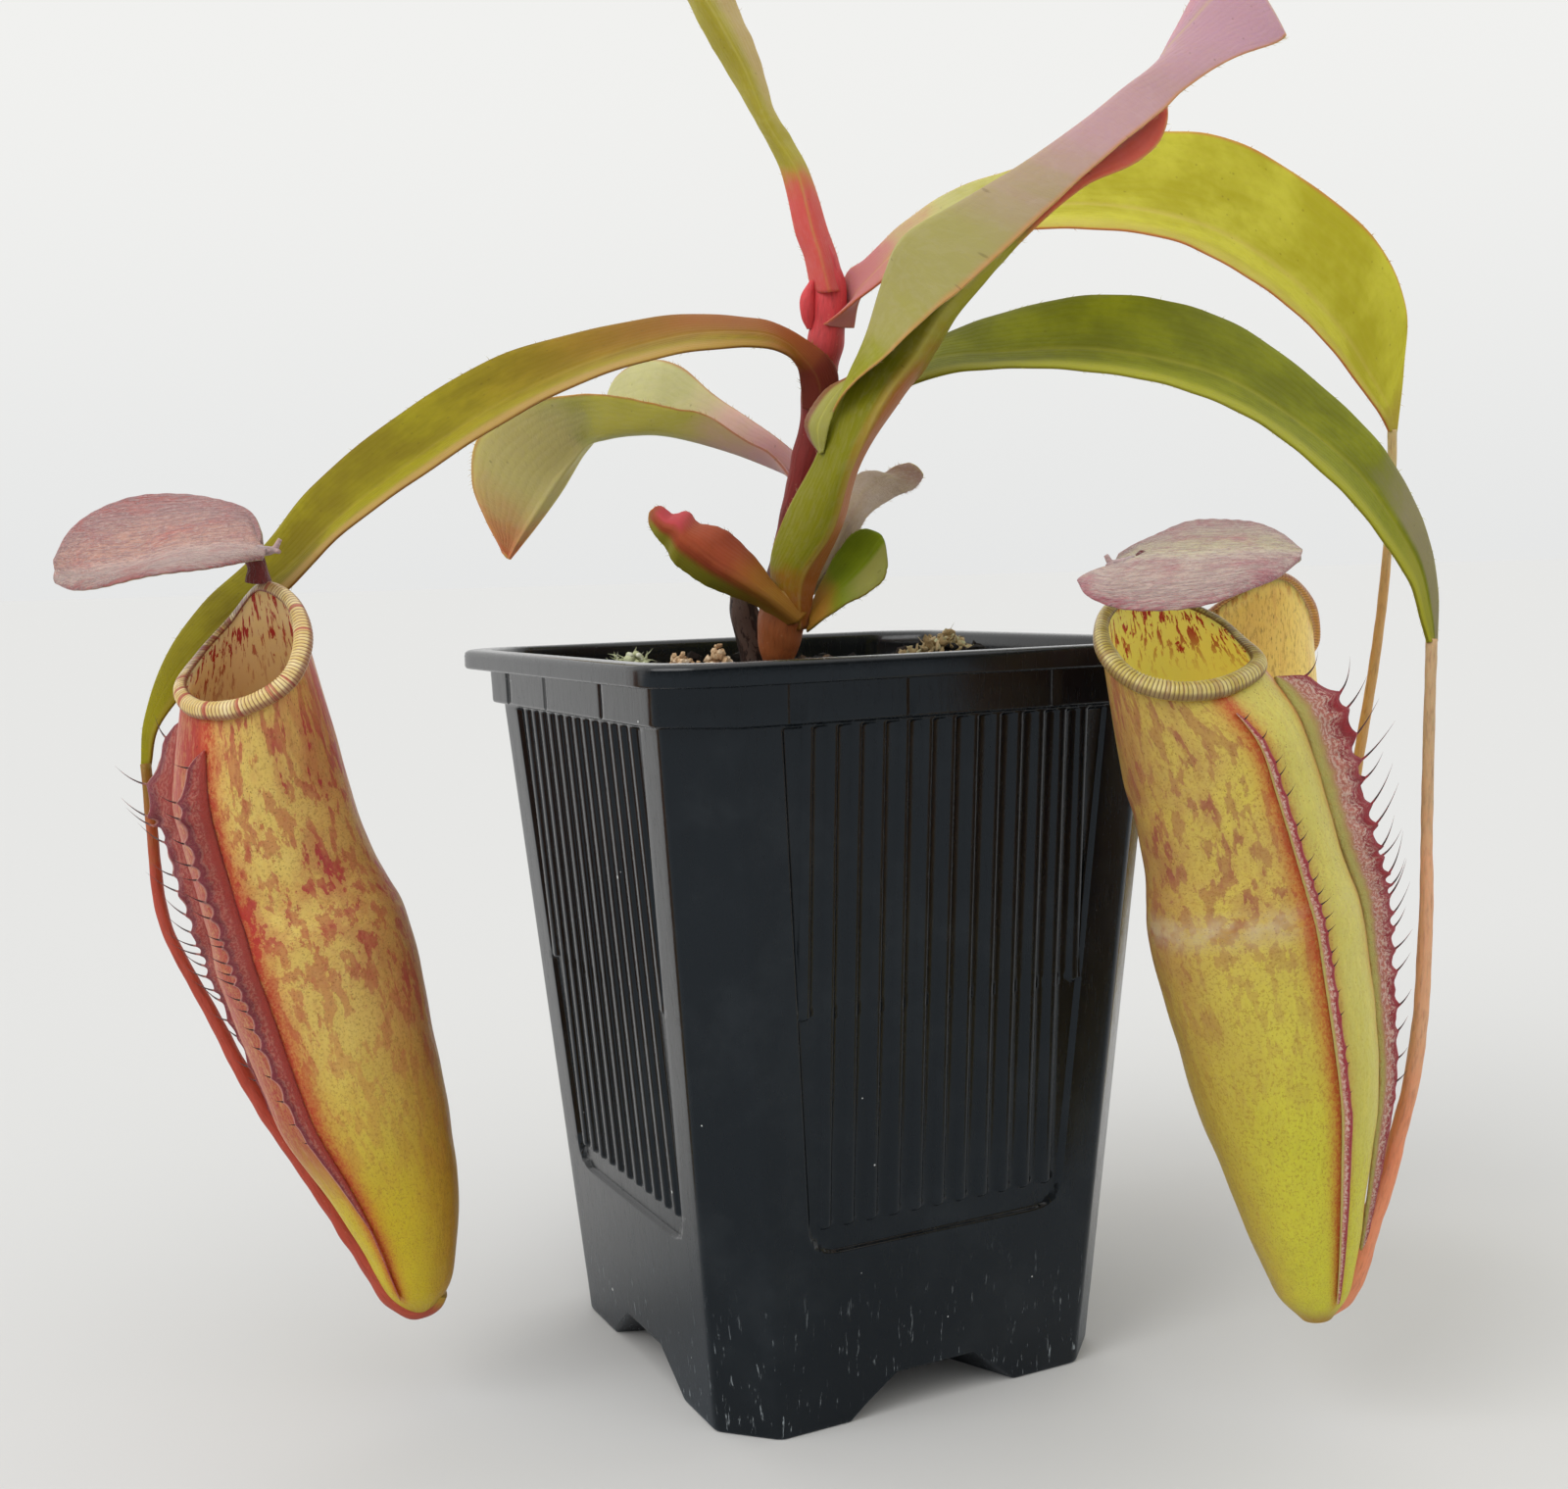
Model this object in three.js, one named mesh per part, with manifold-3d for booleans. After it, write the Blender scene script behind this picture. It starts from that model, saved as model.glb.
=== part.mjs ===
// A tropical pitcher plant in a square plastic nursery pot, in millimetres, +Z up.
// The origin is the centre of the pot's underside and the pot's faces look along X and Y.
// The plant has a frame of its own, turned PLANT_TURN about the pot's axis: there x runs along the
// spread of the leaves, y runs towards the back leaves and z is the height above the pot's feet.
import * as THREE from 'three';
import { mergeVertices } from 'three/addons/utils/BufferGeometryUtils.js';
import Module from 'manifold-3d';

const wasm = await Module();
wasm.setup();

// ---- driving dimensions ----------------------------------------------------------------------
const POT_HEIGHT = 109.4;
const RIM_HALF = 45; // half of the 90 mm square rim
const RIM_THICK = 3;
const BAND_HALF = 41.7; // the plain neck band under the rim
const BAND_LOW = 100.9;
const WALL_TOP_HALF = 40.2; // half width of the tapered wall under the band
const WALL_FOOT_HALF = 31.9; // and at the feet
const WALL = 1.4;
const BEVEL_TOP = 8.1; // flat bevel down each vertical corner
const BEVEL_FOOT = 7.3;
const FLOOR = 7.5;
const PANEL = { topHalf: 25.8, footHalf: 20.6, foot: 26.3, top: BAND_LOW - 0.6, corner: 4, depth: 0.7 };
const RIB = {
  count: 13, pitch: 3.67, width: 1.8, foot: 29.6, outerFoot: 60, top: BAND_LOW - 0.3, proud: 0.62,
};
const NOTCH = { footHalf: 14.8, topHalf: 6.8, height: 5.9, inner: 4, innerHalf: 1.6 };
const DRAIN = { half: 1.8, near: 17, far: 25 };

const GAP = 0.3; // clearance between touching pieces
const SOIL_LEVEL = 104;
const HEAP = { x: -23, y: -3, wide: 7, deep: 9, grains: 8 }; // loose grains heaped near the left cushion
const LOOSE_GRAINS = 10; // and scattered over the rest
const SPRIGS = 5; // upright sprigs on each cushion of moss
const PLANT_TURN = THREE.MathUtils.degToRad(-26.5);
const LEAF_THICK = 0.8;
const MIDRIB = 0.7; // how far the midrib stands out of a blade's underside
const PITCHER_WALL = 1.1;
const INSIDE_FOOT = 0.12; // share of a pitcher's height under its hollow

// ---- small tools -----------------------------------------------------------------------------
const vec = (p) => new THREE.Vector3(p[0], p[1], p[2]);
const curve = (points, closed = false) => new THREE.CatmullRomCurve3(points, closed, 'catmullrom', 0.5);
const lerp = THREE.MathUtils.lerp;

// The same pseudo-random draws on every run.
function randomSource(seed) {
  let state = seed;
  return () => {
    state = (state * 16807) % 2147483647;
    return state / 2147483647;
  };
}

// A closed body from points and triangles, turned the right way out by its signed volume.
function closedBody(points, triangles) {
  let volume = 0;
  for (const [a, b, c] of triangles) {
    volume += points[a].dot(points[b].clone().cross(points[c]));
  }
  const index = triangles.flatMap(([a, b, c]) => (volume > 0 ? [a, b, c] : [a, c, b]));
  const geometry = new THREE.BufferGeometry();
  const flat = points.flatMap((p) => p.toArray());
  geometry.setAttribute('position', new THREE.Float32BufferAttribute(flat, 3));
  geometry.setIndex(index);
  return geometry;
}

// Skin over a row of rings with equal numbers of points, its two ends closed by fans.
function loft(rings) {
  const sides = rings[0].length;
  const points = rings.flat();
  const triangles = [];
  for (let i = 0; i < rings.length - 1; i += 1) {
    for (let j = 0; j < sides; j += 1) {
      const a = i * sides + j;
      const b = i * sides + ((j + 1) % sides);
      triangles.push([a, b, b + sides], [a, b + sides, a + sides]);
    }
  }
  const centre = (ring) => ring.reduce((sum, p) => sum.add(p), new THREE.Vector3()).divideScalar(sides);
  const first = points.push(centre(rings[0])) - 1;
  const last = points.push(centre(rings.at(-1))) - 1;
  const lastRing = (rings.length - 1) * sides;
  for (let j = 0; j < sides; j += 1) {
    const k = (j + 1) % sides;
    triangles.push([first, k, j], [last, lastRing + j, lastRing + k]);
  }
  return closedBody(points, triangles);
}

// A ring of sections that meets itself, such as a lip round a mouth.
function torus(rings) {
  const sides = rings[0].length;
  const points = rings.flat();
  const triangles = [];
  const at = (i, j) => (i % rings.length) * sides + (j % sides);
  for (let i = 0; i < rings.length; i += 1) {
    for (let j = 0; j < sides; j += 1) {
      triangles.push([at(i, j), at(i, j + 1), at(i + 1, j + 1)], [at(i, j), at(i + 1, j + 1), at(i + 1, j)]);
    }
  }
  return closedBody(points, triangles);
}

// A sheet with two faces: equal grids of points, split alike, joined round their four edges.
function sheet(top, bottom) {
  const rows = top.length;
  const columns = top[0].length;
  const points = [...top.flat(), ...bottom.flat()];
  const below = rows * columns;
  const at = (i, j) => i * columns + j;
  const triangles = [];
  for (let i = 0; i < rows - 1; i += 1) {
    for (let j = 0; j < columns - 1; j += 1) {
      const [a, b, c, d] = [at(i, j), at(i, j + 1), at(i + 1, j + 1), at(i + 1, j)];
      triangles.push([a, b, c], [a, c, d]);
      triangles.push([below + a, below + c, below + b], [below + a, below + d, below + c]);
    }
  }
  const edge = [];
  for (let j = 0; j < columns - 1; j += 1) edge.push(at(0, j));
  for (let i = 0; i < rows - 1; i += 1) edge.push(at(i, columns - 1));
  for (let j = columns - 1; j > 0; j -= 1) edge.push(at(rows - 1, j));
  for (let i = rows - 1; i > 0; i -= 1) edge.push(at(i, 0));
  edge.forEach((a, k) => {
    const b = edge[(k + 1) % edge.length];
    triangles.push([a, below + a, below + b], [a, below + b, b]);
  });
  return closedBody(points, triangles);
}

// Unit normals of a grid of points, from its neighbours' differences.
function gridNormals(grid) {
  return grid.map((row, i) => row.map((_, j) => {
    const along = grid[Math.min(i + 1, grid.length - 1)][j].clone().sub(grid[Math.max(i - 1, 0)][j]);
    const across = row[Math.min(j + 1, row.length - 1)].clone().sub(row[Math.max(j - 1, 0)]);
    return along.cross(across).normalize();
  }));
}

function toSolid(geometry) {
  const bare = geometry.clone();
  bare.deleteAttribute('normal');
  bare.deleteAttribute('uv');
  const merged = mergeVertices(bare, 1e-4);
  return new wasm.Manifold(new wasm.Mesh({
    numProp: 3,
    vertProperties: new Float32Array(merged.attributes.position.array),
    triVerts: new Uint32Array(merged.index.array),
  }));
}

function toGeometry(solid) {
  const mesh = solid.getMesh();
  const geometry = new THREE.BufferGeometry();
  geometry.setAttribute('position', new THREE.BufferAttribute(new Float32Array(mesh.vertProperties), 3));
  geometry.setIndex(new THREE.BufferAttribute(new Uint32Array(mesh.triVerts), 1));
  return geometry;
}

// The largest body left when the cutters are taken out of a piece.
function carve(geometry, ...cutters) {
  const solid = cutters.map(toSolid).reduce((rest, cutter) => rest.subtract(cutter), toSolid(geometry));
  const bodies = solid.decompose();
  return toGeometry(bodies.reduce((best, body) => (body.volume() > best.volume() ? body : best)));
}

function fuse(...geometries) {
  return toGeometry(geometries.map(toSolid).reduce((sum, next) => sum.add(next)));
}

// ---- pot -------------------------------------------------------------------------------------
// One level of the pot: a square with cut corners, from flat bevels (round 0) to arcs (round 1).
function squareRing(half, corner, round, z, perSide = 0) {
  const steps = 3;
  const ring = [];
  for (let side = 0; side < 4; side += 1) {
    const turn = side * Math.PI / 2;
    const place = (x, y) => ring.push(new THREE.Vector3(
      x * Math.cos(turn) - y * Math.sin(turn), x * Math.sin(turn) + y * Math.cos(turn), z));
    for (let k = 0; k <= steps; k += 1) {
      const angle = k / steps * Math.PI / 2;
      const x = lerp(1 - k / steps, Math.cos(angle), round);
      const y = lerp(k / steps, Math.sin(angle), round);
      place(half - corner + corner * x, half - corner + corner * y);
    }
    for (let k = 1; k <= perSide; k += 1) {
      place(lerp(half - corner, corner - half, k / (perSide + 1)), half);
    }
  }
  return ring;
}

const wallHalf = (z) => lerp(WALL_FOOT_HALF, WALL_TOP_HALF, z / BAND_LOW);

// A prism drawn on the pot's wall: the outline lies in the face, low and high stand off it.
function onFace(shape, low, high, face) {
  const options = { depth: high - low, bevelEnabled: false, curveSegments: 3 };
  const geometry = new THREE.ExtrudeGeometry(shape, options);
  const position = geometry.attributes.position;
  for (let i = 0; i < position.count; i += 1) {
    const [x, z, out] = [position.getX(i), position.getY(i), position.getZ(i) + low];
    position.setXYZ(i, x, -(wallHalf(z) + out), z);
  }
  return geometry.rotateZ(face * Math.PI / 2);
}

function panelShape() {
  const { topHalf, footHalf, foot, top, corner } = PANEL;
  const shoulder = lerp(footHalf, topHalf, corner / (top - foot));
  const shape = new THREE.Shape();
  shape.moveTo(-topHalf, top);
  shape.lineTo(-shoulder, foot + corner);
  shape.quadraticCurveTo(-footHalf, foot, corner - footHalf, foot);
  shape.lineTo(footHalf - corner, foot);
  shape.quadraticCurveTo(footHalf, foot, shoulder, foot + corner);
  shape.lineTo(topHalf, top);
  shape.closePath();
  return shape;
}

function ribShape(x, foot) {
  const half = RIB.width / 2;
  const shape = new THREE.Shape();
  shape.moveTo(x - half, RIB.top);
  shape.lineTo(x - half, foot + half);
  shape.lineTo(x, foot);
  shape.lineTo(x + half, foot + half);
  shape.lineTo(x + half, RIB.top);
  shape.closePath();
  return shape;
}

// The wedge cut under each side that leaves four feet, joined by an X of ridges at the centre.
function notchWedge(face) {
  const reach = WALL_FOOT_HALF + 2;
  const level = (z) => {
    const outer = lerp(NOTCH.footHalf, NOTCH.topHalf, z / NOTCH.height);
    const inner = NOTCH.innerHalf * (1 - 0.4 * z / NOTCH.height);
    const start = NOTCH.inner + z * 0.4;
    return [[-outer, -reach], [outer, -reach], [inner, -start], [-inner, -start]]
      .map(([x, y]) => new THREE.Vector3(x, y, z));
  };
  return loft([level(-0.5), level(NOTCH.height)]).rotateZ(face * Math.PI / 2);
}

function drainSlot(face) {
  const { half, near, far } = DRAIN;
  const outline = [
    [-half, -near], [0, half - near], [half, -near], [half, -far], [0, -far - half], [-half, -far],
  ];
  const level = (z) => outline.map(([x, y]) => new THREE.Vector3(x, y, z));
  return loft([level(NOTCH.height - 1), level(FLOOR + 1)]).rotateZ(face * Math.PI / 2);
}

function pot() {
  const rimLow = POT_HEIGHT - RIM_THICK;
  const inner = (z) => wallHalf(z) - WALL;
  const shell = loft([
    squareRing(WALL_FOOT_HALF - 0.4, BEVEL_FOOT, 0.15, 0),
    squareRing(WALL_FOOT_HALF, BEVEL_FOOT, 0.15, 0.6),
    squareRing(WALL_TOP_HALF, BEVEL_TOP, 0.15, BAND_LOW),
    squareRing(BAND_HALF, BEVEL_TOP + 0.3, 0.3, BAND_LOW + 0.3),
    squareRing(BAND_HALF + 0.2, BEVEL_TOP + 0.3, 0.3, rimLow - 0.1),
    squareRing(RIM_HALF - 0.5, 9, 0.8, rimLow),
    squareRing(RIM_HALF, 9, 0.8, rimLow + 0.6),
    squareRing(RIM_HALF, 9, 0.8, POT_HEIGHT - 0.7),
    squareRing(RIM_HALF - 0.6, 8.6, 0.8, POT_HEIGHT),
    squareRing(RIM_HALF - 3.6, 7.8, 0.7, POT_HEIGHT),
    squareRing(RIM_HALF - 4.3, 7.6, 0.6, POT_HEIGHT - 0.7),
    squareRing(BAND_HALF - 1.3, 7.6, 0.4, BAND_LOW + 0.4),
    squareRing(inner(BAND_LOW - 1.4), 7.6, 0.15, BAND_LOW - 1.4),
    squareRing(inner(FLOOR), BEVEL_FOOT - 0.5, 0.15, FLOOR),
  ]);
  let solid = toSolid(shell);
  for (let face = 0; face < 4; face += 1) {
    solid = solid.subtract(toSolid(onFace(panelShape(), -PANEL.depth, 1, face)));
    for (let i = 0; i < RIB.count; i += 1) {
      const x = (i - (RIB.count - 1) / 2) * RIB.pitch;
      const foot = i === 0 || i === RIB.count - 1 ? RIB.outerFoot : RIB.foot;
      const rib = onFace(ribShape(x, foot), -PANEL.depth - 0.3, RIB.proud - PANEL.depth, face);
      solid = solid.add(toSolid(rib));
    }
    solid = solid.subtract(toSolid(notchWedge(face))).subtract(toSolid(drainSlot(face)));
  }
  return toGeometry(solid);
}

// ---- potting mix and moss --------------------------------------------------------------------
// Mounds of the surface: [x, y, height, radius].
const MOUNDS = [[-23, -3, 3.2, 9], [-34, -1, 2.4, 7], [28, 6, 3, 10], [6, 24, 1.6, 12], [10, -22, 1.2, 10]];

function soilHeight(x, y) {
  const ripple = 0.5 * Math.sin(0.9 * x + 0.4) * Math.cos(0.7 * y) + 0.4 * Math.sin(0.37 * x - 0.61 * y);
  return MOUNDS.reduce(
    (z, [mx, my, height, radius]) => z + height * Math.exp(-((x - mx) ** 2 + (y - my) ** 2) / radius ** 2),
    SOIL_LEVEL + ripple,
  );
}

function soilBlock(lift = 0) {
  const half = wallHalf(BAND_LOW - 6) - WALL - GAP;
  const foot = wallHalf(FLOOR + GAP) - WALL - GAP;
  const perSide = 3;
  const rings = [
    squareRing(foot, BEVEL_FOOT - 0.5, 0.15, FLOOR + GAP, perSide),
    squareRing(half, BEVEL_TOP - 0.6, 0.15, BAND_LOW - 6, perSide),
    squareRing(half + 0.15, BEVEL_TOP - 0.6, 0.15, BAND_LOW - 2, perSide),
  ];
  for (const share of [0.985, 0.82, 0.66, 0.5, 0.33, 0.14]) {
    const ring = squareRing(half * share, (BEVEL_TOP - 0.6) * share, 0.15, 0, perSide);
    ring.forEach((p) => { p.z = soilHeight(p.x, p.y) + lift - (share > 0.9 ? 1.2 : 0); });
    rings.push(ring);
  }
  return loft(rings);
}

function pottingMix(...holes) {
  const random = randomSource(417);
  const parts = [soilBlock()];
  for (let i = 0; i < HEAP.grains + LOOSE_GRAINS; i += 1) {
    const angle = random() * 2 * Math.PI;
    const reach = 6 + 26 * random();
    const heaped = i < HEAP.grains;
    const x = heaped ? HEAP.x + HEAP.wide * (random() - 0.5) : reach * Math.cos(angle);
    const y = heaped ? HEAP.y + HEAP.deep * (random() - 0.5) : reach * Math.sin(angle);
    const radius = 0.9 + 0.8 * random();
    const grain = new THREE.IcosahedronGeometry(radius, 0).scale(1, 0.85, 0.8).rotateZ(angle);
    parts.push(grain.translate(x, y, soilHeight(x, y) + 0.25 * radius));
  }
  return carve(fuse(...parts), ...holes);
}

// A low cushion of moss on the mix: lobes of a dome, and a few upright sprigs.
function mossCushion(x, y, width, height, seed) {
  const random = randomSource(seed);
  const dome = new THREE.SphereGeometry(1, 10, 6);
  const position = dome.attributes.position;
  for (let i = 0; i < position.count; i += 1) {
    const p = new THREE.Vector3().fromBufferAttribute(position, i);
    const lobes = 1 + 0.14 * Math.sin(5 * Math.atan2(p.y, p.x)) * (1 - p.z * p.z) + 0.1 * Math.sin(7 * p.z);
    position.setXYZ(i, p.x * width * lobes, p.y * width * 0.8 * lobes, p.z * height * lobes);
  }
  const parts = [dome.translate(0, 0, 0.4)];
  for (let k = 0; k < SPRIGS; k += 1) {
    const angle = random() * 2 * Math.PI;
    const sprig = new THREE.ConeGeometry(0.55, height * 0.9, 4, 1).rotateX(Math.PI / 2);
    sprig.rotateY(0.5 * Math.cos(angle)).rotateX(-0.5 * Math.sin(angle));
    const [across, back] = [width * 0.5 * Math.cos(angle), width * 0.4 * Math.sin(angle)];
    parts.push(sprig.translate(across, back, height * (0.9 + 0.25 * random())));
  }
  return carve(fuse(...parts).translate(x, y, soilHeight(x, y)), soilBlock(GAP));
}

// ---- stems, tendrils and blades --------------------------------------------------------------
// A round stem along a smooth line: each row is x, y, z and radius.
function tube(rows, { sides = 6, steps = 20, swell = 0 } = {}) {
  const path = curve(rows.map(vec));
  const frames = path.computeFrenetFrames(steps, false);
  const girth = curve(rows.map((row) => new THREE.Vector3(row[3], 0, 0)));
  const rings = [];
  for (let i = 0; i <= steps; i += 1) {
    const u = path.getUtoTmapping(i / steps);
    const centre = path.getPoint(u);
    const radius = girth.getPoint(u).x + swell;
    const ring = [];
    for (let j = 0; j < sides; j += 1) {
      const angle = 2 * Math.PI * j / sides;
      ring.push(centre.clone()
        .addScaledVector(frames.normals[i], radius * Math.cos(angle))
        .addScaledVector(frames.binormals[i], radius * Math.sin(angle)));
    }
    rings.push(ring);
  }
  return loft(rings);
}

// A blade through stations from the stem to the tip. Each station is a row of points across it,
// edge to edge with the midrib between; the margins wave gently and the midrib stands out below.
function blade(stations, options = {}) {
  const { along = 20, across = 4, thick = LEAF_THICK, wave = 0.5, waves = 5, swell = 0 } = options;
  const lanes = stations[0].map((_, k) => curve(stations.map((row) => vec(row[k]))));
  const grid = [];
  for (let i = 0; i <= along; i += 1) {
    const section = curve(lanes.map((lane) => lane.getPoint(i / along)));
    grid.push(Array.from({ length: across + 1 }, (_, j) => section.getPoint(j / across)));
  }
  const normals = gridNormals(grid);
  const under = normals.flat().reduce((sum, n) => sum + n.z, 0) > 0 ? -1 : 1;
  const face = (side) => grid.map((row, i) => row.map((p, j) => {
    const v = 2 * j / across - 1;
    const taper = Math.sin(Math.PI * i / along);
    const lift = wave * v * v * taper * Math.sin(waves * 2 * Math.PI * i / along + (v > 0 ? 1.3 : 0));
    const rib = side === under && Math.abs(v) < 0.01 ? MIDRIB * (0.4 + 0.6 * taper) : 0;
    return p.clone().addScaledVector(normals[i][j], lift + side * (thick / 2 + swell) + side * rib);
  }));
  return sheet(face(1), face(-1));
}

// Main stem, dark and woody at the foot, up to the youngest leaf.
const STEM = [
  [-8, 2, 84, 1.7], [-8, 2, 100, 1.7], [-7.6, 2, 111, 1.6], [-4.5, 1, 124, 1.7], [-1.3, 0, 135, 2],
  [0.5, 0, 142, 1.9], [2.2, 0, 150, 2.3], [3, 0, 156, 2.2], [4, 0, 162, 2.5], [4.4, 0, 166.5, 2.2],
];
// Side shoot from the base, in front of the main stem.
const SHOOT = [
  [-6, -5.5, 90, 1.8], [-6, -6, 102, 2.1], [-5.8, -7, 110, 2.6], [-5.2, -8, 115, 3.2], [-4.4, -8.6, 118, 2.6],
];

// Blades: stations from the stem to the tip, each across from the back margin over the midrib to
// the front margin. The front leaf has four points across, because its back half rolls over.
const LEAF_LEFT = [
  [[3, -1, 153], [2.5, -2.5, 151], [1.5, -3.5, 149.5]],
  [[-1, -1, 156.5], [-2.5, -5, 154], [-2.5, -8, 152]],
  [[-9.5, 0, 159.5], [-9.5, -7, 156], [-10.5, -12, 153.5]],
  [[-20, 1, 160.5], [-19.5, -6, 156], [-20, -14, 152.5]],
  [[-33.5, 2, 158.5], [-33.5, -5, 152.5], [-33.5, -15, 148.5]],
  [[-49, 2, 154.5], [-47.5, -5, 146.5], [-46.5, -15, 142.5]],
  [[-64, 1, 146], [-60.5, -5, 138.5], [-59.5, -14, 134.5]],
  [[-76.5, 0, 136], [-71.5, -6, 130.5], [-70.5, -13, 127]],
  [[-85.5, 1, 126.5], [-80.5, -4, 123], [-78.5, -9, 120.5]],
  [[-94.5, 0, 118.5], [-89, -4, 116.5], [-87, -7, 114]],
  [[-100, -3, 110], [-97, -5.5, 108.5], [-94.5, -7, 106.5]],
  [[-102.3, -7, 101], [-101, -8, 100.5], [-99.5, -9, 100]],
  [[-102.3, -9.5, 94], [-101.5, -10, 94], [-100.7, -10.4, 94]],
];
const LEAF_RIGHT_LOW = [
  [[1.5, 0.5, 144], [2.5, -2, 142], [3, -3.5, 140.5]],
  [[8.5, 0, 150.5], [9, -5, 147.5], [9, -8, 145]],
  [[20.5, 1, 156], [19, -7, 151.5], [19, -14, 148.5]],
  [[30, 2, 159.5], [28.5, -9, 152], [27.5, -17, 149]],
  [[42, 1, 161.5], [40, -11, 152], [38, -20, 148]],
  [[53.5, -2, 160.5], [50.5, -14, 150], [48, -24, 146]],
  [[63.5, -5, 156.5], [60, -17, 146.5], [57, -27, 142]],
  [[73.5, -10, 148], [68.5, -20, 140.5], [65, -29, 137]],
  [[81, -16, 139], [76, -24, 133], [72, -31, 130]],
  [[84.5, -21, 131], [80.5, -27, 125.5], [77.5, -32, 123]],
  [[86.5, -25, 123.5], [83.5, -29, 119], [81.5, -32, 117]],
  [[86.8, -28, 116], [84.5, -30.5, 113], [83, -32, 112]],
  [[86, -30, 108.5], [85, -31, 108.5], [84.2, -31.8, 108.5]],
];
const LEAF_RIGHT_HIGH = [
  [[7, 2, 165], [7.4, -1, 162], [7, -3, 160]],
  [[8.5, 3, 168], [9, -2, 164.5], [9.5, -5, 162]],
  [[15.5, 6, 174.5], [15.5, 0, 170], [16.5, -5, 167]],
  [[23.5, 9, 179.5], [23.5, 2, 173.5], [24, -5, 169.5]],
  [[34, 13, 183.5], [33.5, 5, 175.5], [33, -4, 171]],
  [[45.5, 17, 188], [45.5, 8, 176.5], [44, -2, 171]],
  [[60, 21, 190.5], [58.5, 11, 175], [56.5, 1, 169.5]],
  [[72.5, 23, 189], [69.5, 14, 171.5], [66.5, 5, 166]],
  [[85.5, 24, 181.5], [79.5, 16, 165], [76, 9, 160.5]],
  [[95.5, 24, 172.5], [87.5, 18, 157.5], [84.5, 13, 154]],
  [[100, 23, 162], [93, 19, 149.5], [91, 16, 147]],
  [[99, 21, 151.5], [96, 19.5, 144.5], [94.2, 18, 143.5]],
  [[97.5, 20, 141], [96.7, 19.6, 141], [96, 19.2, 141]],
];
const LEAF_FRONT = [
  [[-4.5, -7, 112], [-3.5, -9, 112], [-2.5, -9.5, 112], [-1, -8, 112]],
  [[-6.5, -7, 121], [-4.5, -10, 120], [-2, -11, 119.5], [0.5, -8, 119]],
  [[-4.5, -8, 128], [-1, -12, 127.5], [2.5, -13, 127], [4.5, -9, 127.5]],
  [[0.5, -9, 137], [3, -13, 136.5], [5.5, -15, 136], [7.5, -10, 136.5]],
  [[4.5, -15, 145.5], [6, -12, 147.5], [11, -16, 145.5], [13.5, -12, 145.5]],
  [[10.5, -21, 150.5], [9, -13, 155], [15.5, -18, 151], [17.5, -13, 150.5]],
  [[16.5, -24, 155.5], [11.5, -15, 163], [19.5, -20, 157], [21.5, -15, 156.5]],
  [[22, -25, 159.5], [14.5, -17, 168], [24.5, -21, 162.5], [26, -17, 162]],
  [[31, -25.5, 167.5], [23, -19, 172.5], [29.5, -19.5, 170], [32.5, -21, 168]],
  [[37.5, -27, 173], [31.5, -21, 177], [36, -21, 175.8], [39, -23.5, 173]],
  [[44, -28.5, 178], [39.5, -23, 182], [43, -22, 180.8], [46.5, -25, 176]],
  [[48.5, -29, 181.5], [45, -24, 186], [47.5, -22.5, 184.8], [50, -25.5, 180.5]],
  [[52, -29, 184.5], [49, -26, 188], [49.5, -23.5, 189.5], [50.5, -22, 190]],
  [[58, -29, 188], [55.5, -26.5, 191.5], [54, -24, 194.5], [53, -21.5, 196]],
  [[64, -29, 190], [60.5, -27, 194.5], [57.5, -24.5, 198], [55.5, -21.5, 200]],
  [[65.5, -29, 191], [63.5, -27, 196], [61.5, -25, 200], [59.5, -22, 202.5]],
];
const LEAF_BACK = [
  [[-1, 3, 137], [-1.5, 2, 134.5], [-2, 1, 133]],
  [[-5.5, 9, 143], [-7, 8, 139.5], [-7.5, 5, 138]],
  [[-12.5, 16, 149], [-14, 14, 145], [-14, 9, 143]],
  [[-19.5, 22, 155], [-19.5, 19, 148.5], [-20.5, 13, 144.5]],
  [[-27, 27, 156.5], [-27, 23, 150.5], [-27.5, 17, 145]],
  [[-35, 31, 156], [-34.5, 27, 150.5], [-33.5, 21, 144]],
  [[-44, 34, 155], [-43, 30, 148], [-38, 25, 140.5]],
  [[-52.5, 36, 151.5], [-48.5, 33, 143.5], [-42.5, 29, 135.5]],
  [[-57.5, 37, 144], [-52.5, 35, 138], [-46.5, 32, 130]],
  [[-57.5, 37, 134.5], [-53.5, 36, 131], [-50, 34, 126]],
  [[-54.5, 37, 126], [-53.5, 36.5, 124.5], [-52.5, 36, 124]],
];
const LEAF_TOP = [
  [[2.4, 0.5, 167.4], [3.8, -1.5, 167.2], [6, 0.5, 167.6]],
  [[1, 1.5, 170.5], [2.4, -1, 170], [4.8, 1.5, 171]],
  [[-1, 2, 175.5], [0.5, 0, 175.3], [3, 2, 175.5]],
  [[-4, 3, 183.5], [-2.5, 1, 183.2], [-0.6, 3, 183.5]],
  [[-7.5, 3.5, 191], [-6, 1, 190.5], [-3.8, 4.5, 191]],
  [[-11, 4, 197], [-8.5, 1, 196.7], [-5.3, 7, 197]],
  [[-14, 4, 202.5], [-11.5, 1, 202.5], [-7, 9, 203]],
  [[-16.5, 4, 207.5], [-14.5, 1, 207.8], [-9, 11, 208.5]],
  [[-19, 5, 213.5], [-17.5, 2, 214], [-11, 12, 215.5]],
  [[-21.5, 5, 219.5], [-19.5, 3, 220], [-13.5, 12, 222]],
  [[-23, 6, 225.5], [-21.5, 4, 226], [-16.5, 11, 228]],
  [[-24, 6, 230.5], [-22.7, 5, 231], [-20.3, 9, 232.5]],
  [[-23.8, 7, 234.5], [-23.2, 7, 235], [-22.4, 7.7, 235.2]],
];
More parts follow.
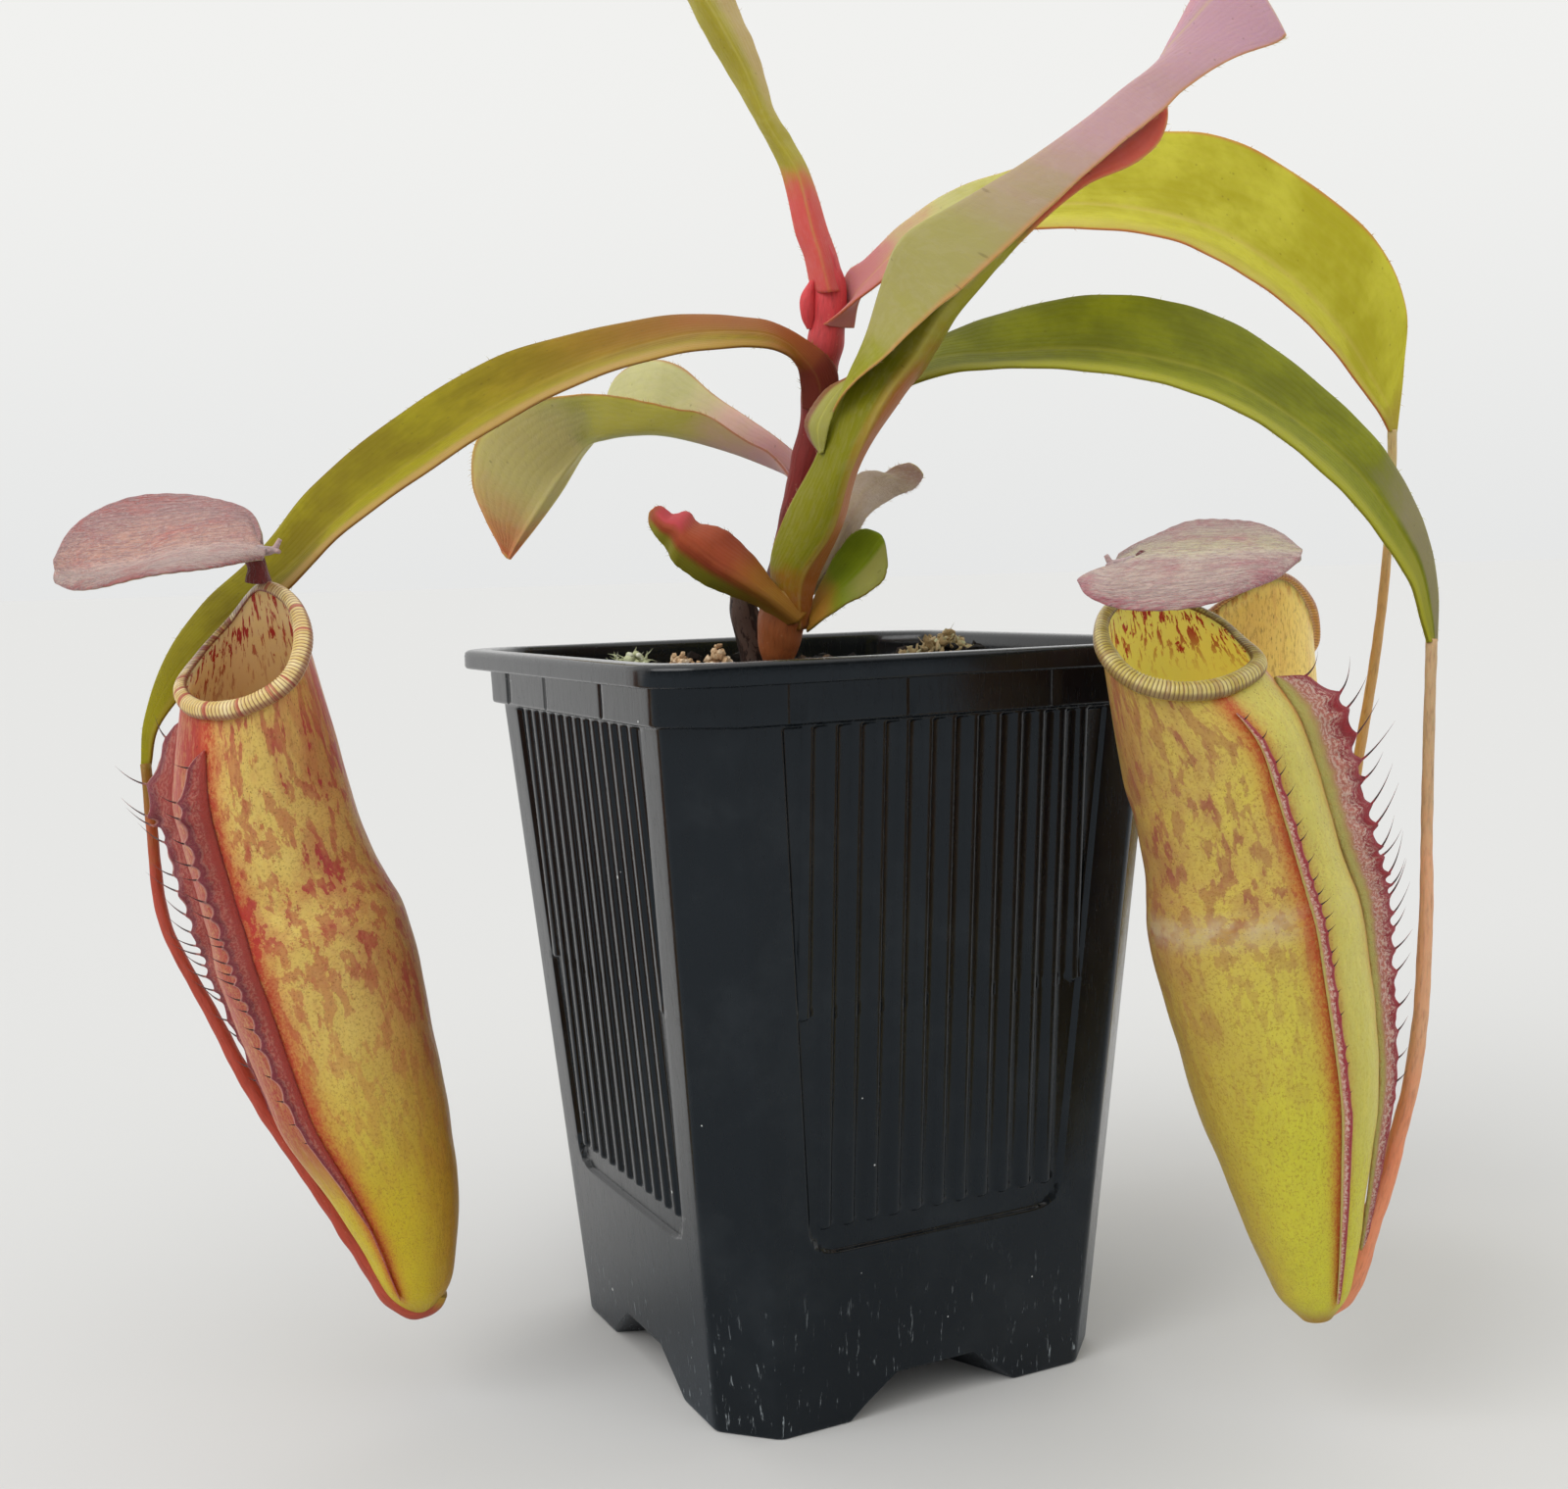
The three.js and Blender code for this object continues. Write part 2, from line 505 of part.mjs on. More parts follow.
const SHOOT_LEAF_LEFT = [
  [[-7, -8.6, 118], [-7.4, -11, 116.2], [-7, -9, 114.6]],
  [[-8.6, -9, 121.4], [-9.6, -13, 119], [-9.8, -10, 116.4]],
  [[-11.5, -9, 125.2], [-12.5, -15, 122.5], [-14, -11, 118.6]],
  [[-14.5, -10, 127.4], [-16, -16, 124.5], [-17.6, -12, 120.4]],
  [[-18.5, -11, 129.4], [-19.5, -16, 126.5], [-20.5, -13, 122.6]],
  [[-21.5, -12.5, 130.4], [-22, -16, 128], [-22.6, -14, 125.4]],
  [[-23.4, -14, 130], [-23.6, -15, 129.2], [-23.9, -14.2, 128.3]],
];
const SHOOT_LEAF_RIGHT = [
  [[-1.6, -6.5, 115.6], [-1, -9, 114], [-1.6, -9.4, 112.6]],
  [[1, -6, 119], [3, -8.5, 117], [4, -11, 115]],
  [[4, -5, 123.5], [7, -8, 121], [7.5, -12, 116.5]],
  [[6, -5, 126], [9.8, -8, 123.5], [10, -13, 118]],
  [[8.5, -5, 126.5], [10.8, -8, 124.5], [10.5, -12, 120.5]],
  [[9.8, -6.5, 125.7], [10.6, -8, 124.6], [10.5, -9.8, 123.4]],
];
const SHOOT_LEAF_BACK = [
  [[-4.2, 0.6, 117.5], [-3.6, -1, 115.6], [-3.4, 1, 114.6]],
  [[1.5, -1, 120.5], [2.5, -3, 119], [3, -1, 119]],
  [[3.5, -0.5, 126], [5, -3, 124.5], [6.5, 0, 125]],
  [[5.5, 2, 132.5], [8, -1, 130.5], [10.5, 2, 131]],
  [[8.5, 4, 136], [11, 2, 134], [14, 4, 132.5]],
  [[12, 6, 135.8], [14.2, 4, 135.4], [16.5, 6, 133.6]],
  [[15.5, 7, 137], [17, 6, 136.2], [17.9, 7, 135.2]],
];

// ---- pitchers --------------------------------------------------------------------------------
// Girth of every pitcher as shares: [height between the foot and the front of the mouth, radius].
const GIRTH = [
  [0.012, 0.15], [0.05, 0.33], [0.09, 0.42], [0.14, 0.51], [0.2, 0.61], [0.28, 0.725], [0.38, 0.865],
  [0.48, 0.93], [0.58, 0.98], [0.65, 1], [0.7, 0.95], [0.76, 0.9], [0.85, 0.875], [0.93, 0.85],
];
const SIDES = 16;
const TENDRIL_STEPS = 24;

// axis runs from the foot to the mouth in equal steps of height; hip is the largest radius; front is
// the compass angle that the wings face; rim runs round the mouth from the front, towards the side
// that lies a quarter turn on from it. The lid's rows run from the hinge to the tip, each across it.
const PITCHERS = {
  left: {
    axis: [
      [-60.2, -25, 13.4], [-62.7, -25, 30.7], [-68.4, -25, 48], [-72.6, -25, 65.4], [-77.8, -25.5, 82.7],
      [-80.6, -27, 100],
    ],
    hip: 13.9,
    front: THREE.MathUtils.degToRad(-65),
    rim: [
      [-88.4, -31, 106.6], [-84.5, -35.2, 103.8], [-77.4, -38, 104.2], [-71.6, -37.2, 107.5],
      [-70.3, -33.4, 112.8], [-73.2, -27.6, 118.1], [-78.8, -23.4, 120.6], [-84.6, -19.8, 115.8],
      [-88.2, -23, 111],
    ],
    lid: [
      [
        [-79.2, -21, 128.6], [-78.7, -22.8, 126.8], [-77.5, -25, 125.5],
        [-77, -27, 124.9], [-76.7, -29, 124.3],
      ],
      [[-81.8, -16, 131.4], [-81, -19, 128.8], [-80, -25, 126.1], [-78.7, -31, 124.9], [-78, -34, 123.9]],
      [[-87, -11, 133.4], [-86, -16.5, 130.2], [-84.4, -25, 126.3], [-82.3, -33, 124.7], [-81, -38, 123.3]],
      [[-93.7, -8, 134.8], [-92, -15, 130.6], [-90, -25, 125.7], [-87.3, -34, 124], [-85.6, -40, 122.6]],
      [[-101, -8, 134.5], [-99.1, -15, 129.6], [-95.8, -25, 124.3], [-93.1, -33, 123], [-91.6, -38, 121.8]],
      [
        [-106.9, -10, 132.3], [-104.7, -16, 128.3], [-101.8, -24, 123.7],
        [-99.6, -30, 122.2], [-98.1, -34, 121],
      ],
      [
        [-109.3, -14, 129.4], [-107.9, -18, 126.4], [-105.8, -23, 123.2],
        [-104.3, -27, 122.1], [-103.2, -30, 120.8],
      ],
      [
        [-109.9, -18, 125.3], [-109.4, -19.5, 124.4], [-108.7, -21, 123.4],
        [-108.2, -22.5, 122.6], [-107.5, -24, 121.6],
      ],
    ],
    neck: [[-79, -23.9, 122.3, 1.6], [-78.9, -24.4, 123.8, 1.3], [-79.6, -25, 125.6, 1.5]],
    spur: [[-78.6, -25, 125.6, 0.8], [-76.4, -25, 125.6, 0.5], [-75.3, -25, 127.1, 0.3]],
    tendril: [
      [-101.4, -10.3, 93.4, 0.8], [-99.7, -12, 84, 1], [-95.4, -16, 69.8, 1], [-88.6, -19, 55.5, 1.1],
      [-79.6, -22, 40.4, 1.3], [-73.1, -24, 29.6, 1.5], [-67.2, -25, 20.8, 2], [-61.5, -25, 14.7, 1.7],
    ],
  },
  right: {
    axis: [
      [66.6, -40, 15], [64.2, -40, 32.6], [61.8, -40, 50.2], [58.5, -40, 67.8], [55, -40, 85.4],
      [49.5, -41, 103],
    ],
    hip: 14.2,
    front: THREE.MathUtils.degToRad(62),
    rim: [
      [57.5, -43.5, 106.4], [57, -37, 109.8], [54.5, -32, 112.8], [49.1, -30, 115.2], [42.6, -33, 116],
      [38, -39, 113.4], [36.6, -46, 109.4], [39.2, -50.6, 105.4], [44.8, -52, 103.7], [51.8, -49, 104],
    ],
    lid: [
      [
        [40.7, -36, 121.7], [41.3, -37.5, 121.1], [40.6, -41, 120.4],
        [36.5, -44, 119.5], [33.4, -46, 118.4],
      ],
      [[43.8, -33, 123.2], [43.6, -36, 122.1], [42.2, -41, 121], [36.8, -49, 118.1], [33.8, -52, 116.4]],
      [[47.7, -30, 124.5], [46.9, -35, 122.8], [45.3, -41, 121.3], [40.4, -50, 117.5], [37.7, -54, 114.6]],
      [[52.5, -28, 126], [51, -34.5, 123.6], [49.5, -41, 121.4], [45.6, -50, 117.6], [43.3, -55, 114.5]],
      [
        [57.2, -28, 126.3], [55.5, -34.5, 123.7], [53.9, -41, 121.5],
        [51.1, -49, 118.2], [49.2, -54, 115.3],
      ],
      [[61, -29, 125.7], [59.5, -35, 123.5], [57.9, -41, 121.5], [55.9, -47, 119.1], [54.5, -51, 116.6]],
      [
        [63.8, -32.5, 123.8], [62.7, -36.5, 122.5], [61.6, -40.5, 121.3],
        [60.3, -44, 119.8], [59.2, -47, 118],
      ],
      [[64.8, -38, 121.5], [64.6, -39, 121.2], [64.3, -40, 120.9], [64, -41, 120.7], [63.5, -42, 120.3]],
    ],
    neck: [[40.4, -36, 117.7, 1.6], [41.6, -38, 119.2, 1.3], [43.4, -40.6, 120.8, 1.5]],
    spur: [[41.8, -41, 120.7, 0.8], [39, -41.4, 120.4, 0.5], [38, -41.6, 121.6, 0.3]],
    tendril: [
      [85, -31, 107.9, 0.75], [84.2, -32.4, 97, 0.8], [83.4, -34, 84.5, 0.9], [82.1, -36, 64.8, 1],
      [80.5, -37, 52.9, 1.2], [78.2, -38, 41.4, 1.4], [75.1, -39, 31.8, 1.6], [71.5, -40, 22.4, 2],
      [67.8, -40, 16.8, 1.8],
    ],
  },
  back: {
    axis: [
      [80.4, 31, 15], [80.5, 30, 31.6], [79.5, 29, 48.2], [78, 28, 64.8], [76.5, 27.5, 81.4], [75.2, 28, 98],
    ],
    hip: 13.2,
    front: THREE.MathUtils.degToRad(190),
    rim: [
      [73, 39.3, 98.8], [65.8, 34.5, 101], [63.9, 26, 107], [68.4, 18.8, 113.2], [77, 16.7, 117.3],
      [83.2, 21.6, 112.6], [86.1, 29.6, 105.4], [81.6, 37.2, 100.6],
    ],
    lid: [
      [[79, 16.5, 121.2], [78, 17.8, 121], [76.2, 19.4, 120.8], [73.6, 17.2, 121], [72, 15.4, 121.4]],
      [[80.4, 21, 121.4], [78.4, 21.6, 121.2], [75.4, 22.4, 120.9], [71, 20.4, 121.4], [66.6, 18.4, 122]],
      [[81, 27, 121.6], [78, 27, 121.3], [74.2, 27, 121], [69, 26, 121.6], [64, 25, 122.4]],
      [[80, 32.6, 121.8], [77, 32.4, 121.5], [73.4, 32, 121.2], [68.6, 31.2, 121.8], [64, 30.4, 122.4]],
      [[77.6, 37.8, 121.8], [75.4, 37.4, 121.6], [72.6, 37, 121.4], [69.4, 36.4, 121.8], [66, 35.6, 122.2]],
      [[73.4, 41.2, 121.7], [72.8, 41.2, 121.6], [72, 41.1, 121.6], [71.2, 41, 121.7], [70.5, 40.9, 121.8]],
    ],
    neck: [[76.8, 17.2, 119.2, 1.5], [76.4, 18.4, 120, 1.3], [75.8, 21, 120.8, 1.5]],
    spur: [[76, 20.4, 120.8, 0.8], [76.2, 17.8, 120.9, 0.5], [76.2, 16.6, 121.8, 0.3]],
    tendril: [
      [96.7, 19.7, 140.4, 0.75], [96.9, 20.6, 132, 0.75], [96.8, 22, 122.4, 0.75], [96.4, 24, 110.8, 0.8],
      [95.6, 27, 97.8, 0.85], [94.6, 30, 85.7, 0.9], [93.8, 33, 73, 1], [92.2, 37, 56, 1.2],
      [90, 40.4, 39, 1.5], [86, 38.6, 22, 1.8], [81, 32.4, 16.6, 1.6],
    ],
  },
};

// Centre, and the directions up, forward and sideways, at a share of a pitcher's height.
function pitcherFrame(pitcher, share) {
  const axis = curve(pitcher.axis.map(vec));
  const up = axis.getTangent(share);
  const facing = new THREE.Vector3(Math.sin(pitcher.front), -Math.cos(pitcher.front), 0);
  const front = facing.addScaledVector(up, -facing.dot(up)).normalize();
  return { centre: axis.getPoint(share), up, front, side: up.clone().cross(front) };
}

// A point of the mouth's edge, the way out across the lip there, and the mouth's own normal.
function rimPoint(pitcher, turn) {
  const loop = pitcher.rim.map(vec);
  const centre = loop.reduce((sum, p) => sum.add(p), new THREE.Vector3()).divideScalar(loop.length);
  const normal = new THREE.Vector3();
  loop.forEach((p, k) => {
    normal.add(p.clone().sub(centre).cross(loop[(k + 1) % loop.length].clone().sub(centre)));
  });
  normal.normalize();
  const ring = curve(loop, true);
  const at = ((turn % 1) + 1) % 1;
  const out = ring.getTangent(at).cross(normal).normalize();
  return { point: ring.getPoint(at), out, normal };
}

// One line of the wall from the foot to the mouth: turn is its share of the way round from the front.
function wallLine(pitcher, turn, inset = 0, from = 0) {
  const angle = 2 * Math.PI * turn;
  const points = GIRTH.filter(([share]) => share >= from).map(([share, girth]) => {
    const { centre, front, side } = pitcherFrame(pitcher, share);
    const radius = pitcher.hip * girth - inset;
    return centre
      .addScaledVector(front, radius * Math.cos(angle))
      .addScaledVector(side, radius * Math.sin(angle));
  });
  const { point, out } = rimPoint(pitcher, turn);
  points.push(point.addScaledVector(out, -inset));
  return curve(points);
}

function wallRings(pitcher, inset, rows, from = 0) {
  const lines = Array.from({ length: SIDES }, (_, k) => wallLine(pitcher, k / SIDES, inset, from));
  return Array.from({ length: rows + 1 }, (_, i) => lines.map((line) => line.getPoint(i / rows)));
}

function pitcherBody(pitcher) {
  const inside = wallRings(pitcher, PITCHER_WALL, 7, INSIDE_FOOT);
  return loft([...wallRings(pitcher, 0, 13), ...inside.reverse()]);
}

// The outer skin as one solid, swollen by the clearance: it cuts what meets the pitcher.
const pitcherSkin = (pitcher) => loft(wallRings(pitcher, -GAP, 13));

// Section of the lip: [outwards across the wall's edge, up off it].
const LIP = [[-0.8, 0.4], [-1.1, 1.1], [-0.2, 1.6], [0.8, 1.3], [1.25, 0.4], [1.1, -0.2], [0.5, 0.4]];

function peristome(pitcher) {
  const steps = 24;
  return torus(Array.from({ length: steps }, (_, i) => {
    const { point, out, normal } = rimPoint(pitcher, i / steps);
    const ripple = 1 + 0.1 * (i % 2);
    return LIP.map(([across, up]) => point.clone()
      .addScaledVector(out, across)
      .addScaledVector(normal, up > 1 ? up * ripple : up));
  }));
}

// Two fringed wings run down the front. low and high are shares of the way up the wall's line,
// spread is each wing's share of a turn from the front. Its height grows to the shoulder, a share of
// the wing's length, and falls above it; height and tooth are in mm on a pitcher whose hip is 14.
const WING = {
  low: 0.3, high: 0.97, spread: 0.085, flare: 0.3, thick: 0.8, shoulder: 0.85, height: 6.2,
  rows: 12, tooth: 4.6, teeth: 9,
};

// Root and edge of a wing (side +1 or -1) at a share of its length, and the way it points.
function wingAt(pitcher, side, share) {
  const turn = side * WING.spread;
  const up = lerp(WING.low, WING.high, share);
  const root = wallLine(pitcher, turn, -GAP - 0.1).getPoint(up);
  const opposite = wallLine(pitcher, turn + 0.5, -GAP - 0.1).getPoint(up);
  const sideways = wallLine(pitcher, turn + side * 0.02, -GAP - 0.1).getPoint(up).sub(root).normalize();
  const lean = root.clone().sub(opposite).normalize().addScaledVector(sideways, WING.flare).normalize();
  const swell = share < WING.shoulder
    ? lerp(0.18, 1, (share / WING.shoulder) ** 0.9)
    : lerp(1, 0.45, ((share - WING.shoulder) / (1 - WING.shoulder)) ** 2);
  const height = pitcher.hip / 14 * WING.height * swell;
  return { root, lean, height, edge: root.clone().addScaledVector(lean, height) };
}

function wing(pitcher, side) {
  const grid = Array.from({ length: WING.rows + 1 }, (_, i) => {
    const { root, lean, height, edge } = wingAt(pitcher, side, i / WING.rows);
    return [root, root.clone().lerp(edge, 0.5), edge.addScaledVector(lean, -0.1 * height * (i % 2))];
  });
  const normals = gridNormals(grid);
  const face = (sign) => grid.map((row, i) => row.map((p, j) => (
    p.clone().addScaledVector(normals[i][j], sign * WING.thick / 2))));
  const parts = [sheet(face(1), face(-1))];
  for (let k = 0; k < WING.teeth; k += 1) {
    const share = lerp(0.3, 0.97, k / (WING.teeth - 1));
    const { lean, edge } = wingAt(pitcher, side, share);
    const above = wingAt(pitcher, side, share + 0.03).edge.sub(edge).normalize();
    const length = pitcher.hip / 14 * WING.tooth * (0.55 + 0.45 * share);
    const tooth = new THREE.ConeGeometry(0.45, length, 3, 1).translate(0, length / 2 - 1.1, 0);
    const aim = lean.clone().addScaledVector(above, 0.5).normalize();
    tooth.applyQuaternion(new THREE.Quaternion().setFromUnitVectors(new THREE.Vector3(0, 1, 0), aim));
    parts.push(tooth.translate(edge.x, edge.y, edge.z));
  }
  const tendrilCut = tube(pitcher.tendril, { steps: TENDRIL_STEPS, swell: GAP });
  return carve(fuse(...parts), pitcherSkin(pitcher), tendrilCut);
}

// The lid, folded along its keel, on a short neck at the back of the mouth, with a spur behind.
function lid(pitcher) {
  const leaf = blade(pitcher.lid, { along: 8, across: 6, thick: 0.9, wave: 0.2, waves: 3 });
  const neck = tube(pitcher.neck, { sides: 6, steps: 3 });
  const spur = tube(pitcher.spur, { sides: 4, steps: 3 });
  return carve(fuse(leaf, neck, spur), peristome(pitcher), pitcherSkin(pitcher));
}

// ---- finishes --------------------------------------------------------------------------------
const finish = (color, roughness) => new THREE.MeshStandardMaterial({ color, roughness, metalness: 0 });
const FINISH = {
  pot: finish(0x1d2226, 0.42),
  mix: finish(0x2b211a, 0.95),
  moss: finish(0xb9bf8c, 0.9),
  wood: finish(0x5e2a22, 0.6),
  shoot: finish(0x9a5a20, 0.55),
  olive: finish(0x8a8a1c, 0.5),
  green: finish(0x6f7d16, 0.5),
  lime: finish(0xa9a633, 0.5),
  blush: finish(0xb89a6a, 0.6),
  tendril: finish(0xb0603a, 0.55),
  pitcher: finish(0xb79a3c, 0.5),
  lip: finish(0xc4ab4e, 0.4),
  wing: finish(0xa83f3f, 0.6),
  lid: finish(0xb48a86, 0.75),
};

const part = new THREE.Group();
const plant = new THREE.Group();
plant.rotation.z = PLANT_TURN;
part.add(plant);

function add(parent, name, geometry, material) {
  const mesh = new THREE.Mesh(geometry, material);
  mesh.name = name;
  parent.add(mesh);
}

// ---- assembly --------------------------------------------------------------------------------
const turned = (geometry) => geometry.clone().rotateZ(PLANT_TURN);
const stemCut = tube(STEM, { sides: 8, steps: 18, swell: GAP });
const shootCut = tube(SHOOT, { sides: 8, steps: 9, swell: GAP });
const frontLeaf = { along: 23, across: 6 };
const frontCut = blade(LEAF_FRONT, { ...frontLeaf, swell: GAP });
const backLeafCuts = [stemCut, shootCut, frontCut];
const small = { along: 9, wave: 0 };

add(part, 'pot', pot(), FINISH.pot);
add(part, 'potting_mix', pottingMix(turned(stemCut), turned(shootCut)), FINISH.mix);
add(part, 'moss_left', mossCushion(-34, -2, 4.6, 2.6, 31), FINISH.moss);
add(part, 'moss_right', mossCushion(27, 7, 6, 2.8, 57), FINISH.moss);
add(plant, 'main_stem', tube(STEM, { sides: 8, steps: 18 }), FINISH.wood);
add(plant, 'side_shoot', tube(SHOOT, { sides: 8, steps: 9 }), FINISH.shoot);

add(plant, 'leaf_left', carve(blade(LEAF_LEFT, { along: 22 }), stemCut), FINISH.olive);
add(plant, 'leaf_right_low', carve(blade(LEAF_RIGHT_LOW, { along: 22 }), stemCut, frontCut), FINISH.green);
add(plant, 'leaf_right_high', carve(blade(LEAF_RIGHT_HIGH, { along: 22 }), stemCut), FINISH.lime);
add(plant, 'leaf_front', carve(blade(LEAF_FRONT, frontLeaf), shootCut), FINISH.green);
add(plant, 'leaf_back', carve(blade(LEAF_BACK, { along: 18 }), stemCut), FINISH.blush);
add(plant, 'leaf_top', carve(blade(LEAF_TOP, { along: 18, wave: 0.2 }), stemCut), FINISH.lime);
add(plant, 'shoot_leaf_left', carve(blade(SHOOT_LEAF_LEFT, small), shootCut, frontCut), FINISH.shoot);
add(plant, 'shoot_leaf_right', carve(blade(SHOOT_LEAF_RIGHT, small), shootCut, frontCut), FINISH.green);
add(plant, 'shoot_leaf_back', carve(blade(SHOOT_LEAF_BACK, small), ...backLeafCuts), FINISH.blush);

for (const [name, pitcher] of Object.entries(PITCHERS)) {
  const tendril = carve(tube(pitcher.tendril, { steps: TENDRIL_STEPS }), pitcherSkin(pitcher));
  add(plant, `tendril_${name}`, tendril, FINISH.tendril);
  add(plant, `pitcher_${name}`, pitcherBody(pitcher), FINISH.pitcher);
  add(plant, `peristome_${name}`, peristome(pitcher), FINISH.lip);
  add(plant, `wing_${name}_a`, wing(pitcher, 1), FINISH.wing);
  add(plant, `wing_${name}_b`, wing(pitcher, -1), FINISH.wing);
  add(plant, `lid_${name}`, lid(pitcher), FINISH.lid);
}

export default part;
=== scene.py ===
"""Looks of a tropical pitcher plant in a square nursery pot.

Each piece is a surface worked out on a grid with numpy, in millimetres, from the same stations as the
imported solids. The plant's pieces stand in a frame of their own, turned PLANT_TURN about the pot's axis.
"""

import logging
import math
from abc import ABC, abstractmethod
from collections.abc import Callable, Sequence
from dataclasses import dataclass, field, replace
from enum import Enum
from functools import partial

import bpy
import numpy as np
from mathutils import Matrix, Vector
from numpy.typing import NDArray


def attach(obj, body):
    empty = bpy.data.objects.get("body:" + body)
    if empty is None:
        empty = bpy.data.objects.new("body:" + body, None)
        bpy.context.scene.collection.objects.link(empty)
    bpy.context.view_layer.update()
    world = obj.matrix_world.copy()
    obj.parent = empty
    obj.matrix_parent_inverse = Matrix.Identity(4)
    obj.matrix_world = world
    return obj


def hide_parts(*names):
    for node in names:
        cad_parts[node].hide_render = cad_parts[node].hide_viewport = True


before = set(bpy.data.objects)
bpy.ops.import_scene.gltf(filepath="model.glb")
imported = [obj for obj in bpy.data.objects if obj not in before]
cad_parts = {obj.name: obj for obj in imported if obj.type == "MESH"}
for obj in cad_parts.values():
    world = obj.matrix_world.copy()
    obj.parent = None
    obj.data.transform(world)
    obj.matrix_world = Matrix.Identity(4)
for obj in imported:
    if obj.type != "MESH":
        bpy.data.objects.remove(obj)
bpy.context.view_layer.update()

Array = NDArray[np.float64]
Socket = bpy.types.NodeSocket
Colour = tuple[float, float, float, float]

LOG = logging.getLogger("pitcher_plant")
MM = 0.001
PLANT_TURN = math.radians(-26.5)
BODY = "root"


class Turn(Enum):
    """Which frame a piece's millimetres are in."""

    POT = 0.0
    PLANT = PLANT_TURN


# ---- surfaces --------------------------------------------------------------------------------------


def spline(points: Array, at: Array, closed: bool = False) -> Array:
    """Smooth line through points, each span a cubic whose slope at a point is half the step between
    its two neighbours: b + t/2 ((c-a) + t ((2a-5b+4c-d) + t (3(b-c)+d-a))).

    Args:
        points: Control points along the first axis.
        at: Shares of the whole line, from 0 to 1.
        closed: Whether the last point joins the first.

    Returns:
        One point, or one row of points, for each share.
    """
    if closed:
        padded = np.concatenate([points[-1:], points, points[:2]])
        spans = len(points)
        place = np.mod(at, 1.0) * spans
    else:
        padded = np.concatenate([2 * points[:1] - points[1:2], points, 2 * points[-1:] - points[-2:-1]])
        spans = len(points) - 1
        place = np.clip(at, 0.0, 1.0) * spans
    span = np.minimum(place.astype(int), spans - 1)
    t = (place - span).reshape(-1, *[1] * (points.ndim - 1))
    a, b, c, d = (padded[span + k] for k in range(4))
    return b + 0.5 * t * ((c - a) + t * ((2 * a - 5 * b + 4 * c - d) + t * (3 * (b - c) + d - a)))


def unit(vectors: Array) -> Array:
    """Vectors of length one along the last axis."""
    return vectors / np.maximum(np.linalg.norm(vectors, axis=-1, keepdims=True), 1e-9)


def ease(values: Array, low: float, high: float) -> Array:
    """Smooth step, 0 below low and 1 above high: t squared times (3 - 2t)."""
    t = np.clip((values - low) / (high - low), 0.0, 1.0)
    return t * t * (3 - 2 * t)


def swirl(points: Array, size: float, seed: int, waves: int = 9) -> Array:
    """Soft uneven ripple about 0: the mean of sine waves in seeded directions.

    Args:
        points: Points in mm, in the last axis.
        size: Middle length of the waves in mm.
        seed: Seed of their directions and starts.
        waves: How many are added.

    Returns:
        Values from about -1 to 1.
    """
    source = np.random.default_rng(seed)
    ways = unit(source.normal(size=(waves, points.shape[-1]))) * 2 * math.pi / size
    ways = ways * source.uniform(0.6, 1.5, size=(waves, 1))
    phases = source.uniform(0, 2 * math.pi, waves)
    return np.sin(points @ ways.T + phases).mean(axis=-1) * math.sqrt(waves) * 0.7


def grid_normals(grid: Array) -> Array:
    """Unit normals of a grid: the slope along it crossed with the slope across it."""
    return unit(np.cross(np.gradient(grid, axis=0), np.gradient(grid, axis=1)))


@dataclass
class Skin:
    """A closed surface in millimetres: points, faces of four and of three, and marks on its points."""

    points: Array
    quads: NDArray[np.int64]
    tris: NDArray[np.int64]
    marks: dict[str, Array] = field(default_factory=dict)

    def outward(self) -> "Skin":
        """The same skin with its faces turned outwards by its signed volume."""
        faces = np.concatenate([self.quads[:, [0, 1, 2]], self.quads[:, [0, 2, 3]], self.tris])
        a, b, c = (self.points[faces[:, k]] for k in range(3))
        if np.einsum("ij,ij->i", a, np.cross(b, c)).sum() < 0:
            self.quads, self.tris = self.quads[:, ::-1], self.tris[:, ::-1]
        return self


def tube_skin(rings: Array, marks: dict[str, Array] | None = None) -> Skin:
    """Skin over rings of points, closed at both ends by a fan to the end ring's mean.

    Args:
        rings: Points as (rings, points of a ring, 3).
        marks: Values on the same grid.

    Returns:
        The closed skin.
    """
    rows, sides = rings.shape[:2]
    i, j = np.meshgrid(np.arange(rows - 1), np.arange(sides), indexing="ij")
    k = (j + 1) % sides
    quads = np.stack(
        [i * sides + j, i * sides + k, (i + 1) * sides + k, (i + 1) * sides + j], -1,
    ).reshape(-1, 4)
    j = np.arange(sides)
    k = (j + 1) % sides
    total = rows * sides
    first = np.stack([np.full(sides, total), k, j], -1)
    last = np.stack([np.full(sides, total + 1), total - sides + j, total - sides + k], -1)

    def flat(values: Array) -> Array:
        """Values of the grid in a row, then the means of its first and last ring."""
        shape = (total, *values.shape[2:])
        return np.concatenate([values.reshape(shape), values[:1].mean(axis=1), values[-1:].mean(axis=1)])

    kept = {name: flat(np.broadcast_to(v, (rows, sides, *v.shape[2:]))) for name, v in (marks or {}).items()}
    return Skin(flat(rings), quads, np.concatenate([first, last]), kept).outward()


